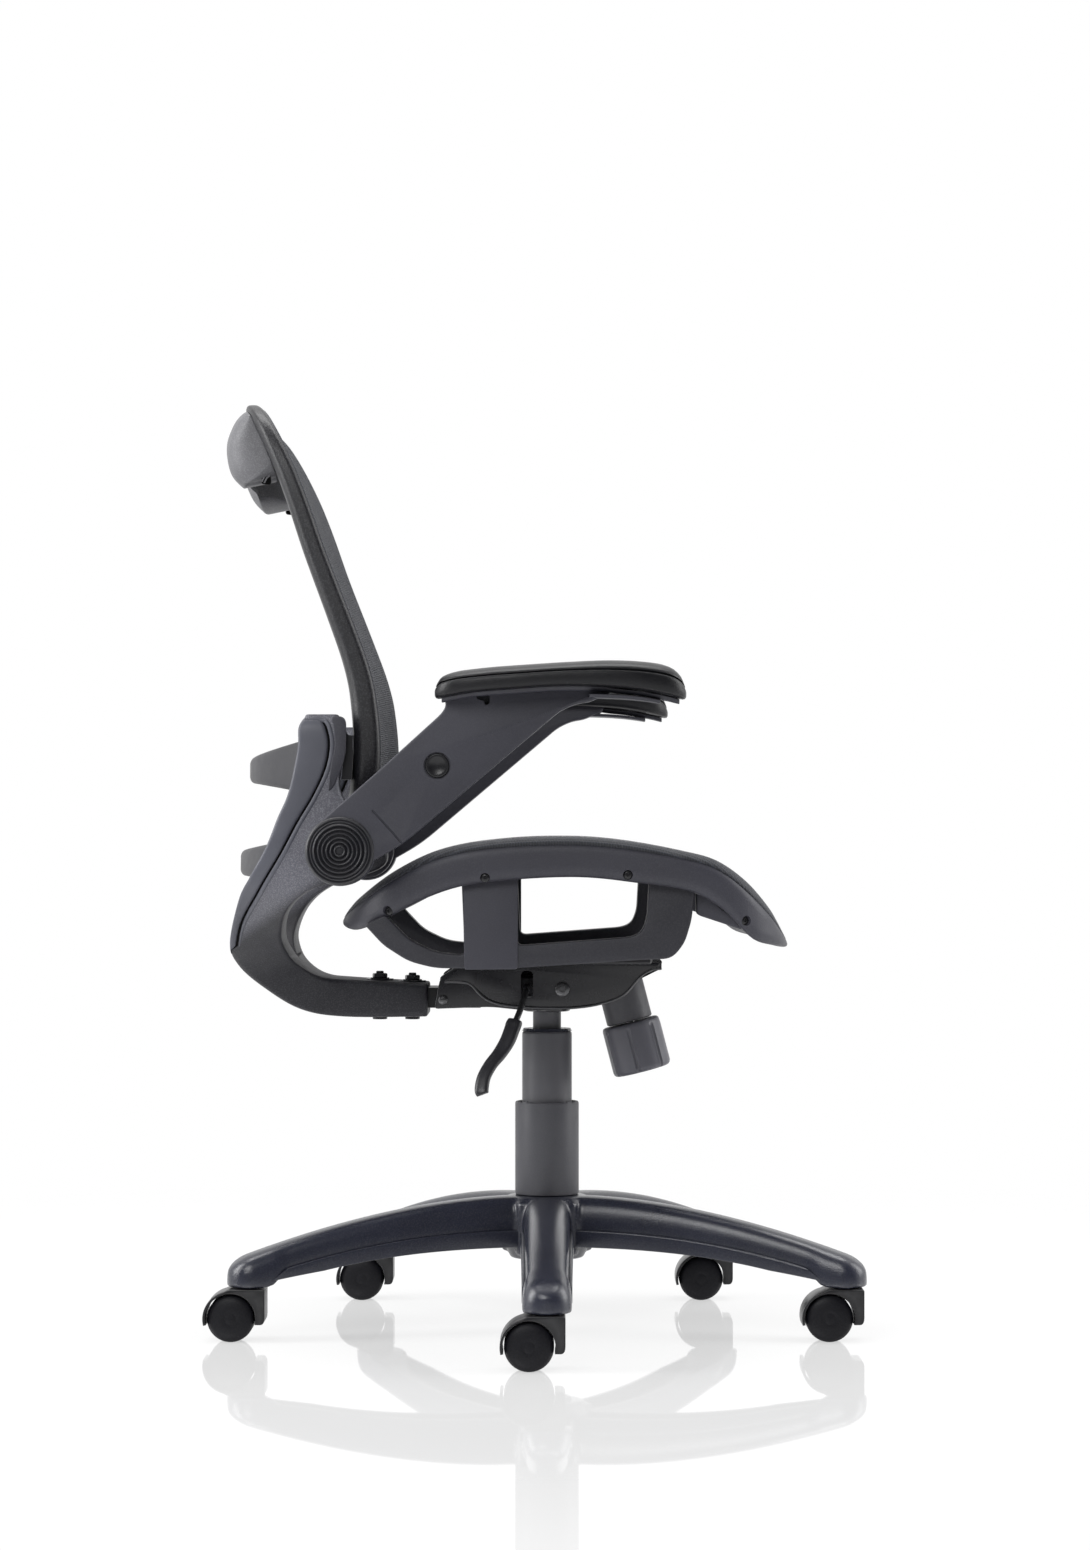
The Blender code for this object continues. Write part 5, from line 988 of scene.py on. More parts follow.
@dataclass
class Mechanism:
    """The tilt housing under the seat with its pins and the tension knob."""

    top: float = 0.3697
    pivot: Pair = (0.015, 0.342)
    rear_pin: Pair = (-0.1017, 0.3315)
    knob_top: Pair = (0.083, 0.306)
    lean: float = math.radians(14.6)
    grooves: int = 7
    groove_turn: float = math.radians(-8)
    cup: float = 0.023

    def knob_axis(self) -> tuple[Point, Point]:
        """The top of the tension knob and the direction down its axis."""
        return ((self.knob_top[0], 0.0, self.knob_top[1]), (math.sin(self.lean), 0.0, -math.cos(self.lean)))

    def housing(self) -> Piece:
        """The two cheeks, the top and the sloping front of the pressed housing."""
        cheek = [(-0.1105, 0.3227), (-0.055, 0.3247), (-0.0215, 0.3212), (0.0205, 0.3229), (0.0515, 0.3300),
                 (0.1007, 0.3605), (0.1122, 0.3610), (0.1122, 0.3694), (-0.0805, 0.3694), (-0.1045, 0.3535)]
        outline = filleted(cheek, [0.004, 0.008, 0.008, 0.008, 0.008, 0.005, 0.002, 0.002, 0.006, 0.006], 4)
        pieces = [slab("cheek", outline, -0.0835, -0.0803, 0.0011)]
        flange = [(-0.1030, 0.3485), (-0.0753, 0.3462), (-0.0655, 0.3394), (-0.0557, 0.3315),
                  (-0.0410, 0.3272), (-0.0068, 0.3240), (0.0250, 0.3243), (0.0518, 0.3276), (0.0763, 0.3345),
                  (0.0935, 0.3560), (0.1075, 0.3612), (0.1120, 0.3690), (-0.0800, 0.3690)]
        shell = slab("shell", filleted(flange, 0.007, 4), -0.0862, -0.0833, 0.0012)
        pieces += [shell, mirrored(pieces[0], "cheek_left"), mirrored(shell, "shell_left")]
        opening = [(-0.0256, 0.3330), (-0.0136, 0.3330), (-0.0136, 0.3603), (-0.0256, 0.3603)]
        slot = slab("slot", filleted(opening, 0.0054, 5), -0.10, -0.07, 0.0001, 1)
        carve(shell, twin(slot, "slot_tool", Matrix.Identity(4)))
        carve(pieces[0], slot)
        plate = [(-0.0805, 0.3668), (0.1125, 0.3668), (0.1125, self.top), (-0.0805, self.top)]
        pieces.append(slab("top_plate", filleted(plate, 0.0008, 2), -0.0845, 0.0845, 0.001, 2))
        slope = [(0.0200, 0.3232), (0.0515, 0.3296), (0.1007, 0.3601), (0.1125, 0.3607), (0.1125, 0.3630),
                 (0.0998, 0.3632), (0.0503, 0.3326), (0.0200, 0.3262)]
        pieces.append(slab("slope", filleted(slope, 0.0012, 3), -0.0815, 0.0815, 0.001, 2))
        rear = [(-0.1085, 0.3240), (-0.1062, 0.3235), (-0.1022, 0.3528), (-0.0790, 0.3675), (-0.0805, 0.3692),
                (-0.1045, 0.3535)]
        pieces.append(slab("rear_lip", filleted(rear, 0.0008, 2), -0.0815, -0.045, 0.001, 2))
        pieces.append(mirrored(pieces[-1], "rear_lip_left"))
        return joined(pieces, "pressed_housing")

    def rolled_edge(self) -> Piece:
        """The rolled lower edge of the right shell."""
        spots = [(-0.1000, 0.3490), (-0.0830, 0.3492), (-0.0740, 0.3460), (-0.0680, 0.3395),
                 (-0.0590, 0.3318), (-0.0440, 0.3268), (-0.0200, 0.3243), (0.0068, 0.3236), (0.0280, 0.3240),
                 (0.0518, 0.3277), (0.0740, 0.3360), (0.0900, 0.3530), (0.1010, 0.3605), (0.1100, 0.3622)]
        path = resampled([(x, -0.0864, z) for x, z in spots], 6)
        return along("flange_roll", path, [(0.0013, 0.0012)] * len(path), 2.0, 12)

    def pins(self) -> None:
        """The domed pin heads on both cheeks."""
        (x, z), heads = self.pivot, []
        for side in Side:
            heads.append(turned("head", [(0.0072, 0), (0.0072, 0.0014), (0.0066, 0.0023), (0.0048, 0.0029),
                                         (0.0030, 0.0030), (0.0026, 0.0024), (0, 0.0024)],
                                (x, side.value * 0.0860, z), (0, side.value, 0), count=40))
        heads.append(turned("rod", [(0.006, -0.086), (0.006, 0.086)], (x, 0, z), (0, 1, 0), count=32))
        dress(joined(heads, "tilt_axle"), "swivel", STEEL, ["tilt_pin"])
        (x, z), ends = self.rear_pin, []
        for side in Side:
            ends.append(turned("end", [(0.0048, -0.012), (0.0048, 0.0015), (0.0040, 0.0026),
                                       (0.0022, 0.0032), (0, 0.0033)],
                               (x, side.value * 0.0835, z), (0, side.value, 0), count=32))
        ends.append(turned("bar", [(0.0045, -0.074), (0.0045, 0.074)], (x, 0, z), (0, 1, 0), count=32))
        dress(joined(ends, "rear_axle"), "tilt", STEEL, ["rear_pin"])

    def tension(self) -> None:
        """The spring cup and the fluted knob that hangs under it."""
        top, down = self.knob_axis()
        r = self.cup
        cup = turned("spring_cup", [(0.012, -0.0014), (r - 0.001, -0.0014), (r, -0.0024), (r, -0.040),
                                    (0.012, -0.040)], top, down, looped=True)
        dress(cup, "tilt", SLEEVE, ["tension_cup"])
        axis = Vector(down)
        across, other = Vector((0, -1, 0)), Vector((math.cos(self.lean), 0, math.sin(self.lean)))
        profile = [(0.0060, 0.0), (0.0262, 0.0), (0.0278, 0.0006), (0.0287, 0.0020), (0.0290, 0.0040),
                   (0.0290, 0.0060), (0.0290, 0.0075), (0.0290, 0.0430), (0.0290, 0.0447), (0.0289, 0.0460),
                   (0.0284, 0.0480), (0.0272, 0.0494), (0.0255, 0.0500), (0.0200, 0.0502), (0.0195, 0.0496),
                   (0.0100, 0.0496), (0.0002, 0.0496)]
        rings = []
        for radius, height in profile:
            deep = 0.0014 * min(max((height - 0.0045) / 0.003, 0), 1)
            ring = []
            for k in range(self.grooves * 24):
                a = self.groove_turn + 2 * math.pi * k / (self.grooves * 24)
                off = min(k % 24, 24 - k % 24)
                bead = (-1.0, -0.75, 0.25, 0.1)[off] if off < 4 else 0.0
                r = radius + deep * min(bead, 0.0 if height > 0.046 else bead)
                around = across * math.cos(a) + other * math.sin(a)
                ring.append(tuple(Vector(top) + axis * height + r * around))
            rings.append(ring)
        dress(lofted("fluted_knob", rings), "knob", KNOB, ["tension_knob"])

    def seat_of_lift(self) -> Piece:
        """The block inside the housing with the round boss that the lift plugs into."""
        outline = [(-0.048, 0.3310), (0.038, 0.3310), (0.038, 0.3540), (-0.048, 0.3540)]
        block = slab("block", filleted(outline, 0.004, 4), -0.053, 0.053, 0.003)
        boss = turned("boss", [(0.0145, 0.3180), (0.0205, 0.3168), (0.0228, 0.3176), (0.0236, 0.3196),
                               (0.0236, 0.3340), (0.0145, 0.3340)], (0, 0, 0), (0, 0, 1), looped=True)
        return joined([block, boss], "lift_seat")

    def build(self) -> None:
        """Model and dress the mechanism."""
        dress(self.seat_of_lift(), "swivel", ENAMEL, ["column_bracket"])
        dress(self.housing(), "tilt", ENAMEL, ["tilt_housing"])
        # The rolled edge takes the lighter finish as a painted highlight line.
        roll = self.rolled_edge()
        dress(mirrored(roll, "flange_roll_left"), "tilt", ROLLED_EDGE_HIGHLIGHT)
        dress(roll, "tilt", ROLLED_EDGE_HIGHLIGHT)
        self.pins()
        self.tension()


@dataclass
class LiftLever:
    """The bent rod on the right and its grip."""

    radius: float = 0.003
    height: float = 0.3433
    grip: tuple[tuple[float, ...], ...] = (
        (-0.0302, -0.1405, 0.3142, 0.0058, 0.0038), (-0.0306, -0.1410, 0.3132, 0.0072, 0.0048),
        (-0.0322, -0.1428, 0.3100, 0.0078, 0.0050), (-0.0336, -0.1450, 0.3060, 0.0076, 0.0048),
        (-0.0382, -0.1520, 0.2945, 0.0075, 0.0045), (-0.0455, -0.1590, 0.2830, 0.0070, 0.0042),
        (-0.0538, -0.1670, 0.2730, 0.0066, 0.0040), (-0.0600, -0.1740, 0.2620, 0.0066, 0.0038),
        (-0.0622, -0.1790, 0.2520, 0.0068, 0.0037), (-0.0620, -0.1815, 0.2470, 0.0064, 0.0033),
        (-0.0616, -0.1820, 0.2455, 0.0050, 0.0024))

    def build(self) -> None:
        """Model and dress the lever."""
        z = self.height
        path = [(0, 0.004, z), (0, -0.004, z), (-0.0030, -0.0125, z), (-0.0150, -0.0220, z),
                (-0.0196, -0.0300, z), (-0.0196, -0.0650, z), (-0.0196, -0.0930, z),
                (-0.0203, -0.1040, z - 0.0014), (-0.0226, -0.1170, z - 0.0092),
                (-0.0262, -0.1300, z - 0.0205), (-0.0312, -0.1420, z - 0.0320)]
        path = resampled(path, 6)
        rod = along("bent_rod", path, [(self.radius, self.radius)] * len(path), across=(0.3, 0, 1))
        dress(rod, "lever", STEEL, ["lever_rod"])
        rows = resampled(self.grip, 8)
        rings_path, sizes = [row[:3] for row in rows], [(row[3], row[4]) for row in rows]
        grip = along("lever_grip", rings_path, sizes, 2.6, 28, across=(1, -0.2, 0))
        dress(grip, "lever", RUBBER, ["lever_paddle"], angle=60)


@dataclass
class Seat:
    """The moulded seat ring, its stretched cloth and the side brackets."""

    rear: float = -0.1988
    front: float = 0.2340
    half: float = 0.245
    corner: float = 5.0
    rail: float = 0.040
    ledge: float = 0.012
    drop: float = 0.007
    stations: int = 208
    screws: tuple[Pair, ...] = ((-0.1505, 0.4212), (-0.0581, 0.4524), (0.0758, 0.4552), (0.1880, 0.4120))
    tops: tuple[Pair, ...] = (
        (-0.1988, 0.4120), (-0.1780, 0.4317), (-0.1416, 0.4580), (-0.0985, 0.4777), (-0.0403, 0.4870),
        (0.0253, 0.4890), (0.0740, 0.4852), (0.1313, 0.4749), (0.1603, 0.4664), (0.1885, 0.4467),
        (0.2120, 0.4205), (0.2250, 0.4010), (0.2340, 0.3890))
    unders: tuple[Pair, ...] = (
        (-0.1988, 0.4045), (-0.1810, 0.4017), (-0.1510, 0.4140), (-0.1125, 0.4336), (-0.0778, 0.4449),
        (-0.0310, 0.4505), (0.0310, 0.4528), (0.0825, 0.4477), (0.1388, 0.4383), (0.1700, 0.4190),
        (0.1950, 0.3933), (0.2180, 0.3865), (0.2340, 0.3835))

    def __post_init__(self) -> None:
        """Draw the seat's upper and lower line."""
        self.top, self.under = smooth_line(self.tops), smooth_line(self.unders)
        self.middle = (self.rear + self.front) / 2

    def plan(self, angle: float, inset_by: float) -> Pair:
        """A point of the seat's outline from above, drawn in by an amount."""
        c, s = squared(angle, self.corner)
        return self.middle + ((self.front - self.rear) / 2 - inset_by) * c, (self.half - inset_by) * s

    def ring_piece(self) -> Piece:
        """The moulded ring, with its section rounded at every edge."""
        rail, ledge, drop = self.rail, self.ledge, self.drop
        rings = []
        for angle in ring_angles(self.stations):
            corners = [(0.007, 1, 0), (0, 0.78, 0), (0, 0.2, 0), (0.004, 0, 0), (rail - 0.008, 0.05, 0),
                       (rail, 0.35, 0), (rail, 1, -drop), (rail - ledge, 1, -drop),
                       (rail - ledge - 0.002, 1, 0)]
            spots = []
            for inset_by, level, rise in corners:
                x, _ = self.plan(angle, inset_by)
                spots.append((inset_by, mix(self.under(x), self.top(x), level) + rise))
            section = filleted(spots, [0.006, 0.006, 0.005, 0.004, 0.006, 0.006, 0.001, 0.001, 0.0015], 4)
            rings.append([(*self.plan(angle, inset_by), z) for inset_by, z in section])
        return lofted("seat_ring", rings, looped=True)

    def cloth(self) -> Piece:
        """The cloth stretched over the ring, a little crowned."""
        held = [(0.0034, 0.845, 0.0), (0.0020, 0.850, 0.0), (0.0019, 0.862, 0.0), (0.0032, 0.915, 0.0003),
                (0.0053, 0.965, 0.0007), (0.0085, 1, 0.0010), (0.0130, 1, 0.0014), (0.0180, 1, 0.0016),
                (0.0260, 1, 0.0017), (0.0400, 1, 0.0017)]
        shares = [1 - 0.96 * (k / 26) for k in range(1, 27)]
        rings, angles = [], ring_angles(self.stations)
        for inset_by, level, rise in held:
            rings.append([(x, y, mix(self.under(x), self.top(x), level) + rise)
                          for x, y in (self.plan(a, inset_by) for a in angles)])
        for share in shares:
            ring = []
            for a in angles:
                x, y = self.plan(a, 0.040)
                x, y = self.middle + (x - self.middle) * share, y * share
                ring.append((x, y, self.top(x) + 0.0017 + 0.0011 * (1 - share**2)))
            rings.append(ring)
        piece = lofted("seat_cloth", rings, capped=False)
        close_middle(piece, lambda spot: math.hypot(spot.x - self.middle, spot.y) < 0.016)
        lengths = run_lengths(self.top, self.rear, self.front)
        half, wide = (self.front - self.rear) / 2 - 0.0100, self.half - 0.0100

        def in_hem(spot: Vector) -> bool:
            """Whether a point lies in the closed hem."""
            x, y = abs(spot.x - self.middle) / half, abs(spot.y) / wide
            return x**self.corner + y**self.corner > 1

        return finished_cloth(piece, lambda spot: (lengths(spot.x), spot.y), in_hem)

    def bracket(self) -> Piece:
        """The right side bracket between the pan and the ring."""
        under = self.under
        corners = [(-0.172, under(-0.172) + 0.004), (-0.1539, 0.3888), (-0.1303, 0.3737), (-0.1048, 0.3672),
                   (-0.0312, 0.3672), (0.0883, 0.3752), (0.1178, 0.3762), (0.1298, 0.3915), (0.1358, 0.4115),
                   (0.1398, under(0.1398) + 0.004), (0.0963, under(0.0963) + 0.004), (0.0943, 0.4145),
                   (0.0893, 0.4015), (0.0793, 0.3965), (-0.0282, 0.3885), (-0.0312, under(-0.0312) + 0.004),
                   (-0.0803, under(-0.0803) + 0.004), (-0.0775, 0.3795), (-0.1048, 0.3822), (-0.1303, 0.3945),
                   (-0.152, under(-0.152) + 0.004)]
        cuts = [0.004, 0.007, 0.009, 0.010, 0.010, 0.010, 0.009, 0.007, 0.006, 0.004, 0.004, 0.006, 0.006,
                0.008, 0.007, 0.004, 0.004, 0.006, 0.010, 0.009, 0.004]
        return slab("side_bracket", filleted(corners, cuts, 5), -0.2283, -0.1983, 0.0018)

    def strut(self) -> Piece:
        """The flat panel in front of the right bracket's middle strut."""
        corners = [(-0.0793, self.under(-0.0793) + 0.004), (-0.0778, 0.3685), (-0.0770, 0.3660),
                   (-0.0285, 0.3664), (-0.0273, 0.3690), (-0.0273, self.under(-0.0273) + 0.004)]
        return slab("strut_panel", filleted(corners, 0.0020, 4), -0.2300, -0.2240, 0.0011, 3)

    def wedge(self) -> Piece:
        """The block under the nose of the right rail."""
        under = self.under
        corners = [(0.1405, under(0.1405) + 0.006), (0.1410, 0.4190), (0.1440, 0.4165), (0.1835, 0.4035),
                   (0.1875, 0.4045), (0.1865, under(0.1865) + 0.006), (0.1650, under(0.1650) + 0.006)]
        return slab("nose_block", filleted(corners, 0.0022, 4), -0.2180, -0.1960, 0.0015)

    def flank(self, x: float) -> tuple[Point, Point]:
        """A point of the right flank of the ring, without its height, and the way out from it."""
        share = (x - self.middle) / ((self.front - self.rear) / 2)
        flat = 1 - abs(share) ** self.corner
        rise = math.copysign(abs(share) ** (self.corner - 1), share)
        lean = rise * self.half * 2 / (self.front - self.rear) / flat ** (1 - 1 / self.corner)
        return (x, -self.half * flat ** (1 / self.corner), 0.0), (lean, -1.0, 0.0)

    def sunk_screws(self, ring: Piece) -> Piece:
        """Sink a cup for each screw in both flanks of the ring.

        Args:
            ring: The seat's ring, which is carved.

        Returns:
            The right screws, which sit in their cups.
        """
        tools, screws = [], []
        for k, (x, z) in enumerate(self.screws):
            (_, y, _), out = self.flank(x)
            tools.append(turned(f"cup_{k}", [(0.0040, -0.0050), (0.0044, -0.0046), (0.0047, -0.0004),
                                             (0.0052, 0.0004), (0.0060, 0.0040)], (x, y, z), out, count=28))
            screws.append(turned(f"screw_{k}", [(0.0043, -0.0060), (0.0043, -0.0042), (0.0040, -0.0036),
                                                (0.0026, -0.0032), (0.0016, -0.0031), (0.0014, -0.0042),
                                                (0, -0.0042)], (x, y, z), out, count=28))
        tool = joined(tools, "cups")
        carve(ring, mirrored(tool, "cups_left"))
        carve(ring, tool)
        return joined(screws, "ring_screws")

    def build(self) -> None:
        """Model and dress the seat."""
        ring = self.ring_piece()
        screws = self.sunk_screws(ring)
        dress(ring, "tilt", FRAME, ["seat_frame"], angle=50)
        cloth = dress(self.cloth(), "tilt", CLOTH, ["seat_mesh"], angle=80)
        bracket, strut, wedge = self.bracket(), self.strut(), self.wedge()
        for side in Side:
            for piece, finish, nodes in ((bracket, BRACKET, [f"seat_bracket_{side.word}"]),
                                         (strut, FRAME, []), (wedge, FRAME, []), (screws, PLUG, [])):
                copy = sided(piece, f"{piece.name}_{side.word}", side)
                dress(copy, "tilt", finish, nodes)
        for spare in (bracket, strut, wedge, screws):
            bpy.data.objects.remove(spare)


def run_lengths(line: Callable[[float], float], start: float, end: float) -> Callable[[float], float]:
    """Measure along a curve, so that a weave isn't stretched where it slopes.

    Args:
        line: The curve's height at a place.
        start: Where the curve starts.
        end: Where it ends.

    Returns:
        A function from a place to the length of curve up to it.
    """
    count = 200
    spots = [mix(start, end, k / count) for k in range(count + 1)]
    sums = [0.0]
    for a, b in zip(spots, spots[1:]):
        sums.append(sums[-1] + math.hypot(b - a, line(b) - line(a)))

    def length(place: float) -> float:
        """The length of curve up to a place."""
        t = min(max((place - start) / (end - start), 0), 1) * count
        k = min(int(t), count - 1)
        return mix(sums[k], sums[k + 1], t - k)

    return length


def close_middle(piece: Piece, inside: Callable[[Vector], bool]) -> None:
    """Fill the small hole that a cloth's rings leave in its middle.

    Args:
        piece: The cloth's surface.
        inside: Says whether a point is on the hole's rim.
    """
    pick(piece)
    bpy.ops.object.mode_set(mode="EDIT")
    bpy.ops.mesh.select_mode(type="VERT")
    bpy.ops.mesh.select_all(action="DESELECT")
    work = bmesh.from_edit_mesh(piece.data)
    for vert in work.verts:
        vert.select = inside(vert.co)
    work.select_flush(True)
    bpy.ops.mesh.edge_face_add()
    bpy.ops.object.mode_set(mode="OBJECT")


def finished_cloth(piece: Piece, unrolled: Callable[[Vector], Pair], rim: Callable[[Vector], bool]) -> Piece:
    """Unroll a cloth in metres, mark its closed hem and give it its thickness.

    Args:
        piece: The cloth's surface.
        unrolled: Gives the flat place of a point of it.
        rim: Says whether a point is in the hem.

    Returns:
        The cloth.
    """
    face_out(piece)
    mesh = piece.data
    for old in list(mesh.uv_layers):
        mesh.uv_layers.remove(old)
    flat = mesh.uv_layers.new(name="cloth")
    for loop in mesh.loops:
        flat.data[loop.index].uv = unrolled(mesh.vertices[loop.vertex_index].co)
    hem = mesh.attributes.new("hem", "FLOAT", "POINT")
    for vert in mesh.vertices:
        hem.data[vert.index].value = float(rim(vert.co))
    pick(piece)
    wall = piece.modifiers.new("wall", "SOLIDIFY")
    wall.thickness, wall.offset = 0.0010, 0.0
    bpy.ops.object.modifier_apply(modifier=wall.name)
    return piece


@dataclass
class Carrier:
    """The yoke behind the seat, its rear covers and its two cross bars."""

    # Rear edge x and z, front edge x and z, and the inner and outer y, from the tongue up.
    stations: tuple[tuple[float, ...], ...] = (
        (-0.1204, 0.3133, -0.1204, 0.3458, 0.000, 0.045),
        (-0.1994, 0.3133, -0.1925, 0.3498, 0.000, 0.047),
        (-0.2435, 0.3213, -0.2216, 0.3529, 0.000, 0.056),
        (-0.2800, 0.3446, -0.2407, 0.3632, 0.000, 0.074),
        (-0.3010, 0.3664, -0.2520, 0.3772, 0.010, 0.102),
        (-0.3060, 0.3890, -0.2562, 0.3960, 0.060, 0.138),
        (-0.2933, 0.4313, -0.2471, 0.4217, 0.128, 0.190),
        (-0.2810, 0.4528, -0.2229, 0.4413, 0.170, 0.216),
        (-0.2653, 0.4804, -0.1709, 0.4616, 0.190, 0.226),
        (-0.2540, 0.5088, -0.1747, 0.4974, 0.190, 0.226),
        (-0.2436, 0.5333, -0.1955, 0.5352, 0.190, 0.226),
        (-0.2351, 0.5730, -0.1917, 0.5730, 0.190, 0.226),
        (-0.2342, 0.5938, -0.1910, 0.5960, 0.192, 0.225),
        (-0.2285, 0.6041, -0.1964, 0.6041, 0.197, 0.220))
    seam_spots: tuple[Pair, ...] = (
        (0.3817, -0.3014), (0.4087, -0.2928), (0.4405, -0.2728), (0.4738, -0.2519), (0.5045, -0.2354),
        (0.5281, -0.2212), (0.5540, -0.2094), (0.5776, -0.2052), (0.5950, -0.2085), (0.6041, -0.2150))
    cover_from: int = 5
    bolts_x: Pair = (-0.1345, -0.1670)
    crest: int = 3
    steps: int = 7
    seam: float = 0.0009
    bar: float = 0.010

    def __post_init__(self) -> None:
        """Draw the covers' seam."""
        self.seam_line = smooth_line(self.seam_spots)

    def past_seam(self, row: Sequence[float], share: float) -> float:
        """How far a share of a station's depth lies ahead of the covers' seam."""
        return mix(row[0], row[2], share) - self.seam_line(mix(row[1], row[3], share))

    def rows(self) -> list[list[float]]:
        """The stations with finer ones between, each with the covers' share put in before its two y."""
        fine = []
        for row in resampled(self.stations, self.steps):
            low, high = 0.0, 0.9
            for _ in range(30):
                middle = (low + high) / 2
                low, high = (middle, high) if self.past_seam(row, middle) < 0 else (low, middle)
            share = low if row[1] > self.seam_spots[0][0] and self.past_seam(row, 0) < 0 else 0.0
            fine.append([*row[:4], share, max(row[4], 0.0), row[5]])
        return fine

    def section(self, row: Sequence[float], start: float, end: float, edge: float,
                draw: float = 0.0) -> list[Point]:
        """A section of the right half between two shares of its depth.

        Args:
            row: The station.
            start: Share of the depth where it starts, from the rear.
            end: Share where it ends.
            edge: How far its corners are rounded.
            draw: How far its sides draw in.

        Returns:
            The section's ring.
        """
        rear = Vector((row[0], 0, row[1]))
        front = Vector((row[2], 0, row[3]))
        width = (front - rear).length
        inner, outer = row[5] + (draw if row[5] > 0 else 0), row[6] - draw
        corners = [(start * width, outer), (end * width, outer), (end * width, inner), (start * width, inner)]
        inner_cut = edge if row[5] > 0.004 else 1e-5
        ahead = (front - rear).normalized()
        return [(*(rear + ahead * d).xz[:1], -y, (rear + ahead * d).z)
                for d, y in filleted(corners, [edge, edge, inner_cut, inner_cut], 4)]

    def seam_share(self, row: Sequence[float], extra: float) -> float:
        """The share of a station's depth where the cover ends, moved by a distance."""
        return row[4] + extra / math.dist(row[:2], row[2:4])

    def yoke(self) -> Piece:
        """The yoke's two halves, made one in the middle."""
        rings, rows = [], self.rows()
        for k, row in enumerate(rows):
            seam = self.seam_share(row, self.seam * min(1, row[4] / 0.03))
            start = seam if k < len(rows) - self.crest else 0
            rings.append(self.section(row, start, 1, 0.0050))
        right = lofted("yoke_right", round_ends(rings, 0.0025, 0.16, 3))
        piece = joined([right, mirrored(right, "yoke_left")], "back_yoke")
        pick(piece)
        bpy.ops.object.mode_set(mode="EDIT")
        bpy.ops.mesh.select_mode(type="FACE")
        bpy.ops.mesh.select_all(action="DESELECT")
        work = bmesh.from_edit_mesh(piece.data)
        for face in work.faces:
            face.select = all(abs(v.co.y) < 1e-4 for v in face.verts)
        bpy.ops.mesh.delete(type="FACE")
        bpy.ops.mesh.select_mode(type="VERT")
        bpy.ops.mesh.select_all(action="SELECT")
        bpy.ops.mesh.remove_doubles(threshold=3e-5)
        bpy.ops.mesh.normals_make_consistent(inside=False)
        bpy.ops.object.mode_set(mode="OBJECT")
        return piece

    def cover(self) -> tuple[Piece, Piece]:
        """The right rear cover, and the dark core in its seam, a painted shade for the gap."""
        rows = self.rows()
        first = next(k for k, row in enumerate(rows) if row[4] > 0.02)
        rows = rows[first - 2:len(rows) - self.crest + 1]
        rings, seam_shade = [], []
        for row in rows:
            end = max(self.seam_share(row, -self.seam), 0.006)
            edge = min(0.0036, 0.4 * max(row[4], 0.006) * 0.05)
            rings.append(self.section(row, 0, end, edge, 0.0010 if row is rows[-1] else 0.0))
            start = max(self.seam_share(row, -0.004), 0.01)
            seam_shade.append(self.section(row, start, self.seam_share(row, 0.005), 0.001, 0.0024))
        return lofted("rear_shell", rings), lofted("seam_core", seam_shade[1:])

    def ridge(self) -> Piece:
        """The rounded bead beside the right cover's seam, which turns over its top."""
        spots = []
        for row in self.rows()[:-self.crest]:
            if row[4] > 0.05:
                share = self.seam_share(row, self.seam + 0.0022)
                spots.append((mix(row[0], row[2], share), -row[6] + 0.0006, mix(row[1], row[3], share)))
        x, y, _ = spots[-2]
        spots = [*spots[:-1], (x - 0.0028, y + 0.0006, 0.6006), (x - 0.0070, y + 0.0014, 0.6022),
                 (-0.2200, y + 0.0018, 0.6024), (-0.2245, y + 0.0026, 0.6018)]
        path = resampled(spots, 3)
        sizes = [(0.0014, 0.0021 * min(1, 0.35 + 0.65 * k / 20, 0.3 + 0.7 * (len(path) - k) / 5))
                 for k in range(len(path))]
        return along("seam_bead", path, sizes, 2.2, 16)

    def lines(self) -> tuple[Callable[[float], float], Callable[[float], float]]:
        """The rear edge and the inner face of the covers by height."""
        rows = self.stations[self.cover_from:]
        return smooth_line([(r[1], r[0]) for r in rows]), smooth_line([(r[1], r[4]) for r in rows])

    def cross_bar(self, name: str, mid: Point, ends: Pair) -> Piece:
        """A bowed bar between the uprights.

        Args:
            name: The piece's name.
            mid: Its rear face and its lower and upper edge in the middle.
            ends: Its lower and upper edge at the uprights.

        Returns:
            The bar.
        """
        rear_line, inner_line = self.lines()
        rings = []
        for k in range(49):
            t = 2 * k / 48 - 1
            bow = 1 - abs(t) ** 2.4
            low, high = mix(ends[0], mid[1], bow), mix(ends[1], mid[2], bow)
            corners = [(0, low), (0, high), (self.bar, high), (self.bar, low)]
            ring = []
            for depth, z in filleted(corners, [0.006, 0.006, 0.003, 0.003], 4):
                off = (z - (low + high) / 2) / ((high - low) / 2)
                swell = 0.0016 * (1 - off**2) if depth < 0.005 else 0
                rear = mix(rear_line(z) + 0.004, mid[0], bow) - swell
                ring.append((rear + depth, t * (inner_line(z) + 0.003), z))
            rings.append(ring)
        return lofted(name, rings)

    def flap(self) -> Piece:
        """The thin plate on the flank of the right upright."""
        corners = [(-0.2060, 0.5330), (-0.2040, 0.5560), (-0.1995, 0.5780), (-0.2010, 0.5960),
                   (-0.2035, 0.6045), (-0.1925, 0.6045), (-0.1892, 0.6000), (-0.1893, 0.5720),
                   (-0.1930, 0.5560), (-0.2010, 0.5380)]
        return slab("upright_flap", filleted(corners, 0.0040, 5), -0.2272, -0.2200, 0.0010, 3)

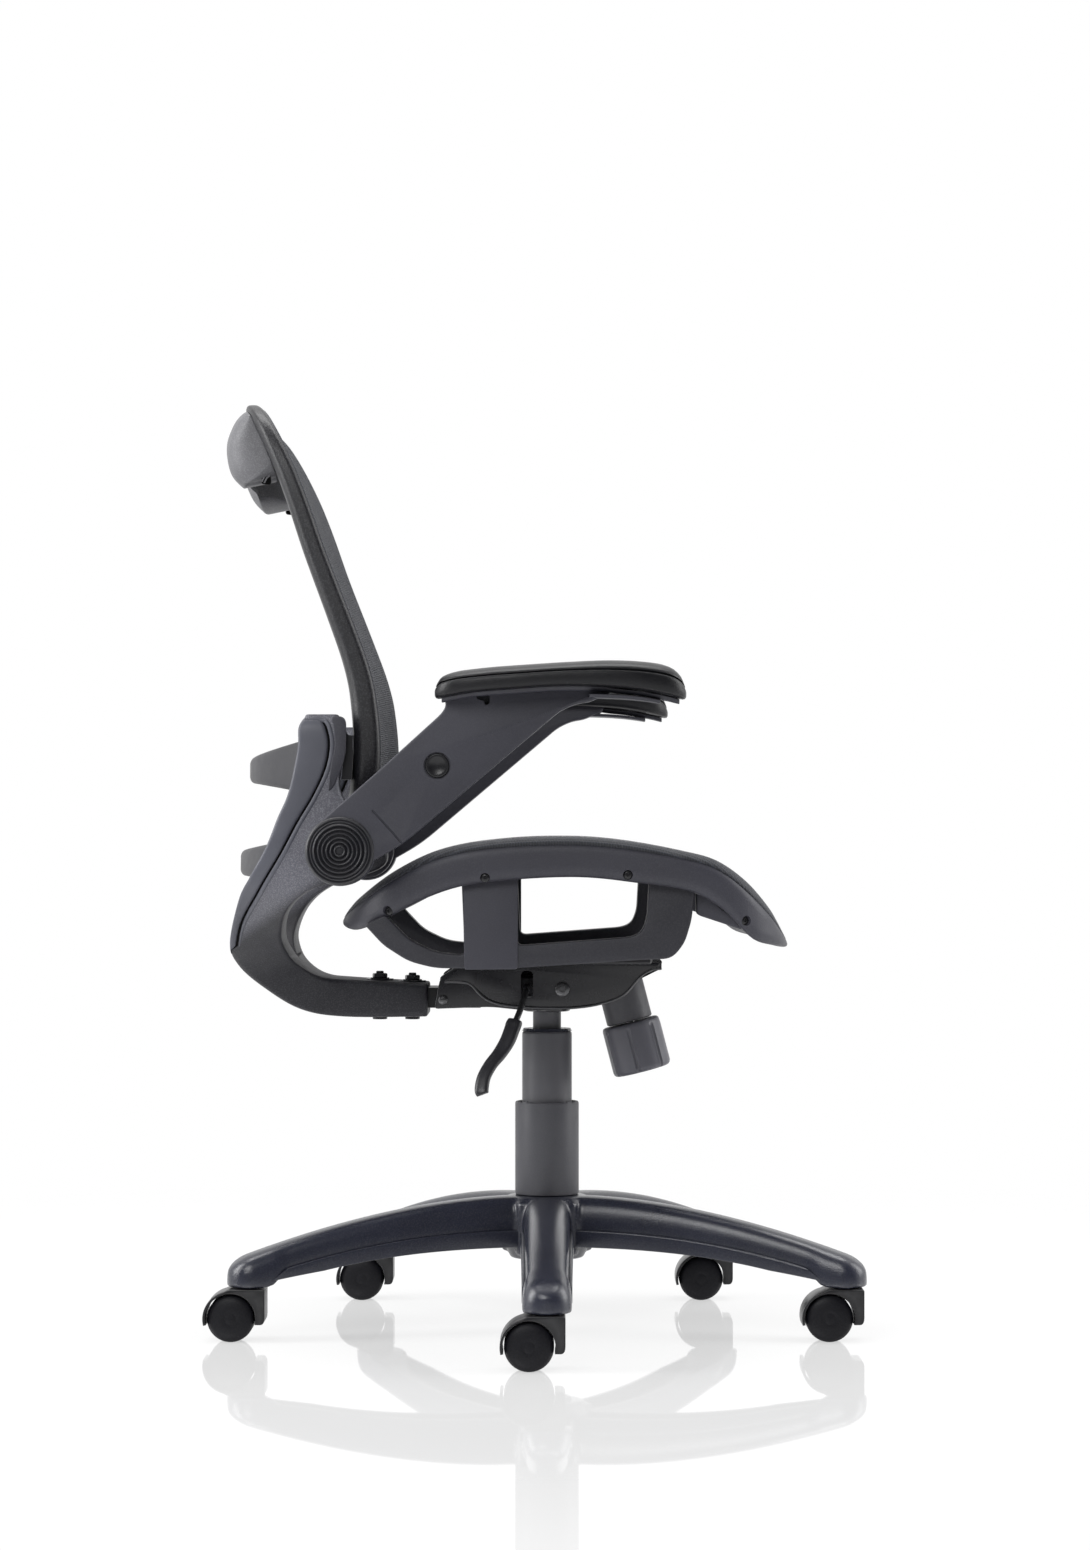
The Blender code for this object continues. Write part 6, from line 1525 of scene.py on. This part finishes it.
    def bolts(self) -> None:
        """The two bolts through the yoke, with washers, nuts and socket heads."""
        for k, x in enumerate(self.bolts_x):
            low, high = (corner.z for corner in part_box(f"yoke_bolt_{k + 1}"))
            top = high - 0.0090
            stud = [(0, low), (0.0030, low), (0.0030, low + 0.0020), (0.0034, low + 0.0020),
                    (0.0062, low + 0.0004), (0.0070, low), (0.0074, low + 0.0006), (0.0074, low + 0.0036),
                    (0.0095, low + 0.0036), (0.0095, low + 0.0046), (0.0040, low + 0.0046), (0.0040, top),
                    (0.0136, top), (0.0138, top + 0.0003), (0.0138, top + 0.0010), (0.0134, top + 0.0013),
                    (0.0094, top + 0.0013), (0.0094, top + 0.0024), (0.0038, top + 0.0024),
                    (0.0038, high - 0.0006), (0.0032, high), (0, high)]
            shank = turned("stud", stud, (x, 0, 0), (0, 0, 1), count=36)
            nut = turned("nut", [(0.0070, 0), (0.0078, 0.0007), (0.0078, 0.0036), (0.0068, 0.0044),
                                 (0.0040, 0.0044)], (x, 0, top + 0.0023), (0, 0, 1), count=6)
            piece = joined([shank, nut], f"carrier_bolt_{k + 1}")
            dress(piece, "tilt", ENAMEL, [f"yoke_bolt_{k + 1}"], angle=25)

    def build(self) -> None:
        """Model and dress the carrier."""
        self.bolts()
        dress(self.yoke(), "tilt", SHELL, ["yoke"], angle=50)
        cover, seam_shade = self.cover()
        flap, ridge = self.flap(), self.ridge()
        for side in Side:
            for piece, slot, finish, nodes in ((cover, "cover", COVER, [f"rear_cover_{side.word}"]),
                                               (seam_shade, "cover", SHADE_FILL, []), (flap, "cover", FRAME, []),
                                               (ridge, "shell", COVER, [])):
                copy = sided(piece, f"{piece.name}_{side.word}", side)
                dress(copy, "tilt", finish, nodes, angle=50)
        for spare in (cover, seam_shade, flap, ridge):
            bpy.data.objects.remove(spare)
        dress(self.cross_bar("upper_bar", (-0.2940, 0.5440, 0.5690), (0.5340, 0.5840)), "tilt", BAR,
              ["lumbar_bar"], angle=50)
        dress(self.cross_bar("lower_bar", (-0.3025, 0.4530, 0.4780), (0.4520, 0.4860)), "tilt", BAR,
              ["lower_crossbar"], angle=50)


@dataclass
class Backrest:
    """The back's ring, its stretched cloth and the lip behind its top rail."""

    bottom: float = 0.5070
    top: float = 0.9085
    half: float = 0.222
    corner: float = 6.5
    rail: float = 0.026
    depths: Pair = (0.0265, 0.0165)
    ledge: float = 0.010
    drop: float = 0.006
    bow: float = 0.012
    crown: float = 0.006
    stations: int = 208
    fronts: tuple[Pair, ...] = (
        (0.507, -0.1595), (0.573, -0.1565), (0.625, -0.1612), (0.655, -0.1685), (0.692, -0.1820),
        (0.760, -0.2085), (0.808, -0.2255), (0.845, -0.2400), (0.8976, -0.2645), (0.9085, -0.2702))
    lip_half: float = 0.163
    lip_end: float = 0.018
    lip_wall: float = 0.006
    lip: tuple[Pair, ...] = ((0.0005, 0.0050), (-0.0080, -0.0040), (-0.0146, -0.0180), (-0.0146, -0.0320),
                             (-0.0098, -0.0452), (0.0012, -0.0545))

    def __post_init__(self) -> None:
        """Draw the back's front line."""
        self.line = smooth_line(self.fronts)
        self.middle = (self.bottom + self.top) / 2

    def plan(self, angle: float, inset_by: float) -> Pair:
        """A point of the back's outline from the front, drawn in by an amount, as Y and Z."""
        c, s = squared(angle, self.corner)
        return (self.half - inset_by) * c, self.middle + ((self.top - self.bottom) / 2 - inset_by) * s

    def depth(self, z: float) -> float:
        """The ring's depth at a height."""
        return mix(*self.depths, (z - self.bottom) / (self.top - self.bottom))

    def spot(self, y: float, z: float, behind: float) -> Point:
        """A point at a distance behind the bowed front of the back."""
        return self.line(z) - self.bow * (1 - min(abs(y) / self.half, 1) ** 2) - behind, y, z

    def ring_piece(self) -> Piece:
        """The moulded ring, with its section rounded at every edge."""
        rail, ledge, drop = self.rail, self.ledge, self.drop
        rings = []
        for angle in ring_angles(self.stations):
            depth = self.depth(self.plan(angle, rail / 2)[1])
            corners = [(0.004, 0), (0, 0.18 * depth), (0.0002, 0.74 * depth), (0.0062, depth),
                       (rail - 0.004, depth), (rail, 0.8 * depth), (rail, drop), (rail - ledge, drop),
                       (rail - ledge - 0.002, 0)]
            section = filleted(corners, [0.003, 0.003, 0.0034, 0.0045, 0.003, 0.003, 0.001, 0.001, 0.0015], 5)
            rings.append([self.spot(*self.plan(angle, inset_by), behind) for inset_by, behind in section])
        return lofted("back_ring", rings, looped=True)

    def cloth(self) -> Piece:
        """The cloth stretched in front of the ring, a little hollowed."""
        held = [(0.0046, 0.0010), (0.0050, 0.0), (0.0062, -0.0006), (0.0090, -0.0010), (0.0130, -0.0012),
                (0.0180, -0.0013), (0.0260, -0.0012)]
        rings, angles = [], ring_angles(self.stations)
        for inset_by, behind in held:
            rings.append([self.spot(*self.plan(a, inset_by), behind) for a in angles])
        for k in range(1, 27):
            share = 1 - 0.96 * k / 26
            ring = []
            for a in angles:
                y, z = self.plan(a, 0.026)
                y, z = y * share, self.middle + (z - self.middle) * share
                ring.append(self.spot(y, z, -0.0012 + self.crown * (1 - share**2)))
            rings.append(ring)
        piece = lofted("back_cloth", rings, capped=False)
        close_middle(piece, lambda spot: math.hypot(spot.z - self.middle, spot.y) < 0.0145)
        lengths = run_lengths(self.line, self.bottom, self.top)
        half, tall = self.half - 0.0090, (self.top - self.bottom) / 2 - 0.0090

        def in_hem(spot: Vector) -> bool:
            """Whether a point lies in the closed hem."""
            z, y = abs(spot.z - self.middle) / tall, abs(spot.y) / half
            return z**self.corner + y**self.corner > 1

        return finished_cloth(piece, lambda spot: (spot.y, lengths(spot.z)), in_hem)

    def lip_ring(self, t: float, past: float) -> list[Point]:
        """A section of the lip, which stays on the rail where its ends draw in.

        Args:
            t: The place across the lip, from -1 to 1.
            past: How far into a rounded end it lies, from 0 to 1.

        Returns:
            The section's ring.
        """
        turn = math.pi / 2 * past
        y = self.lip_half * t + math.copysign(self.lip_end * math.sin(turn), t)
        fall = (1 - (abs(y) / self.half) ** self.corner) ** (1 / self.corner)
        rail_z = self.middle + (self.top - self.middle) * fall - self.rail / 2
        end = min(max((abs(t) - 0.45) / 0.45, 0), 1)
        end = end * end * (3 - 2 * end)
        shut = min(max((abs(t) - 0.62) / 0.12, 0), 1)
        swell = 0.90 + 0.10 * math.sqrt(max(1 - t**10, 0))
        drop = swell * (1 + 0.26 * end) * (1 - 0.30 * (1 - math.cos(turn)))
        base = self.spot(y, rail_z, self.depth(rail_z))[0] - 0.0004
        places = [(dx, rail_z + min(dz, 0) * drop + max(dz, 0)) for dx, dz in resampled(self.lip, 4)]

        def rail(z: float) -> float:
            """The rear face of the rail at a height."""
            return self.spot(y, z, self.depth(z))[0] - 0.0003

        keep = 1 - 0.72 * (1 - math.cos(turn))
        outer = [(mix(rail(z), base + dx * swell - self.lip_wall, keep), z) for dx, z in places]
        inner = [(mix(min(base + dx * swell, rail(z)), rail(z), shut), z + 0.0018)
                 for dx, z in reversed(places[:-2])]
        return [(x, y, z) for x, z in filleted(outer + inner, 0.0012, 2)]

    def lip_piece(self) -> Piece:
        """The lip behind the top rail, a hollow grip in the middle with closed cheeks at its ends."""
        rings = [self.lip_ring(2 * k / 80 - 1, 0) for k in range(81)]
        for k in range(1, 8):
            rings = [self.lip_ring(-1, k / 7), *rings, self.lip_ring(1, k / 7)]
        return lofted("top_lip", rings)

    def hooks(self) -> tuple[Piece, Piece]:
        """A dark plate of painted shade standing for the slot in the right cheek of the lip, and the two ribs
        across it.
        """
        corners = [(-0.2735, 0.8280), (-0.2630, 0.8275), (-0.2655, 0.8420), (-0.2705, 0.8415)]
        slot = slab("lip_slot", filleted(corners, 0.0035, 5), -0.1745, -0.1690, 0.0006, 2)
        ribs = [along(f"lip_rib_{k}", [(x, -0.1748, 0.8300 + lift), (x + 0.0022, -0.1750, 0.8345 + lift),
                                       (x + 0.0050, -0.1748, 0.8370 + lift)], [(0.0006, 0.0008)] * 3, 2.0, 10)
                for k, (x, lift) in enumerate(((-0.2722, 0.0), (-0.2698, -0.0012)))]
        return slot, joined(ribs, "lip_ribs")

    def build(self) -> None:
        """Model and dress the backrest."""
        dress(self.ring_piece(), "tilt", BACK, ["back_frame"], angle=50)
        cloth = dress(self.cloth(), "tilt", CLOTH, ["back_mesh"], angle=80)
        dress(self.lip_piece(), "tilt", LIP_WITH_PAINTED_LIGHT, ["top_grip"], angle=50)
        # The slot's plate takes the painted shade fill.
        for piece, finish in zip(self.hooks(), (SHADE_FILL, LIP_WITH_PAINTED_LIGHT)):
            dress(mirrored(piece, f"{piece.name}_left"), "tilt", finish)
            dress(piece, "tilt", finish)


@dataclass
class Armrest:
    """The right armrest, which is then copied to the left."""

    pivot: Pair = (-0.1925, 0.4777)
    hub: float = 0.0326
    web: Pair = (0.250, 0.276)
    upper: tuple[Pair, ...] = ((-0.1526, 0.5559), (-0.0930, 0.6100))
    lower: tuple[Pair, ...] = (
        (0.0586, 0.6236), (0.0530, 0.6226), (0.0400, 0.6166), (0.0270, 0.6147), (0.0121, 0.6082),
        (-0.0065, 0.5924), (-0.1342, 0.4843))
    # Places along the pad, and how far the web reaches up into it there.
    under_pad: tuple[Pair, ...] = (
        (-0.0962, 0.0030), (-0.0700, 0.0052), (-0.0450, 0.0052), (-0.0200, 0.0052), (0.0050, 0.0050),
        (0.0300, 0.0040), (0.0605, 0.0006))
    web_rim: float = 0.0019
    plug: Pair = (-0.102, 0.557)
    pad_ends: Pair = (-0.1042, 0.1293)
    pad_y: float = 0.275
    pad_half: float = 0.039
    pad_corner: float = 3.2
    pad_crown: float = 0.003
    pad_tops: tuple[Pair, ...] = (
        (-0.1042, 0.6330), (-0.0970, 0.6410), (-0.0633, 0.6471), (-0.0177, 0.6508), (0.0240, 0.6534),
        (0.0560, 0.6546), (0.0860, 0.6536), (0.1120, 0.6494), (0.1240, 0.6420), (0.1293, 0.6310))
    pad_seams: tuple[Pair, ...] = (
        (-0.1042, 0.6180), (-0.0754, 0.6238), (-0.0326, 0.6275), (0.0121, 0.6303), (0.0540, 0.6294),
        (0.0865, 0.6266), (0.1163, 0.6210), (0.1293, 0.6170))
    plate: float = 0.0042
    plate_half: float = 0.014
    ridges: float = 0.0039

    def __post_init__(self) -> None:
        """Draw the pad's upper and lower line."""
        self.pad_top, self.pad_seam = smooth_line(self.pad_tops), smooth_line(self.pad_seams)

    def arm(self) -> Piece:
        """The web with its hub, seam and plug recess."""
        ends = [(x, self.pad_seam(x) + rise) for x, rise in self.under_pad]
        round_hub = arc(self.pivot, self.hub, -16, 137 - 360, 40)
        corners = [round_hub[-1], *self.upper, *ends, *self.lower, round_hub[0]]
        cuts = [1e-5, 0.014, 0.012, 0.004, *[0.008] * 5, 0.003, 0.0028, 0.003, 0.006, 0.006, 0.008, 0.012,
                0.018, 1e-5]
        outline = round_hub + filleted(corners, cuts, 5)[6:-6]
        web = slab("arm", outline, -self.web[1], -self.web[0], self.web_rim, 5)
        boss = turned("boss", [(0.0285, 0.2263), (0.0300, 0.2275), (0.0300, 0.2520)],
                      (self.pivot[0], 0, self.pivot[1]), (0, -1, 0))
        y = -self.web[1]
        recess = turned("recess", [(0.0126, -0.0034), (0.0126, 0.01)], (self.plug[0], y, self.plug[1]),
                        (0, -1, 0), count=48)
        path = resampled([(-0.1622, y, 0.5155), (-0.1480, y, 0.5000), (-0.1330, y, 0.4830)], 6)
        seam = along("seam", path, [(0.0014, 0.0010)] * len(path), 3.0, 12)
        corners = [(-0.0660, 0.6300), (-0.0528, 0.6300), (-0.0532, 0.6150), (-0.0570, 0.6128),
                   (-0.0590, 0.6170), (-0.0650, 0.6190)]
        notch = slab("notch", filleted(corners, 0.0008, 2), y - 0.01, y + 0.012, 0.0002, 1)
        carve(web, joined([recess, seam, notch], "arm_cuts"), Solver.MANIFOLD)
        return joined([web, boss], "arm")

    def fittings(self) -> tuple[Piece, Piece]:
        """The plug in the arm's recess, and the ribbed hub cap."""
        y = -self.web[1]
        plug = turned("arm_plug", [(0.0112, -0.0036), (0.0112, -0.0024), (0.0106, -0.0016), (0.0094, -0.0014),
                                   (0.0075, -0.0018), (0.0045, -0.0024), (0, -0.0027)],
                      (self.plug[0], y, self.plug[1]), (0, -1, 0), count=48)
        profile = [(0.0322, -0.0065), (0.0325, -0.0030), (0.0321, -0.0006), (0.0312, 0.0010),
                   (0.0301, 0.0015), (0.0291, 0.0011), (0.0285, 0.0003)]
        for step in range(62):
            radius = 0.0281 - 0.0004 * step
            wave = 0.5 + 0.5 * math.cos(2 * math.pi * (radius - 0.0241) / self.ridges)
            profile.append((radius, 0.0008 + 0.0026 * min(1, step / 6) * wave**0.7))
        profile += [(0.0030, 0.0012), (0, 0.0012)]
        cap = turned("hub_cap", profile, (self.pivot[0], -0.2763, self.pivot[1]), (0, -1, 0), count=80)
        return plug, cap

    def pad(self) -> Piece:
        """The soft pad: a stack of outlines, creased all round where its two skins meet."""
        middle, length = sum(self.pad_ends) / 2, (self.pad_ends[1] - self.pad_ends[0]) / 2
        levels = [(0.0, 0.0065), (0.03, 0.0030), (0.09, 0.0012), (0.20, 0.0003), (0.34, 0.0), (0.52, 0.0),
                  (0.62, 0.0004), (0.655, 0.0009), (0.678, 0.0018), (0.695, 0.0034), (0.702, 0.0034),
                  (0.718, 0.0018), (0.740, 0.0012), (0.77, 0.0014), (0.83, 0.0024), (0.89, 0.0046),
                  (0.935, 0.0076), (0.965, 0.0112), (0.985, 0.0155), (1.0, 0.0215)]
        angles = [2 * math.pi * (k + 0.5) / 120 for k in range(120)]
        angles = [a + 0.12 * math.sin(2 * a) - 0.03 * math.sin(4 * a) for a in angles]
        rings = []
        stack = [(*levels[0], share) for share in (0.12, 0.40, 0.70)] + [(*row, 1.0) for row in levels]
        stack += [(*levels[-1], share) for share in (0.70, 0.40, 0.12)]
        for level, draw, scale in stack:
            ring = []
            for a in angles:
                c, s = squared(a, self.pad_corner)
                x = middle + (length - draw) * c * scale
                y = (self.pad_half - draw) * s * scale
                z = mix(self.pad_seam(x), self.pad_top(x), level)
                ring.append((x, y - self.pad_y, z - self.pad_crown * (y / self.pad_half) ** 2 * level))
            rings.append(ring)
        return lofted("arm_pad_skin", rings)

    def plates(self) -> Piece:
        """The plate under the pad, and the thin rib under its front."""
        spots = [mix(self.pad_ends[0] + 0.008, self.pad_ends[1] - 0.008, k / 30) for k in range(31)]
        rings = []
        for k, x in enumerate(spots):
            half = self.plate_half * (1 - 0.25 * abs(2 * k / 30 - 1) ** 6)
            high = self.pad_seam(x) + 0.0004 - 0.0012 * min(max((x - 0.055) / 0.01, 0), 1)
            low = high - self.plate
            corners = [(-half, high), (half, high), (half - 0.002, low), (0.002 - half, low)]
            rings.append([(x, y - self.pad_y, z) for y, z in filleted(corners, 0.0016, 3)])
        plate = lofted("pad_plate", round_ends(rings, 0.0015, 0.12, 2))
        rings = []
        for k in range(17):
            x = mix(0.040, 0.104, k / 16)
            half = 0.022 * (1 - 0.3 * (k / 16) ** 3)
            high = self.pad_seam(x) - 0.0058 - 0.0012 * (1 - k / 16)
            low = high - 0.0030
            corners = [(-half, high), (half, high), (half - 0.001, low), (0.001 - half, low)]
            rings.append([(x, y - self.pad_y, z) for y, z in filleted(corners, 0.0010, 3)])
        rib = lofted("pad_rib", round_ends(rings, 0.001, 0.12, 2))
        return joined([plate, rib], "pad_plates")

    def build(self) -> None:
        """Model the right armrest and dress it and its copy."""
        arm, pad, plates = self.arm(), self.pad(), self.plates()
        plug, cap = self.fittings()
        for side in Side:
            body = f"arm_{side.word}"
            for piece, slot, finish, nodes in ((arm, "cover", ARM, [f"arm_{side.word}"]),
                                               (plates, "cover", ARM, []), (plug, "cover", PLUG, []),
                                               (cap, "cover", RUBBER, [f"pivot_cap_{side.word}"]),
                                               (pad, "pad", PAD, [f"arm_pad_{side.word}"])):
                copy = sided(piece, f"{piece.name}_shape_{side.word}", side)
                dress(copy, body, finish, nodes, angle=42)
        for spare in (arm, pad, plates, plug, cap):
            bpy.data.objects.remove(spare)


@dataclass
class InnerWorks:
    """CAD nodes that keep their own shape and only get a finish."""

    enamelled: tuple[str, ...] = ("back_tongue", "seat_pan", "back_mount_right", "back_mount_left")
    bright: tuple[str, ...] = ("piston_rod", "retaining_clip", "release_pin", "tension_spring",
                               "tension_bolt", "pivot_bolt_right", "pivot_bolt_left")
    nylon: tuple[str, ...] = ("guide_bush",)

    def build(self, frame: dict) -> None:
        """Give each node its finish.
        """
        for names, finish in ((self.enamelled, PLATE), (self.bright, BRIGHT), (self.nylon, NYLON)):
            for name in names:
                node = frame["nodes"][name]
                node.data.materials.clear()
                node.data.materials.append(finish.material())
                LOG.info("%s: kept, in %s", name, finish.name)


@dataclass
class Studio:
    """The camera, the lamps, the world and the pale floor."""

    distance: float = 3.85
    eye: float = 0.488
    lens: float = 89.42
    principal: Pair = (547, 840)
    floor: float = 3.2
    floor_fade: Pair = (0.6, 1.7)
    floor_glow: float = 0.74
    floor_gloss: float = 0.28
    fill_light: float = 0.46
    dark_side: float = 0.07

    def camera(self) -> None:
        """Place the camera square to the chair's right side."""
        data = bpy.data.cameras.new("camera")
        data.lens, data.sensor_width = self.lens, 36
        data.shift_x = (PHOTO_SIZE[0] / 2 - self.principal[0]) / max(PHOTO_SIZE)
        data.shift_y = (self.principal[1] - PHOTO_SIZE[1] / 2) / max(PHOTO_SIZE)
        camera = bpy.data.objects.new("camera", data)
        camera.location = (0, -self.distance, self.eye)
        camera.rotation_euler = (math.pi / 2, 0, 0)
        bpy.context.scene.collection.objects.link(camera)
        bpy.context.scene.camera = camera

    def lamp(self, name: str, place: Point, aim: Point, size: Pair, power: float) -> None:
        """Hang a soft box.

        Args:
            name: The lamp's name.
            place: Where it hangs.
            aim: What it points at.
            size: Its width and height.
            power: Its power in watts.
        """
        data = bpy.data.lights.new(name, "AREA")
        data.shape, data.size, data.size_y, data.energy = "RECTANGLE", *size, power
        lamp = bpy.data.objects.new(name, data)
        lamp.location = place
        lamp.rotation_euler = (Vector(aim) - Vector(place)).to_track_quat("-Z", "Y").to_euler()
        bpy.context.scene.collection.objects.link(lamp)

    def world(self) -> None:
        """White where it is seen or mirrored, and dimmer as a light."""
        world = bpy.data.worlds.new("studio")
        world.use_nodes = True
        nodes = Nodes(world.node_tree)
        camera, seen = nodes.sight()
        back = next(n for n in world.node_tree.nodes if n.type == "BACKGROUND")
        back.inputs["Color"].default_value = (1, 1, 1, 1)
        way = nodes.add("ShaderNodeSeparateXYZ", Vector=nodes.add("ShaderNodeTexCoord").outputs["Generated"])
        wall = nodes.maths("MAXIMUM", nodes.ranged(way.outputs["Y"], -0.62, 0.08, self.dark_side, 1.0),
                           nodes.ranged(way.outputs["Z"], -0.14, -0.02, 1.0, 0.0))
        shown = nodes.add("ShaderNodeMix", i0=camera, i2=wall, i3=1.0)
        strength = nodes.add("ShaderNodeMix", i0=seen, i2=self.fill_light, i3=shown.outputs[0])
        world.node_tree.links.new(strength.outputs[0], back.inputs["Strength"])
        bpy.context.scene.world = world

    def ground(self) -> None:
        """A round white floor that fades out and takes the shadow."""
        set_down()
        bpy.ops.mesh.primitive_circle_add(vertices=96, radius=self.floor, fill_type="NGON")
        floor = bpy.context.object
        floor.name = "studio_floor"
        material = bpy.data.materials.new("studio_floor")
        material.use_nodes = True
        nodes = Nodes(material.node_tree)
        material.node_tree.nodes.clear()
        place = nodes.add("ShaderNodeTexCoord").outputs["Object"]
        far = nodes.add("ShaderNodeVectorMath", {"operation": "LENGTH"}, i0=place).outputs["Value"]
        fade = nodes.ranged(far, *self.floor_fade)
        matt = nodes.add("ShaderNodeBsdfDiffuse", Color=(0.93, 0.93, 0.93, 1))
        sheen = nodes.add("ShaderNodeBsdfGlossy", Color=(1, 1, 1, 1), Roughness=0.025)
        glow = nodes.add("ShaderNodeEmission", Color=(1, 1, 1, 1))
        share = nodes.maths("MULTIPLY", nodes.sight()[1], self.floor_glow)
        lit = nodes.add("ShaderNodeMixShader", i0=share, i1=matt.outputs[0], i2=glow.outputs[0])
        both = nodes.add("ShaderNodeMixShader", i0=self.floor_gloss, i1=lit.outputs[0], i2=sheen.outputs[0])
        clear = nodes.add("ShaderNodeBsdfTransparent")
        out = nodes.add("ShaderNodeMixShader", i0=fade, i1=both.outputs[0], i2=clear.outputs[0])
        end = nodes.add("ShaderNodeOutputMaterial")
        material.node_tree.links.new(out.outputs[0], end.inputs["Surface"])
        floor.data.materials.append(material)

    def build(self) -> None:
        """Set up the studio."""
        self.camera()
        self.world()
        self.ground()
        middle = (0.0, 0.0, 0.5)
        self.lamp("top_box", (0.0, 0.1, 2.5), middle, (2.4, 0.9), 38)
        self.lamp("rear_box", (-2.0, -0.4, 1.2), middle, (0.8, 1.6), 30)
        self.lamp("front_box", (2.1, 0.1, 1.2), middle, (1.0, 1.8), 21)
        self.lamp("fill_box", (-0.9, -2.6, 1.9), middle, (1.6, 1.0), 31)
        bpy.context.scene.view_settings.view_transform = "Standard"


def clear_startup() -> None:
    """Remove the startup scene's objects."""
    for thing in list(bpy.data.objects):
        bpy.data.objects.remove(thing)


def main() -> None:
    """Build the chair and its studio."""
    logging.basicConfig(level=logging.INFO, format="%(name)s: %(message)s")
    clear_startup()
    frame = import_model()
    Studio().build()
    InnerWorks().build(frame)
    base = StarBase()
    base.build()
    Casters().build(base)
    Column().build()
    Mechanism().build()
    LiftLever().build()
    Seat().build()
    Carrier().build()
    Backrest().build()
    Armrest().build()
    set_down()


if __name__ == "__main__":
    main()
